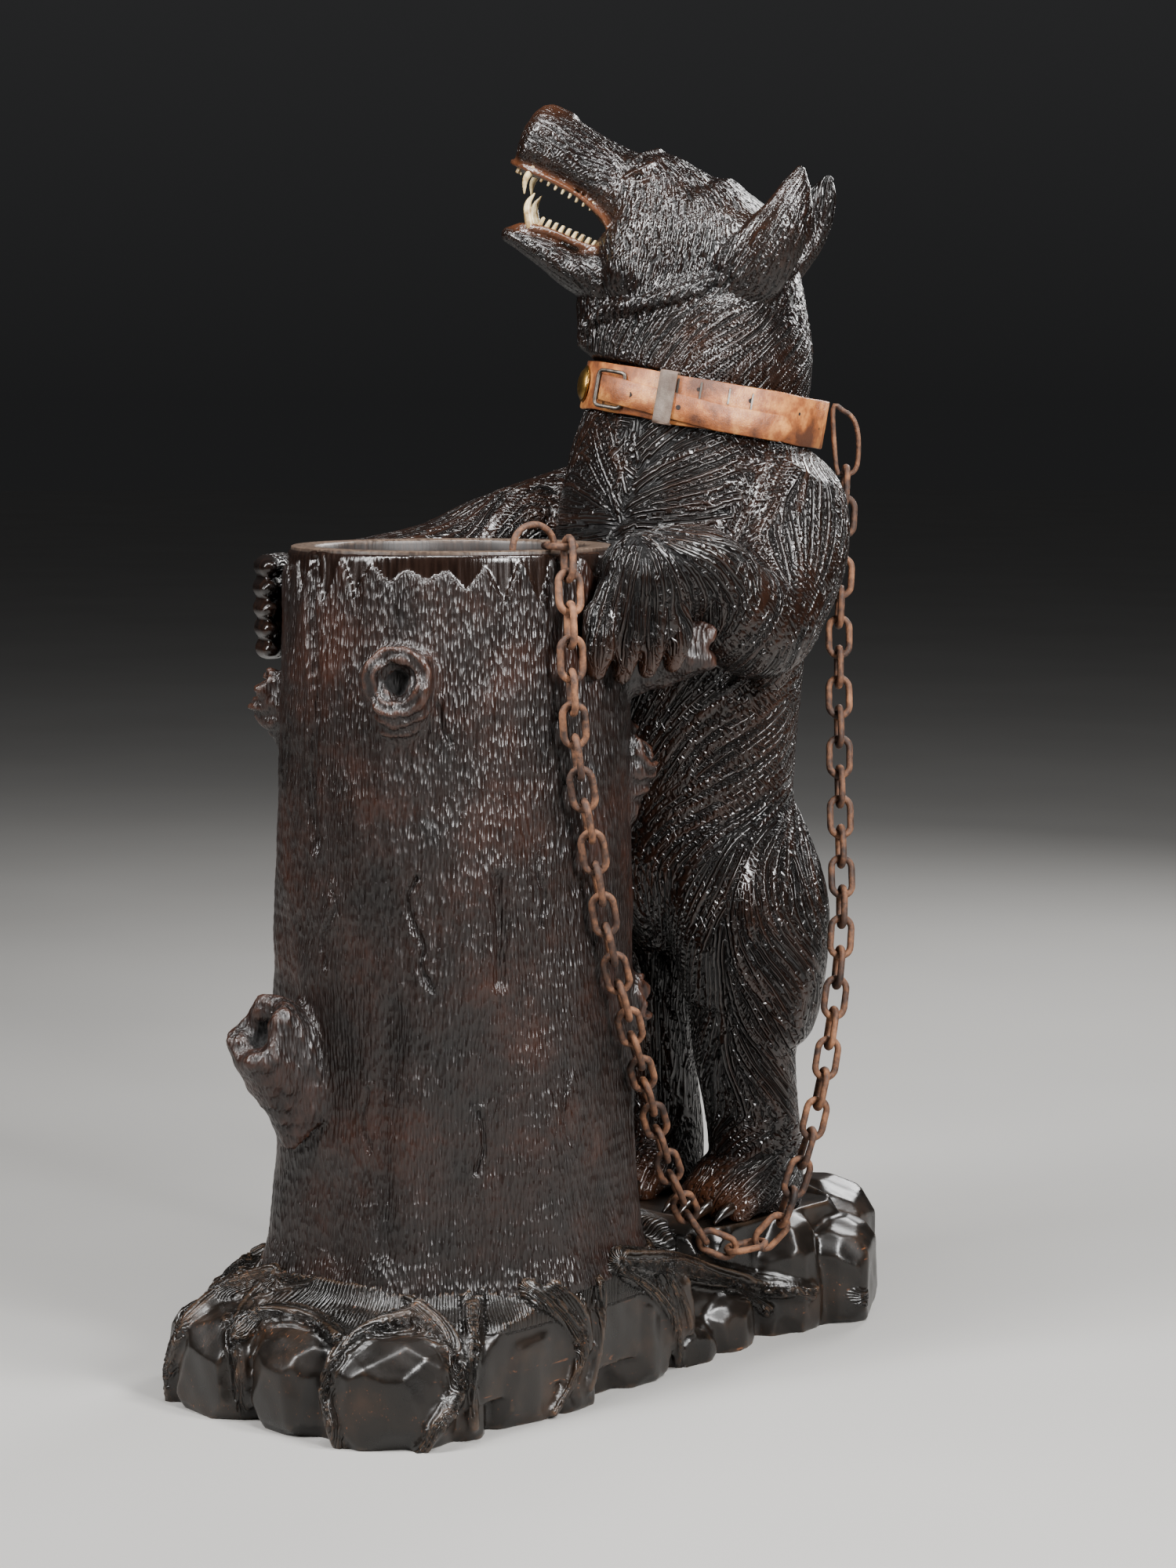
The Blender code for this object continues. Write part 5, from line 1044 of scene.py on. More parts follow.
def mound(mesh):
    """The body of the plinth, with a rounded shoulder all round."""
    insets = [(-0.02, MOUND_BACK), (MOUND_EDGE, MOUND_BACK)]
    for angle in (15, 32, 50, 68, 84):
        a = math.radians(angle)
        insets.append((MOUND_EDGE + (JOINT_HEIGHT - 0.002 - MOUND_EDGE) * math.sin(a),
                       MOUND_BACK + MOUND_SHOULDER * (1 - math.cos(a))))
    rings = []
    for height, inset in insets:
        ring = []
        for side, order in ((1, 1), (-1, -1)):
            for y in np.linspace(-0.488, 0.488, 40)[::order] * BASE_LENGTH:
                ring.append((side * max(0.02, plan_half_width(y) - inset), y * (1 - 2 * inset / BASE_LENGTH),
                             height))
        rings.append(ring)
    closed_rings(mesh, rings)


def boulder(mesh, centre, size, turn, seed, squareness=0.45):
    """A rock with broad chiselled facets, between an egg and a block in shape."""
    dice = random.Random(seed)
    rock = bmesh.new()
    bmesh.ops.create_cube(rock, size=1)
    for vert in rock.verts:
        vert.co = [c * s * 1.02 for c, s in zip(vert.co, size)]
    facets = [(36 * i + dice.uniform(-7, 7), dice.uniform(-3, 10)) for i in range(10)]
    facets += [(45 * i + dice.uniform(-10, 10), dice.uniform(28, 38)) for i in range(8)]
    facets += [(45 * i + dice.uniform(-10, 10), dice.uniform(-34, -26)) for i in range(8)]
    facets += [(60 * i + dice.uniform(-16, 16), dice.uniform(56, 68)) for i in range(6)]
    facets += [(72 * i, -48) for i in range(5)]
    for around, rise in facets:
        a, e = math.radians(around), math.radians(rise)
        normal = Vector((math.cos(a) * math.cos(e), math.sin(a) * math.cos(e), math.sin(e)))
        egg = math.sqrt(sum((n * s / 2) ** 2 for n, s in zip(normal, size)))
        block = sum(abs(n) * s / 2 for n, s in zip(normal, size))
        reach = (egg + (block - egg) * squareness) * dice.uniform(0.91, 1.0)
        geometry = rock.verts[:] + rock.edges[:] + rock.faces[:]
        bmesh.ops.bisect_plane(rock, geom=geometry, plane_co=normal * reach, plane_no=normal,
                               clear_outer=True)
        bmesh.ops.contextual_create(rock, geom=[edge for edge in rock.edges if edge.is_boundary])
    cos, sin = math.cos(turn), math.sin(turn)
    for vert in rock.verts:
        x, y, z = vert.co
        vert.co = (centre[0] + x * cos - y * sin, centre[1] + x * sin + y * cos, centre[2] + z)
    data = data_of("rock", rock)
    mesh.from_mesh(data)
    bpy.data.meshes.remove(data)


# Boulders on the corner drawing: middle across, top, bottom, half width
BOULDERS = ((232, 1676, 1812, 42), (296, 1700, 1838, 40), (362, 1710, 1850, 62), (498, 1724, 1872, 76),
            (588, 1768, 1858, 30),
            (656, 1682, 1842, 58), (728, 1728, 1818, 38), (714, 1742, 1802, 28), (816, 1644, 1794, 58),
            (884, 1690, 1756, 36),
            (934, 1664, 1748, 44), (1000, 1668, 1728, 40), (1052, 1640, 1700, 34))
# Boulders on the far side and the end, which the drawing doesn't show: place in plan, width, height
HIDDEN_BOULDERS = ((-0.150, -0.250, 0.105, 0.094), (-0.160, -0.150, 0.100, 0.088),
                   (-0.152, -0.055, 0.100, 0.094),
                   (-0.146, 0.040, 0.098, 0.072), (-0.138, 0.128, 0.092, 0.066),
                   (-0.134, 0.215, 0.096, 0.078),
                   (-0.112, 0.300, 0.100, 0.094), (-0.030, 0.342, 0.106, 0.090),
                   (-0.070, -0.350, 0.100, 0.085))
# Boulders round the bear's ledge: middle, width, depth and height, turn, squareness
LEDGE_BOULDERS = (((0.108, 0.192, 0.045), (0.092, 0.090, 0.128), 0.75, 0.30),
                  ((0.120, 0.264, 0.036), (0.088, 0.096, 0.112), 0.60, 0.30),
                  ((0.058, 0.310, 0.046), (0.108, 0.098, 0.134), 0.35, 0.35),
                  ((-0.020, 0.318, 0.046), (0.110, 0.100, 0.126), -0.10, 0.40),
                  ((-0.085, 0.280, 0.042), (0.110, 0.105, 0.120), -0.60, 0.40),
                  ((-0.092, 0.185, 0.044), (0.095, 0.100, 0.122), -0.80, 0.35))
BOULDER_DEPTH, BOULDER_SUNK = 0.115, 0.010
# Roots on the same drawing: centre line and half thickness
ROOTS = (
    (((338, 1636), (288, 1650), (246, 1674), (216, 1708), (202, 1752), (206, 1802)), 0.0115),
    (((292, 1706), (302, 1692), (340, 1682), (382, 1685), (412, 1700), (434, 1724)), 0.0100),
    (((330, 1645), (312, 1662), (290, 1690), (292, 1740), (300, 1800)), 0.0080),
    (((524, 1690), (482, 1700), (446, 1720), (420, 1750), (412, 1790), (420, 1830), (434, 1866)), 0.0095),
    (((530, 1688), (566, 1716), (588, 1752), (584, 1790), (562, 1826), (528, 1866)), 0.0120),
    (((602, 1680), (604, 1730), (600, 1780), (604, 1842)), 0.0085),
    (((674, 1652), (708, 1674), (738, 1706), (744, 1740), (730, 1778), (706, 1814)), 0.0090),
    (((706, 1648), (734, 1664), (750, 1692), (752, 1730)), 0.0075),
    (((764, 1644), (768, 1690), (764, 1740), (752, 1792)), 0.0070),
    (((800, 1630), (842, 1656), (866, 1694), (872, 1744)), 0.0080),
    (((790, 1616), (850, 1622), (900, 1630), (950, 1642), (1000, 1650), (1052, 1656)), 0.0125),
    (((935, 1640), (962, 1660), (988, 1680)), 0.0085), (((850, 1632), (872, 1664), (884, 1700)), 0.0080),
)


# The distance between the ridges that run along a root
ROOT_RIDGE = 0.0058


def drawn_line(drawing, points, thickness):
    """A root's stations where the drawn line meets the plinth."""
    rows = []
    run = drawn_run(points, 10)
    for i, (x, y) in enumerate(run):
        hit = drawing.place(x, y)
        if hit is None:
            continue
        place = hit[0] + hit[1] * thickness * 0.25
        if rows and np.linalg.norm(place - rows[-1][:3]) > 0.06:
            break
        thin = thickness * (1.1 - 0.45 * i / len(run))
        rows.append(np.array((*place, thin, thin * 0.85)))
    rows = evened(rows, 9)
    return rows[::2] if len(rows) > 5 else rows


def skirt(mesh):
    """Where the trunk's foot spreads over the plinth in ridges, just under the joint."""
    rings = []
    sides = 120
    profile = ((0.030, 0.080), (0.062, 0.078), (0.080, 0.066), (0.093, 0.044), (0.101, 0.024),
               (JOINT_HEIGHT + 0.003, 0.013),
               (JOINT_HEIGHT + 0.012, 0.007), (JOINT_HEIGHT + 0.013, -0.012))
    for height, spread in profile:
        ring = []
        for side in range(sides):
            turn = math.tau * side / sides
            ridge = 0.52 + 0.40 * abs(math.sin(3.5 * turn + 0.4)) ** 1.5 + 0.08 * math.sin(11 * turn)
            out = float(trunk_radius(JOINT_HEIGHT, turn)) + spread * (ridge if spread > 0.004 else 1)
            x, y = out * math.cos(turn), TRUNK_Y + out * math.sin(turn)
            y = max(-BASE_LENGTH / 2 + 0.02, y)
            limit = plan_half_width(y) + 0.004
            crack = 0.003 * math.sin(5 * turn) * (height > JOINT_HEIGHT)
            ring.append((max(-limit, min(limit, x)), y, height + crack))
        rings.append(ring)
    closed_rings(mesh, rings)


def room_under_chain(x, y):
    """The height up to which the rocks may rise at each place, so that the chain hangs clear."""
    chain = np.vstack([solid_places(name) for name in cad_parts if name.startswith("chain")])
    chain = chain[chain[:, 2] < 0.16]
    tree = tree_of(chain * (1, 1, 0))
    limit = np.full(len(x), 1.0)
    for i, place in enumerate(zip(x, y)):
        for _, near, gap in tree.find_range((*place, 0), 0.016):
            limit[i] = min(limit[i], chain[near, 2] - 0.0015 + max(0, gap - 0.006) * 2.2)
    return limit


def make_base(material):
    mesh = bmesh.new()
    mound(mesh)
    bare = bpy.data.meshes.new("bare")
    mesh.to_mesh(bare)
    drawing = Drawing(bare)
    for seed, (x, top, bottom, half) in enumerate(BOULDERS):
        place, normal = drawing.place(x, 0.35 * top + 0.65 * bottom)
        pixel = np.dot(place - EYE, SIGHT_AWAY) / PLANE_DISTANCE
        tall = (bottom - top) * pixel - BOULDER_SUNK
        wide = 2.25 * half * pixel
        turn = math.atan2(normal[1], normal[0]) + math.pi / 2
        inward = -np.array((normal[0], normal[1], 0)) / math.hypot(*normal[:2])
        centre = (place + inward * (BOULDER_DEPTH / 2 - 0.022))[:2]
        size = (wide, BOULDER_DEPTH, tall + 2 * BOULDER_SUNK)
        boulder(mesh, (*centre, tall / 2 - BOULDER_SUNK), size, turn, seed, 0.38)
    for seed, (x, y, wide, tall) in enumerate(HIDDEN_BOULDERS):
        turn = math.pi / 2 if abs(x) > 0.1 else 0.0
        size = (wide, BOULDER_DEPTH, tall + 2 * BOULDER_SUNK)
        boulder(mesh, (x * 0.82, y * (1 if turn else 0.93), tall / 2 - BOULDER_SUNK), size, turn, seed + 20)
    skirt(mesh)
    boulder(mesh, (BEAR_X, BEAR_Y - 0.012, LEDGE_HEIGHT / 2), (0.238, 0.235, LEDGE_HEIGHT * 1.10), 0.05, 41,
            0.75)
    for seed, (centre, size, turn, squareness) in enumerate(LEDGE_BOULDERS):
        boulder(mesh, centre, size, turn, seed + 40, squareness)
    mesh.to_mesh(bare)
    drawing = Drawing(bare)
    lines = [drawn_line(drawing, points, thickness) for points, thickness in ROOTS]
    hidden = [rows * np.array((-1, 1, 1, 1,
                               1)) for rows in lines if len(rows) > 3 and rows[:, 0].mean() > 0.09]
    lines = [rows for rows in lines + hidden if len(rows) > 3]
    for rows in lines:
        loft(mesh, rows, (0.3, 0.3, 1), sides=20, step=0.006)
    data = fuse(mesh, ROCK_GRAIN, 1)
    places, normals = places_of(data), normals_of(data)
    low, high = places.min(axis=0), places.max(axis=0)
    scale = np.array((BASE_WIDTH, BASE_LENGTH)) / (high - low)[:2]
    places[:, :2] = (places[:, :2] - (low + high)[:2] / 2) * scale
    runs = [smooth_run(rows, 0.004) for rows in lines]
    spine = np.vstack(runs)
    centres, radii = spine[:, :3], spine[:, 3]
    ways = np.vstack([unit_rows(np.gradient(run[:, :3], axis=0)) for run in runs])
    nearest = np.empty(len(places), dtype=int)
    for start in range(0, len(places), CHUNK):
        part = slice(start, start + CHUNK)
        nearest[part] = ((places[part, None] - centres[None]) ** 2).sum(-1).argmin(1)
    apart = places - centres[nearest]
    apart -= ways[nearest] * (apart * ways[nearest]).sum(1, keepdims=True)
    beside = unit_rows(np.cross(ways[nearest], np.array(UP) + np.array((0.2, -0.2, 0))))
    above = np.cross(beside, ways[nearest])
    angle = np.arctan2((apart * beside).sum(1), (apart * above).sum(1))
    distance = np.linalg.norm(apart, axis=1)
    rooty = np.clip((1.35 - distance / radii[nearest]) / 0.25, 0, 1)
    turn = np.arctan2(places[:, 1] - TRUNK_Y, places[:, 0])
    out = np.hypot(places[:, 0], places[:, 1] - TRUNK_Y)
    skirted = np.clip((0.215 - out) / 0.02, 0, 1) * np.clip((places[:, 2] - 0.082) / 0.01, 0,
                                                            1) * (rooty < 0.5)
    across = np.where(skirted > 0.3, turn * 0.18, angle * radii[nearest])
    ridged = np.maximum(rooty, skirted)
    dent = ridged * 0.0012 * np.sin(across / ROOT_RIDGE * math.tau)
    dent = dent + (1 - ridged) * 0.0006 * wobble(places, 0.030, 5)
    places += normals * dent[:, None]
    x, y, z = places.T
    z = np.maximum(z, 0)
    on_ledge = (np.abs(x - BEAR_X) < 0.115) & (np.abs(y - BEAR_Y) < 0.09)
    z = np.where(on_ledge, np.minimum(z, LEDGE_HEIGHT), z)
    z = np.minimum(z, room_under_chain(x, y))
    bark = trunk_radius(np.maximum(z, JOINT_HEIGHT), np.arctan2(y - TRUNK_Y, x)) - 0.001
    under_trunk = np.hypot(x, y - TRUNK_Y) < bark
    z = np.where(under_trunk, np.minimum(z, JOINT_HEIGHT), z)
    move_to(data, np.column_stack((x, y, z)))
    mark(data, rooty=ridged, across=across)
    bpy.data.meshes.remove(bare)
    return stand("base_carving", data, material, ("base",))


# Chain, rings and wire

def wire_loop(mesh, centres, normals, radius, sides=10):
    """A closed ring of round wire; each normal stands across the wire, radius may vary."""
    count = len(centres)
    radius = np.broadcast_to(radius, count)
    rings = []
    for i in range(count):
        tangent = (Vector(centres[(i + 1) % count]) - Vector(centres[i - 1])).normalized()
        normal = Vector(normals[i])
        first = (normal - tangent * normal.dot(tangent)).normalized()
        second = tangent.cross(first)
        rings.append([Vector(centres[i]) + (first * math.cos(a) + second * math.sin(a)) * radius[i]
                      for a in around(sides)])
    closed_rings(mesh, rings, endless=True)


def wire(mesh, path, beside, radius, sides=12):
    """An open wire with rounded ends."""
    rings = []
    for i, place in enumerate(path):
        tangent = (path[min(i + 1, len(path) - 1)] - path[max(i - 1, 0)]).normalized()
        first = (beside - tangent * beside.dot(tangent)).normalized()
        second = tangent.cross(first)
        shrink = 0.6 if i in (0, len(path) - 1) else 1.0
        rings.append([place + (first * math.cos(a) + second * math.sin(a)) * radius * shrink
                      for a in around(sides)])
    closed_rings(mesh, rings)


LINK_LENGTH, LINK_WIDTH, LINK_WIRE, LINK_PLAY = 0.042, 0.0255, 0.0064, 0.0006
STAPLE_WIDTH, STAPLE_WIRE, STAPLE_TURN = 0.048, 0.0058, math.radians(-11)


def link(mesh, middle, pull, face, dice):
    """One forge-welded link: a straight-sided loop with a swelling where it was welded."""
    side = pull.cross(face)
    half_wide = LINK_WIDTH / 2 - LINK_WIRE / 2
    straight = LINK_LENGTH / 2 - LINK_WIRE / 2 - half_wide
    centres, radii = [], []
    weld = dice.choice((-1, 1))
    for way in (1, -1):
        for a in np.linspace(0, 180, 13):
            turn = math.radians(a)
            reach = straight + half_wide * math.sin(turn)
            centres.append(middle + (side * half_wide * math.cos(turn) + pull * reach) * way)
            swell = 0.07 * math.exp(-((a - 90) / 35) ** 2) if way == weld else 0
            radii.append(LINK_WIRE / 2 * (0.98 + swell + dice.uniform(-0.035, 0.035)))
    wire_loop(mesh, centres, [face] * len(centres), np.array(radii))


def solid_places(name):
    """The corners of a node's solid, on the bench."""
    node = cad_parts[name]
    return np.array([node.matrix_world @ vert.co for vert in node.data.vertices]) - np.array(BENCH_SHIFT)


def link_frame(name):
    """Middle, long way and flat way of a link, from its solid."""
    corners = solid_places(name)
    middle = corners.mean(axis=0)
    axes = np.linalg.svd(corners - middle)[2]
    return Vector(middle), Vector(axes[0]), Vector(axes[2])


def ring_outline():
    """The collar ring's wire: a straight side against the band and a bow that hangs outward."""
    start = BAND_OUTSIDE + GAP + RING_WIRE / 2
    top = on_collar(0, start, BAND_WIDTH * 0.36) + COLLAR_DOWNHILL * 0.001
    places = []
    for share_down, share_out in ((0.0, 0.0), (0.02, 0.42), (0.14, 0.82), (0.36, 1.0), (0.66, 1.0),
                                  (0.90, 0.88),
                                  (1.0, 0.60), (1.0, 0.25), (0.90, 0.03)):
        lean = 0.001 + share_down * 0.003
        places.append(top - UP * RING_HEIGHT * share_down + COLLAR_DOWNHILL * (RING_REACH * share_out + lean))
    return places


def make_chain(material):
    """Links of rusty iron, each where its solid hangs."""
    mesh = bmesh.new()
    dice = random.Random(9)
    names = sorted(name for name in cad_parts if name.startswith("chain_link_"))
    frames = [link_frame(name) for name in names]
    for middle, pull, face in frames:
        link(mesh, middle, pull, face, dice)
    last_middle, last_pull, last_face = frames[-1]
    pitch = LINK_LENGTH - 2 * LINK_WIRE - LINK_PLAY
    toward = last_pull if last_pull.z > 0 else -last_pull
    start = last_middle + toward * pitch / 2
    lowest = sorted(ring_outline(), key=lambda place: place.z)[:2]
    end = (lowest[0] + lowest[1]) / 2 + UP * RING_WIRE / 2
    count = max(1, round((end - start).length / pitch))
    face = last_face
    for i in range(count):
        a, b = start.lerp(end, i / count), start.lerp(end, (i + 1) / count)
        pull = (b - a).normalized()
        face = pull.cross(face).normalized()
        link(mesh, (a + b) / 2, pull, (face - pull * face.dot(pull)).normalized(), dice)
    return stand_mesh("chain", mesh, material, names + ["chain_end"])


def make_collar_ring(material):
    mesh = bmesh.new()
    corners = np.array([tuple(place) for place in ring_outline()])
    rows = np.vstack((corners[-2:], corners, corners[:2]))
    path = smooth_run(rows, 0.003)
    start = np.linalg.norm(path - corners[0], axis=1).argmin()
    end = start + 1 + np.linalg.norm(path[start + 3:] - corners[0], axis=1).argmin() + 2
    path = path[start:end]
    wire_loop(mesh, path, [COLLAR_DOWNHILL.cross(UP)] * len(path), RING_WIRE / 2, 12)
    return stand_mesh("collar_ring_wire", mesh, material, ("collar_ring",))


def make_staple(material):
    corners = solid_places("rim_staple")
    outward = Vector((math.cos(STAPLE_TURN), math.sin(STAPLE_TURN), 0))
    along = UP.cross(outward)
    middle = Vector((0, TRUNK_Y, RIM_HEIGHT)) + outward * (RIM_RADIUS - TRUNK_WALL / 2 - 0.003)
    half, radius = (STAPLE_WIDTH - STAPLE_WIRE) / 2, STAPLE_WIRE / 2
    top = corners[:, 2].max() - RIM_HEIGHT - radius
    path = [middle - along * half - UP * 0.006]
    for a in np.linspace(math.pi, 0, 19):
        path.append(middle + along * half * math.cos(a) + UP * (0.002 + (top - 0.002) * math.sin(a)))
    path.append(middle + along * half - UP * 0.006)
    mesh = bmesh.new()
    wire(mesh, path, outward, radius)
    return stand_mesh("rim_staple_iron", mesh, material, ("rim_staple",))


# The collar

BUCKLE_TURN, STRAP_END_TURN, KEEPER_TURN = math.radians(-146), math.radians(-48), math.radians(-110)
LIFT_OVER_BAR = BUCKLE_WIRE + 2 * GAP


def strap_path(turn):
    past_bar = (turn - BUCKLE_TURN) * BAND_OUTSIDE - BUCKLE_LENGTH
    fall = min(1.0, max(0.0, past_bar / 0.03 + 0.35))
    lift = LIFT_OVER_BAR * (1 - fall * fall * (3 - 2 * fall))
    run = (turn - BUCKLE_TURN) / (STRAP_END_TURN - BUCKLE_TURN)
    return BAND_OUTSIDE + GAP + lift, -(BAND_WIDTH - STRAP_WIDTH) / 2 * min(1.0, max(0.0, run) * 1.6)


def leather_section(inner, outer, low, high, edge=0.0008):
    """Corners of a strip's section with burnished round edges."""
    return ((inner, low + edge), (inner + edge, low), (outer - edge, low), (outer, low + edge),
            (outer + 0.0001, (low + high) / 2),
            (outer, high - edge), (outer - edge, high), (inner + edge, high), (inner, high - edge))


def make_band(material):
    """The wide band, a little wavy from wear and sprung outward at the nape."""
    mesh = bmesh.new()
    sides, rows = 150, []
    for i in range(sides):
        turn = math.tau * i / sides
        wave = 0.0007 * math.sin(5 * turn + 1) + 0.0005 * math.sin(11 * turn)
        half = BAND_WIDTH / 2
        section = leather_section(BAND_INSIDE + 0.0001, BAND_OUTSIDE, -half + wave, half + wave * 0.5)
        rows.append([on_collar(turn, out, rise) for out, rise in section])
    closed_rings(mesh, rows, endless=True)
    return stand_mesh("collar_band_leather", mesh, material, ("collar_band",), 60)


def make_strap(material):
    mesh = bmesh.new()
    start = BUCKLE_TURN - 0.008 / BAND_OUTSIDE
    rows = []
    for share in np.concatenate((np.linspace(0, 0.93, 50), np.linspace(0.94, 1.0, 12))):
        turn = start + (STRAP_END_TURN - start) * share
        inner, middle = strap_path(turn)
        half = STRAP_WIDTH / 2 * math.sqrt(max(0.02, 1 - (max(0.0, share - 0.93) / 0.0705) ** 2))
        rows.append([on_collar(turn, out, rise) for out, rise in leather_section(
            inner + 0.0001, inner + STRAP_THICKNESS, middle - half, middle + half, min(0.0008, half * 0.4))])
    closed_rings(mesh, rows)
    return stand_mesh("collar_strap_leather", mesh, material, ("collar_strap",), 60)


def make_hole_shadows(material):
    """Dark discs on the strap and the band, painted shade standing for punched holes."""
    mesh = bmesh.new()
    for degrees, rise, radius in ((-127.0, None, 0.0021), (-103.5, None, 0.0021), (-96.0, 0.012, 0.0017),
                                  (-71.5, 0.010, 0.0020),
                                  (-43.0, 0.006, 0.0014), (-22.0, -0.004, 0.0012), (-152.5, 0.004, 0.0012)):
        turn = math.radians(degrees)
        out = BAND_OUTSIDE
        if rise is None:
            out, rise = strap_path(turn)
            out += STRAP_THICKNESS
        rings = []
        for lift, share in ((0.00012, 1.15), (0.00018, 1.0), (0.00012, 0.6)):
            rings.append([on_collar(turn + radius * share * math.cos(a) / out, out + lift,
                                    rise + radius * share * math.sin(a)) for a in around(14)])
        closed_rings(mesh, rings)
    return stand_mesh("collar_hole_shadows", mesh, material, ())


def make_collar_staples(material):
    """Four flat wire staples that hold the band's lining."""
    mesh = bmesh.new()
    for degrees, low, high in ((-105.5, 0.004, 0.019), (-95.0, 0.002, 0.019), (-82.0, 0.003, 0.018),
                               (-71.0, 0.001, 0.017)):
        turn = math.radians(degrees)
        rows = []
        for rise, lift in ((low, -0.0004), (low + 0.0006, 0.0007), (high - 0.0006, 0.0007), (high, -0.0004)):
            rows.append([on_collar(turn + side / BAND_OUTSIDE, BAND_OUTSIDE + lift + up, rise)
                         for side, up in ((-0.0008, -0.0003), (0.0008, -0.0003), (0.0008, 0.0003),
                                          (-0.0008, 0.0003))])
        closed_rings(mesh, rows)
    return stand_mesh("collar_staples", mesh, material, (), 30)


def make_buckle(material):
    mesh = bmesh.new()
    radius = BUCKLE_WIRE / 2
    under = BAND_OUTSIDE + GAP + radius
    over = BAND_OUTSIDE + GAP + LIFT_OVER_BAR + STRAP_THICKNESS + GAP + radius
    half = STRAP_WIDTH / 2 + radius + 8 * GAP
    front, back = BUCKLE_TURN, BUCKLE_TURN + BUCKLE_LENGTH * 0.8 / BAND_OUTSIDE
    middle, wide = (front + back) / 2, (back - front) / 2
    rise_at = strap_path(middle)[1]
    centres, normals = [], []
    for a in np.linspace(0, math.tau, 56, endpoint=False):
        c, s = math.cos(a), math.sin(a)
        turn = middle - wide * math.copysign(abs(c) ** 0.28, c)
        rise = half * math.copysign(abs(s) ** 0.28, s)
        share = (turn - front) / (back - front)
        centres.append(on_collar(turn, over + (under - over) * share, rise + rise_at))
        normals.append(on_collar(turn, 1, 0) - on_collar(turn, 0, 0))
    wire_loop(mesh, centres, normals, radius)
    return stand_mesh("collar_buckle_iron", mesh, material, ("collar_buckle",))


def make_keeper(material):
    """The leather loop round band and strap, its edges rounded by wear."""
    mesh = bmesh.new()
    inner, middle = strap_path(KEEPER_TURN)
    low = min(-BAND_WIDTH / 2, middle - STRAP_WIDTH / 2) - 3 * GAP
    high = BAND_WIDTH / 2 + 3 * GAP
    near, far, thick = BAND_INSIDE - 0.0007, inner + STRAP_THICKNESS + 4 * GAP, KEEPER_THICKNESS
    half = KEEPER_WIDTH / 2 / BAND_OUTSIDE
    rings = []
    for side, grow in ((-1, 0), (-1.02, 0.5), (-0.94, 1), (0, 1.08), (0.94, 1), (1.02, 0.5), (1, 0)):
        g = thick * grow
        corners = ((near - g, low - g), (0.5 * (near + far), low - g * 1.1), (far + g * 0.8, low - g * 0.8),
                   (far + g, low + 0.002),
                   (far + g, 0.5 * (low + high)), (far + g, high - 0.002), (far + g * 0.8, high + g * 0.8),
                   (0.5 * (near + far), high + g * 1.1), (near - g, high + g))
        turn = KEEPER_TURN + side * half
        rings.append([on_collar(turn, out, rise) for out, rise in corners])
    closed_rings(mesh, rings, endless=True)
    return stand_mesh("collar_keeper_leather", mesh, material, ("collar_keeper",), 70)


BOSS_TURN = math.radians(-170)


def make_boss(material):
    """A spun brass dome with a rolled rim and a sunk ring near its top."""
    mesh = bmesh.new()
    outward = (on_collar(BOSS_TURN, 1, 0) - on_collar(BOSS_TURN, 0, 0)).normalized()
    beside = COLLAR_AXIS.cross(outward)
    start = on_collar(BOSS_TURN, BAND_OUTSIDE + GAP, 0)
    rings = []
    for out, share in ((0, 0.98), (0.0008, 1.0), (0.0016, 0.99), (0.0019, 0.94), (0.0017, 0.88),
                       (0.0030, 0.82), (0.0048, 0.66),
                       (0.0060, 0.46), (0.0061, 0.36), (0.0056, 0.30), (0.0061, 0.22), (0.0066, 0.1)):
        rings.append([start + outward * out
                      + (beside * math.cos(a) + COLLAR_AXIS * math.sin(a)) * BOSS_RADIUS * share
                      for a in around(40)])
    closed_rings(mesh, rings)
    return stand_mesh("collar_boss_brass", mesh, material, ("collar_boss",), 50)


# Finishes

def colour(code):
    """Linear colour from an sRGB hex value."""
    parts = [int(code[i:i + 2], 16) / 255 for i in (1, 3, 5)]
    return (*[c / 12.92 if c <= 0.04045 else ((c + 0.055) / 1.055) ** 2.4 for c in parts], 1)


def add(tree, kind, inputs=None, stops=None, out=0, **settings):
    """Adds a node with its settings, and values or links for its inputs. Gives one of its outputs."""
    step = tree.nodes.new("ShaderNode" + kind)
    for name, value in settings.items():
        setattr(step, name, value)
    for name, value in (inputs or {}).items():
        if isinstance(value, bpy.types.NodeSocket):
            tree.links.new(value, step.inputs[name])
        else:
            step.inputs[name].default_value = value
    if stops:
        ramp = step.color_ramp
        while len(ramp.elements) < len(stops):
            ramp.elements.new(1)
        for element, (at, code) in zip(ramp.elements, stops):
            element.position = at
            element.color = colour(code)
    return step.outputs[out]


def finish(name, **fixed):
    """A new finish, with what is the same all over set on its shader, and the place on the piece."""
    material = bpy.data.materials.new(name)
    material.use_nodes = True
    tree = material.node_tree
    for socket, value in fixed.items():
        tree.nodes["Principled BSDF"].inputs[socket.replace("_", " ")].default_value = value
    return material, tree, add(tree, "TexCoord", out="Object")


def finished(material, tint, gloss=None, relief=None):
    """The finish with what was worked out for it linked to its shader."""
    tree = material.node_tree
    for socket, output in (("Base Color", tint), ("Roughness", gloss), ("Normal", relief)):
        if output is not None:
            tree.links.new(output, tree.nodes["Principled BSDF"].inputs[socket])
    return material


def marks_of(tree, *names):
    """The numbers that were kept for each point."""
    return [add(tree, "Attribute", out="Fac", attribute_name=name) for name in names]


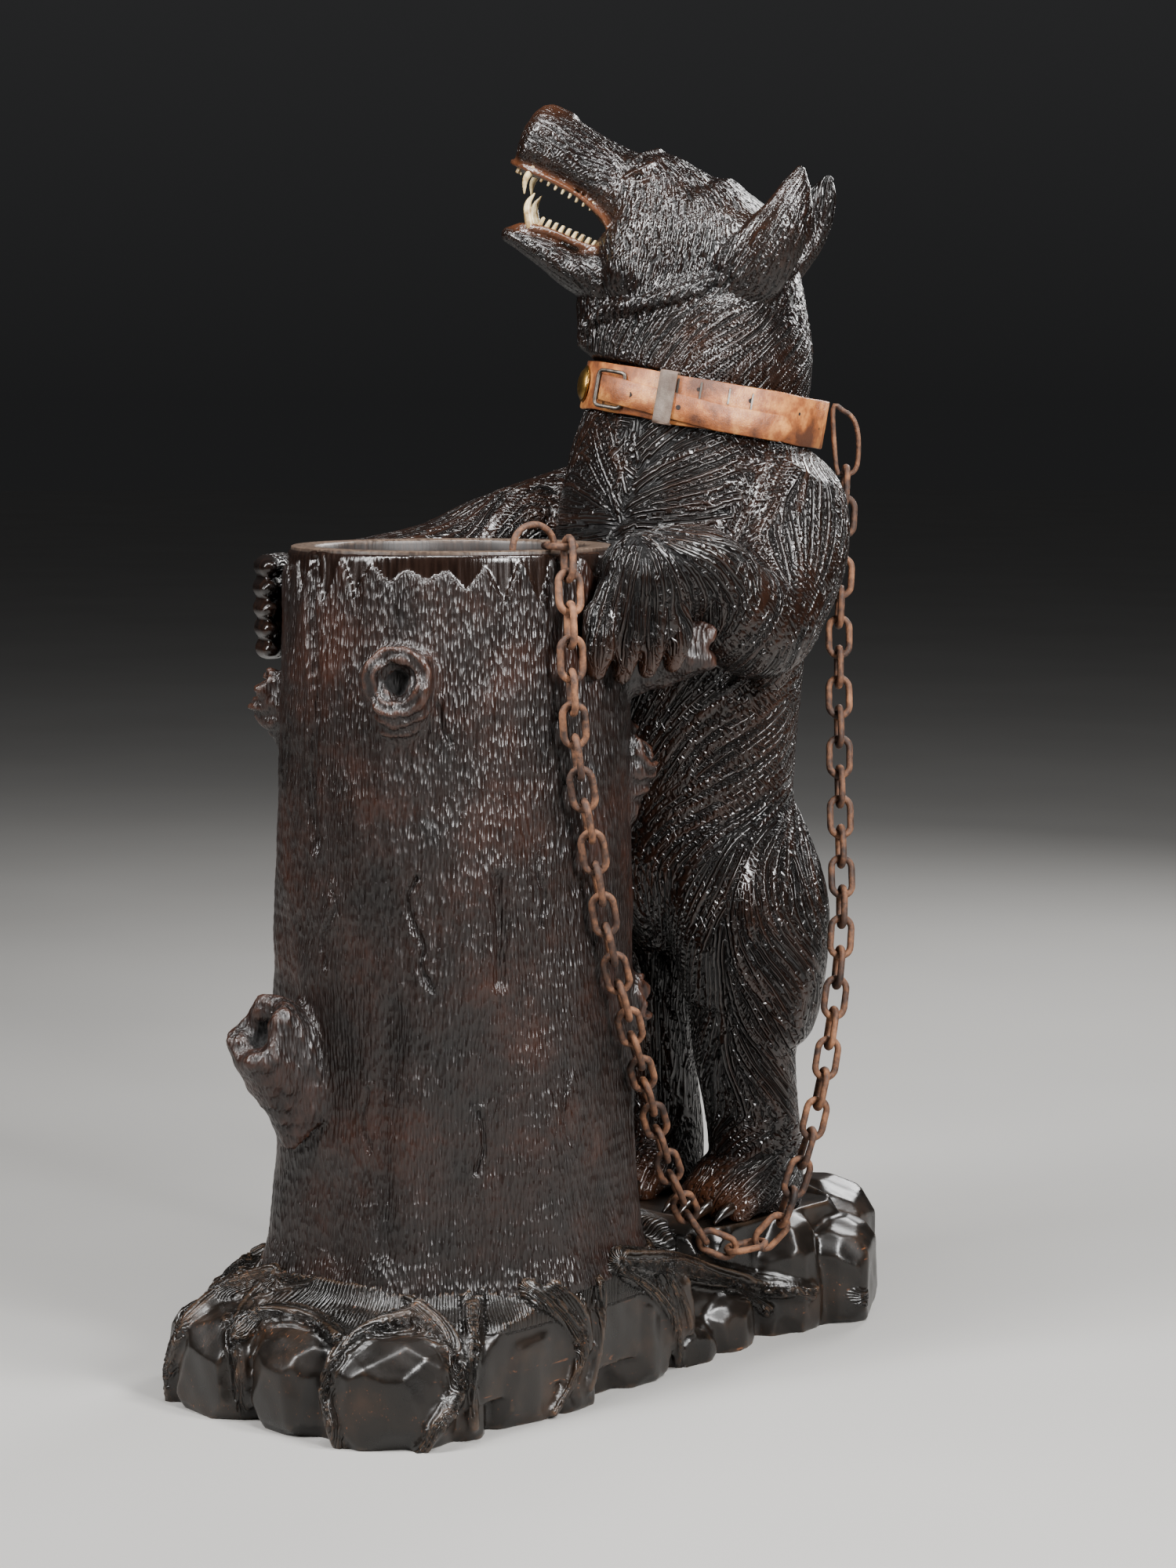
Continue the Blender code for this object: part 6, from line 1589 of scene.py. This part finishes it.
def strands(tree, across, spacing, stray, sway, where):
    """Round-backed strands side by side, this far apart, that stray a little and show only `where`."""
    turns = add(tree, "Math", {0: across, 1: math.pi / spacing}, operation='MULTIPLY')
    turns = add(tree, "Math", {0: stray, 1: sway, 2: turns}, operation='MULTIPLY_ADD')
    wave = add(tree, "Math", {0: turns}, operation='SINE')
    strand = add(tree, "Math", {0: wave}, operation='ABSOLUTE')
    return add(tree, "Math", {0: strand, 1: where}, operation='MULTIPLY')


def waxed_limewood():
    """Limewood, cut with a V tool, stained near black and waxed: strands catch long bright lines, and the
    stain has rubbed through to brown on the tips that hands and cloths reach; the grooves are painted near
    black as shade."""
    material, tree, place = finish("waxed_stained_limewood", IOR=1.52)
    across, lift, tone, hairy, worn = marks_of(tree, "across", "lift", "tone", "hairy", "worn")
    # strands 3.9 mm apart, a little uneven
    stray = add(tree, "TexNoise", {"Vector": place, "Scale": 45.0, "Detail": 2.0})
    strand = strands(tree, across, 0.0039, stray, 2.2, hairy)
    grooves = add(tree, "Bump", {"Height": strand, "Distance": 0.0020, "Strength": 1.0})
    grain = add(tree, "TexNoise", {"Vector": place, "Scale": 900.0, "Detail": 3.0})
    pores = add(tree, "Bump", {"Height": grain, "Distance": 0.00015, "Strength": 0.5, "Normal": grooves})
    patches = add(tree, "TexNoise", {"Vector": place, "Scale": 11.0, "Detail": 4.0, "Roughness": 0.6})
    stain = add(tree, "ValToRGB", {"Fac": patches},
                stops=((0.35, "#0a0605"), (0.55, "#120b08"), (0.72, "#22140d")))
    # painted shade: the colour goes to near black where the locks lie low and between the strands
    clear_of_groove_shade = add(tree, "MapRange", {"Value": lift, "From Min": 0.1, "From Max": 0.45, "To Min": 0.35,
                                    "To Max": 1.0})
    bald = add(tree, "Math", {0: 1.0, 1: hairy}, operation='SUBTRACT', use_clamp=True)
    crest = add(tree, "Math", {0: strand, 1: bald}, operation='ADD')
    crest = add(tree, "MapRange", {"Value": crest, "From Min": 0.1, "From Max": 0.5})
    clear_of_groove_shade = add(tree, "Math", {0: clear_of_groove_shade, 1: crest}, operation='MULTIPLY', use_clamp=True)
    # near black #020101 in the grooves is painted shade, mixed into the stain
    stain_and_groove_shade = add(tree, "Mix", {0: clear_of_groove_shade, 6: colour("#020101"), 7: stain}, data_type='RGBA', out=2)
    ridge = add(tree, "MapRange", {"Value": lift, "From Min": 0.72, "From Max": 0.98})
    rubbed = add(tree, "Math", {0: ridge, 1: patches}, operation='MULTIPLY')
    rubbed = add(tree, "Math", {0: rubbed, 1: tone}, operation='MULTIPLY')
    edged = add(tree, "Mix", {0: rubbed, 6: stain_and_groove_shade, 7: colour("#331d12")}, data_type='RGBA', out=2)
    bare = add(tree, "Mix", {0: worn, 6: edged, 7: colour("#5a3520")}, data_type='RGBA', out=2)
    gloss = add(tree, "MapRange", {"Value": grain, "From Min": 0.3, "From Max": 0.7, "To Min": 0.15,
                                   "To Max": 0.27})
    dull = add(tree, "MapRange", {"Value": clear_of_groove_shade, "From Max": 0.5, "To Min": 0.5, "To Max": 0.0})
    gloss = add(tree, "Math", {0: gloss, 1: dull}, operation='ADD', use_clamp=True)
    return finished(material, bare, gloss, pores)


def gouged_bark():
    """Limewood bark, struck with a small gouge in wavy rows, stained and waxed: thousands of short
    upright facets that sparkle, over a dark brown ground; the pit of each gouge is painted near black as
    shade."""
    material, tree, place = finish("gouged_stained_bark", IOR=1.5)
    peeled, proud, cut, hollow = marks_of(tree, "peeled", "proud", "cut", "hollow")
    rise = add(tree, "SeparateXYZ", {0: place}, out="Z")
    # ticks of a small gouge, 2.9 mm wide and 11 mm tall, in rows 11 mm high that rise and fall
    sway = add(tree, "TexNoise", {"Vector": place, "Scale": 9.0, "Detail": 1.0})
    level = add(tree, "Math", {0: sway, 1: 0.05, 2: rise}, operation='MULTIPLY_ADD')
    level = add(tree, "Math", {0: level, 1: 1 / BARK_ROW}, operation='MULTIPLY')
    share = add(tree, "Math", {0: level}, operation='FRACT')
    struck = add(tree, "Mapping", {"Vector": place, "Scale": (350, 350, 88)})
    cells = add(tree, "TexVoronoi", {"Vector": struck, "Scale": 1.0}, feature='F1')
    arch = add(tree, "Math", {0: share, 1: math.pi}, operation='MULTIPLY')
    arch = add(tree, "Math", {0: arch}, operation='SINE')
    arch = add(tree, "MapRange", {"Value": arch, "To Min": 0.88, "To Max": 1.0})
    gouge = add(tree, "Math", {0: cells, 1: arch}, operation='MULTIPLY')
    bald = add(tree, "Math", {0: proud, 1: 0.5}, operation='MULTIPLY')
    smooth = add(tree, "Math", {0: peeled, 1: bald}, operation='MAXIMUM')
    rough = add(tree, "Math", {0: 1.0, 1: smooth}, operation='SUBTRACT', use_clamp=True)
    height = add(tree, "Math", {0: gouge, 1: rough}, operation='MULTIPLY')
    bark = add(tree, "Bump", {"Height": height, "Distance": 0.0019, "Strength": 1.0})
    fibres = add(tree, "Mapping", {"Vector": place, "Scale": (260, 260, 22)})
    fibres = add(tree, "TexNoise", {"Vector": fibres, "Scale": 1.0, "Detail": 4.0})
    relief = add(tree, "Bump", {"Height": fibres, "Distance": 0.0008, "Strength": 0.6, "Normal": bark})
    patches = add(tree, "TexNoise", {"Vector": place, "Scale": 13.0, "Detail": 5.0, "Roughness": 0.65})
    stain = add(tree, "ValToRGB", {"Fac": patches},
                stops=((0.36, "#0e0806"), (0.52, "#190e0a"), (0.70, "#2c170f")))
    # painted shade: the pit of each gouge is coloured near black #040202, while peeled and smooth parts keep
    # the stain
    deep = add(tree, "MapRange", {"Value": height, "From Min": 0.0, "From Max": 0.35, "To Min": 0.45,
                                  "To Max": 1.0})
    dark = add(tree, "Math", {0: deep, 1: smooth}, operation='MAXIMUM')
    dull = add(tree, "MapRange", {"Value": dark, "From Min": 0.45, "From Max": 0.9, "To Min": 0.4,
                                  "To Max": 0.0})
    ground = add(tree, "Mix", {0: dark, 6: colour("#040202"), 7: stain}, data_type='RGBA', out=2)
    streaks = add(tree, "ValToRGB", {"Fac": fibres}, stops=((0.3, "#0f0907"), (0.7, "#1e130e")))
    ground = add(tree, "Mix", {0: peeled, 6: ground, 7: streaks}, data_type='RGBA', out=2)
    edge = add(tree, "NewGeometry", out="Pointiness")
    edge = add(tree, "MapRange", {"Value": edge, "From Min": 0.51, "From Max": 0.58})
    edge = add(tree, "Math", {0: edge, 1: proud}, operation='MULTIPLY')
    ground = add(tree, "Mix", {0: edge, 6: ground, 7: colour("#3a2217")}, data_type='RGBA', out=2)
    # painted shade: the bark's cracks, a little, and the hollows in the stubs, fully, are coloured near black
    # #080504
    crack_and_hollow_shade = add(tree, "Math", {0: cut, 1: 0.35}, operation='MULTIPLY')
    crack_and_hollow_shade = add(tree, "Math", {0: crack_and_hollow_shade, 1: hollow}, operation='MAXIMUM', use_clamp=True)
    ground = add(tree, "Mix", {0: crack_and_hollow_shade, 6: ground, 7: colour("#080504")}, data_type='RGBA', out=2)
    gloss = add(tree, "MapRange", {"Value": fibres, "From Min": 0.3, "From Max": 0.7, "To Min": 0.26,
                                   "To Max": 0.42})
    gloss = add(tree, "Math", {0: gloss, 1: dull}, operation='ADD')
    sheen = add(tree, "Math", {0: peeled, 1: -0.18, 2: gloss}, operation='MULTIPLY_ADD')
    gloss = add(tree, "Math", {0: hollow, 1: 0.5, 2: sheen}, operation='MULTIPLY_ADD')
    return finished(material, ground, gloss, relief)


def turned_rim_wood():
    """The end grain of the rim, worn bright by umbrellas, and the chiselled wall of the well below."""
    material, tree, place = finish("worn_rim_wood")
    height = add(tree, "SeparateXYZ", {0: place}, out="Z")
    fibres = add(tree, "Mapping", {"Vector": place, "Scale": (300, 300, 24)})
    fibres = add(tree, "TexNoise", {"Vector": fibres, "Scale": 1.0, "Detail": 4.0})
    top = add(tree, "MapRange", {"Value": height, "From Min": RIM_HEIGHT - 0.004, "From Max": RIM_HEIGHT})
    wall = add(tree, "ValToRGB", {"Fac": fibres}, stops=((0.3, "#0d0806"), (0.7, "#21140d")))
    worn = add(tree, "ValToRGB", {"Fac": fibres}, stops=((0.3, "#2c211b"), (0.7, "#66564a")))
    tint = add(tree, "Mix", {0: top, 6: wall, 7: worn}, data_type='RGBA', out=2)
    relief = add(tree, "Bump", {"Height": fibres, "Distance": 0.0008, "Strength": 0.6})
    gloss = add(tree, "MapRange", {"Value": top, "To Min": 0.55, "To Max": 0.3})
    return finished(material, tint, gloss, relief)


def chiselled_rock_wood():
    """Wood cut flat with a broad chisel to look like rock, black-brown and waxed to a shine."""
    material, tree, place = finish("chiselled_rock_wood", IOR=1.48)
    across, rooty = marks_of(tree, "across", "rooty")
    patches = add(tree, "TexNoise", {"Vector": place, "Scale": 14.0, "Detail": 5.0, "Roughness": 0.6})
    stain = add(tree, "ValToRGB", {"Fac": patches},
                stops=((0.35, "#090705"), (0.52, "#140f0b"), (0.68, "#2a1e15")))
    # root fibres 2.6 mm apart
    fibre = strands(tree, across, 0.0026, patches, 9.0, rooty)
    grooves = add(tree, "Bump", {"Height": fibre, "Distance": 0.0010, "Strength": 0.8})
    cuts = add(tree, "TexVoronoi", {"Vector": place, "Scale": 60.0}, feature='SMOOTH_F1')
    facets = add(tree, "Bump", {"Height": cuts, "Distance": 0.0012, "Strength": 0.35, "Normal": grooves})
    grain = add(tree, "TexNoise", {"Vector": place, "Scale": 500.0, "Detail": 3.0})
    pores = add(tree, "Bump", {"Height": grain, "Distance": 0.0002, "Strength": 0.4, "Normal": facets})
    # worn scratches, about 1.4 mm wide and 31 mm long, through to lighter wood
    drawn = add(tree, "Mapping", {"Vector": place, "Rotation": (0.5, 0.9, 0.3), "Scale": (700, 32, 320)})
    scratch = add(tree, "TexNoise", {"Vector": drawn, "Scale": 1.0, "Detail": 2.0})
    scratch = add(tree, "MapRange", {"Value": scratch, "From Min": 0.66, "From Max": 0.74})
    worn = add(tree, "MapRange", {"Value": patches, "From Min": 0.46, "From Max": 0.62})
    scratch = add(tree, "Math", {0: scratch, 1: worn}, operation='MULTIPLY')
    edge = add(tree, "NewGeometry", out="Pointiness")
    edge = add(tree, "MapRange", {"Value": edge, "From Min": 0.52, "From Max": 0.60})
    edge = add(tree, "Math", {0: edge, 1: patches}, operation='MULTIPLY')
    ground = add(tree, "Mix", {0: edge, 6: stain, 7: colour("#6b5340")}, data_type='RGBA', out=2)
    ground = add(tree, "Mix", {0: scratch, 6: ground, 7: colour("#7a4a2c")}, data_type='RGBA', out=2)
    gloss = add(tree, "MapRange", {"Value": patches, "From Min": 0.3, "From Max": 0.7, "To Min": 0.22,
                                   "To Max": 0.4})
    return finished(material, ground, gloss, pores)


def bridle_leather(name, low, middle, high, roughness):
    """Vegetable-tanned strap leather, darkened by handling, with rubbed pale patches and fine creases."""
    material, tree, place = finish(name)
    patches = add(tree, "TexNoise", {"Vector": place, "Scale": 28.0, "Detail": 6.0, "Roughness": 0.62})
    tint = add(tree, "ValToRGB", {"Fac": patches}, stops=((0.38, low), (0.50, middle), (0.62, high)))
    edge = add(tree, "NewGeometry", out="Pointiness")
    edge = add(tree, "MapRange", {"Value": edge, "From Min": 0.53, "From Max": 0.62, "To Max": 0.7})
    tint = add(tree, "Mix", {0: edge, 6: tint, 7: colour("#4a2c1c")}, data_type='RGBA', out=2)
    creases = add(tree, "TexVoronoi", {"Vector": place, "Scale": 420.0}, feature='DISTANCE_TO_EDGE')
    creases = add(tree, "MapRange", {"Value": creases, "From Max": 0.12})
    fine = add(tree, "Bump", {"Height": creases, "Distance": 0.00018, "Strength": 0.5})
    waves = add(tree, "TexNoise", {"Vector": place, "Scale": 160.0, "Detail": 4.0})
    relief = add(tree, "Bump", {"Height": waves, "Distance": 0.0006, "Strength": 0.5, "Normal": fine})
    gloss = add(tree, "MapRange", {"Value": patches, "From Min": 0.3, "From Max": 0.7,
                                   "To Min": roughness + 0.12, "To Max": roughness - 0.08})
    return finished(material, tint, gloss, relief)


def rusted_iron():
    """Forge-welded iron with a dry, even coat of brown and orange rust."""
    material, tree, place = finish("rusted_wrought_iron", Metallic=0.25)
    scale = add(tree, "TexNoise", {"Vector": place, "Scale": 120.0, "Detail": 6.0, "Roughness": 0.7})
    patches = add(tree, "TexNoise", {"Vector": place, "Scale": 24.0, "Detail": 4.0})
    mixed = add(tree, "Math", {0: scale, 1: 0.55}, operation='MULTIPLY')
    mixed = add(tree, "Math", {0: patches, 1: 0.45, 2: mixed}, operation='MULTIPLY_ADD')
    tint = add(tree, "ValToRGB", {"Fac": mixed},
               stops=((0.36, "#1d1410"), (0.46, "#412c21"), (0.55, "#6c4933"), (0.66, "#97694a")))
    relief = add(tree, "Bump", {"Height": scale, "Distance": 0.0014, "Strength": 0.9})
    gloss = add(tree, "MapRange", {"Value": scale, "From Min": 0.3, "From Max": 0.7, "To Min": 0.55,
                                   "To Max": 0.85})
    return finished(material, tint, gloss, relief)


def plain_metal(name, low, high, roughness, metallic=1.0, scale=90.0):
    """Old worked metal: darker in its film of tarnish, brighter in patches between."""
    material, tree, place = finish(name, Metallic=metallic)
    film = add(tree, "TexNoise", {"Vector": place, "Scale": scale, "Detail": 5.0, "Roughness": 0.65})
    tint = add(tree, "ValToRGB", {"Fac": film}, stops=((0.36, low), (0.62, high)))
    relief = add(tree, "Bump", {"Height": film, "Distance": 0.0003, "Strength": 0.5})
    gloss = add(tree, "MapRange", {"Value": film, "From Min": 0.3, "From Max": 0.7,
                                   "To Min": roughness + 0.12, "To Max": roughness - 0.06})
    return finished(material, tint, gloss, relief)


def carved_bone():
    """Bone teeth, yellowed, darker in patches."""
    material, tree, place = finish("yellowed_bone", Coat_Weight=0.2, Coat_Roughness=0.2)
    film = add(tree, "TexNoise", {"Vector": place, "Scale": 130.0, "Detail": 4.0})
    tint = add(tree, "ValToRGB", {"Fac": film}, stops=((0.36, "#8a6f47"), (0.62, "#cdb88a")))
    gloss = add(tree, "MapRange", {"Value": film, "To Min": 0.5, "To Max": 0.3})
    return finished(material, tint, gloss)


def dark_gloss(name, low, high, roughness):
    """Stained wood polished smooth, as on claws and eyes; it also gives the painted shade of a punched hole.
    """
    material, tree, place = finish(name)
    film = add(tree, "TexNoise", {"Vector": place, "Scale": 70.0, "Detail": 3.0})
    tint = add(tree, "ValToRGB", {"Fac": film}, stops=((0.4, low), (0.65, high)))
    gloss = add(tree, "MapRange", {"Value": film, "To Min": roughness + 0.08, "To Max": roughness - 0.05})
    return finished(material, tint, gloss)


def studio_floor():
    material, tree, place = finish("studio_floor", Roughness=0.9)
    film = add(tree, "TexNoise", {"Vector": place, "Scale": 1.5})
    tint = add(tree, "ValToRGB", {"Fac": film}, stops=((0.3, "#979592"), (0.7, "#9c9a97")))
    return finished(material, tint)


# The studio

# Soft boxes: name, place, what it faces, width and height, power in watts
LIGHTS = (
    ("key", (1.5, 0.20, 2.35), (0.1, 0, 0.75), (0.5, 0.7), 80),
    ("side", (2.3, -0.45, 1.45), (0, 0, 0.85), (0.5, 0.8), 95),
    ("front", (-0.2, -1.8, 2.4), (0, 0, 0.95), (0.5, 0.6), 75),
    ("left", (-0.6, -2.2, 1.6), (0, 0, 0.85), (0.4, 1.0), 45),
    ("top", (0.2, -0.5, 2.6), (0.05, 0, 0.6), (0.6, 0.6), 35),
    ("back", (-0.6, 2.6, 2.0), (0, 0.1, 0.6), (0.8, 1.4), 70),
)


def soft_box(name, place, target, size, power):
    light = bpy.data.lights.new(name, 'AREA')
    light.shape = 'RECTANGLE'
    light.size, light.size_y = size
    light.energy = power
    lamp = new_object(name, light)
    lamp.location = place
    lamp.rotation_euler = (Vector(target) - Vector(place)).to_track_quat('-Z', 'Y').to_euler()


def make_studio():
    mesh = bmesh.new()
    bmesh.ops.create_circle(mesh, cap_ends=True, segments=96, radius=30)
    data = data_of("floor", mesh)
    data.materials.append(studio_floor())
    floor = new_object("floor", data)
    world = bpy.data.worlds.new("studio")
    world.use_nodes = True
    world.node_tree.nodes["Background"].inputs["Color"].default_value = colour("#d4d5d8")
    sky = world.node_tree
    way = add(sky, "TexCoord", out="Generated")
    rise = add(sky, "SeparateXYZ", {0: way}, out="Z")
    fade = add(sky, "MapRange", {"Value": rise, "From Max": 0.3, "To Min": 0.022, "To Max": 0.06})
    sky.links.new(fade, sky.nodes["Background"].inputs["Strength"])
    bpy.context.scene.world = world
    for light in LIGHTS:
        soft_box(*light)


CAMERA_PLACE, CAMERA_LENS = Vector((2.21363, -2.18668, 0.87000)), 78.938
CAMERA_HEADING, CAMERA_TIP = math.radians(44.750), math.radians(6.404)


def make_camera():
    """From one corner and a little above, as the drawing was made, with the lens tipped down."""
    camera = new_object("camera", bpy.data.cameras.new("camera"))
    level = math.cos(CAMERA_TIP)
    ahead = Vector((-math.sin(CAMERA_HEADING) * level, math.cos(CAMERA_HEADING) * level,
                    -math.sin(CAMERA_TIP)))
    camera.location = CAMERA_PLACE + BENCH_SHIFT
    camera.rotation_euler = ahead.to_track_quat('-Z', 'Y').to_euler()
    camera.data.lens = CAMERA_LENS
    camera.data.sensor_width = 36
    camera.data.clip_start, camera.data.clip_end = 0.1, 100
    bpy.context.scene.camera = camera


limewood = waxed_limewood()
make_body(limewood)
make_head(limewood, dark_gloss("polished_eye_wood", "#0a0706", "#1c120c", 0.12))
make_teeth(carved_bone())
polished = dark_gloss("polished_claw_wood", "#0c0806", "#23170f", 0.15)
make_claws(polished)
make_bark(gouged_bark())
make_well(turned_rim_wood())
make_base(chiselled_rock_wood())
rust = rusted_iron()
make_chain(rust)
make_collar_ring(rust)
make_staple(rust)
tan = bridle_leather("tan_bridle_leather", "#4c2813", "#874c25", "#c08145", 0.46)
make_band(tan)
make_strap(tan)
make_keeper(bridle_leather("grey_worn_leather", "#4b4038", "#655a50", "#80756a", 0.6))
make_hole_shadows(dark_gloss("hole_shadow", "#120b07", "#22140c", 0.8))
iron = plain_metal("forged_dark_iron", "#37322e", "#6d665f", 0.45)
make_collar_staples(plain_metal("worn_steel", "#6f6a64", "#a8a29a", 0.4))
make_buckle(iron)
make_boss(plain_metal("old_spun_brass", "#5c4423", "#b8924f", 0.32))
make_studio()
make_camera()
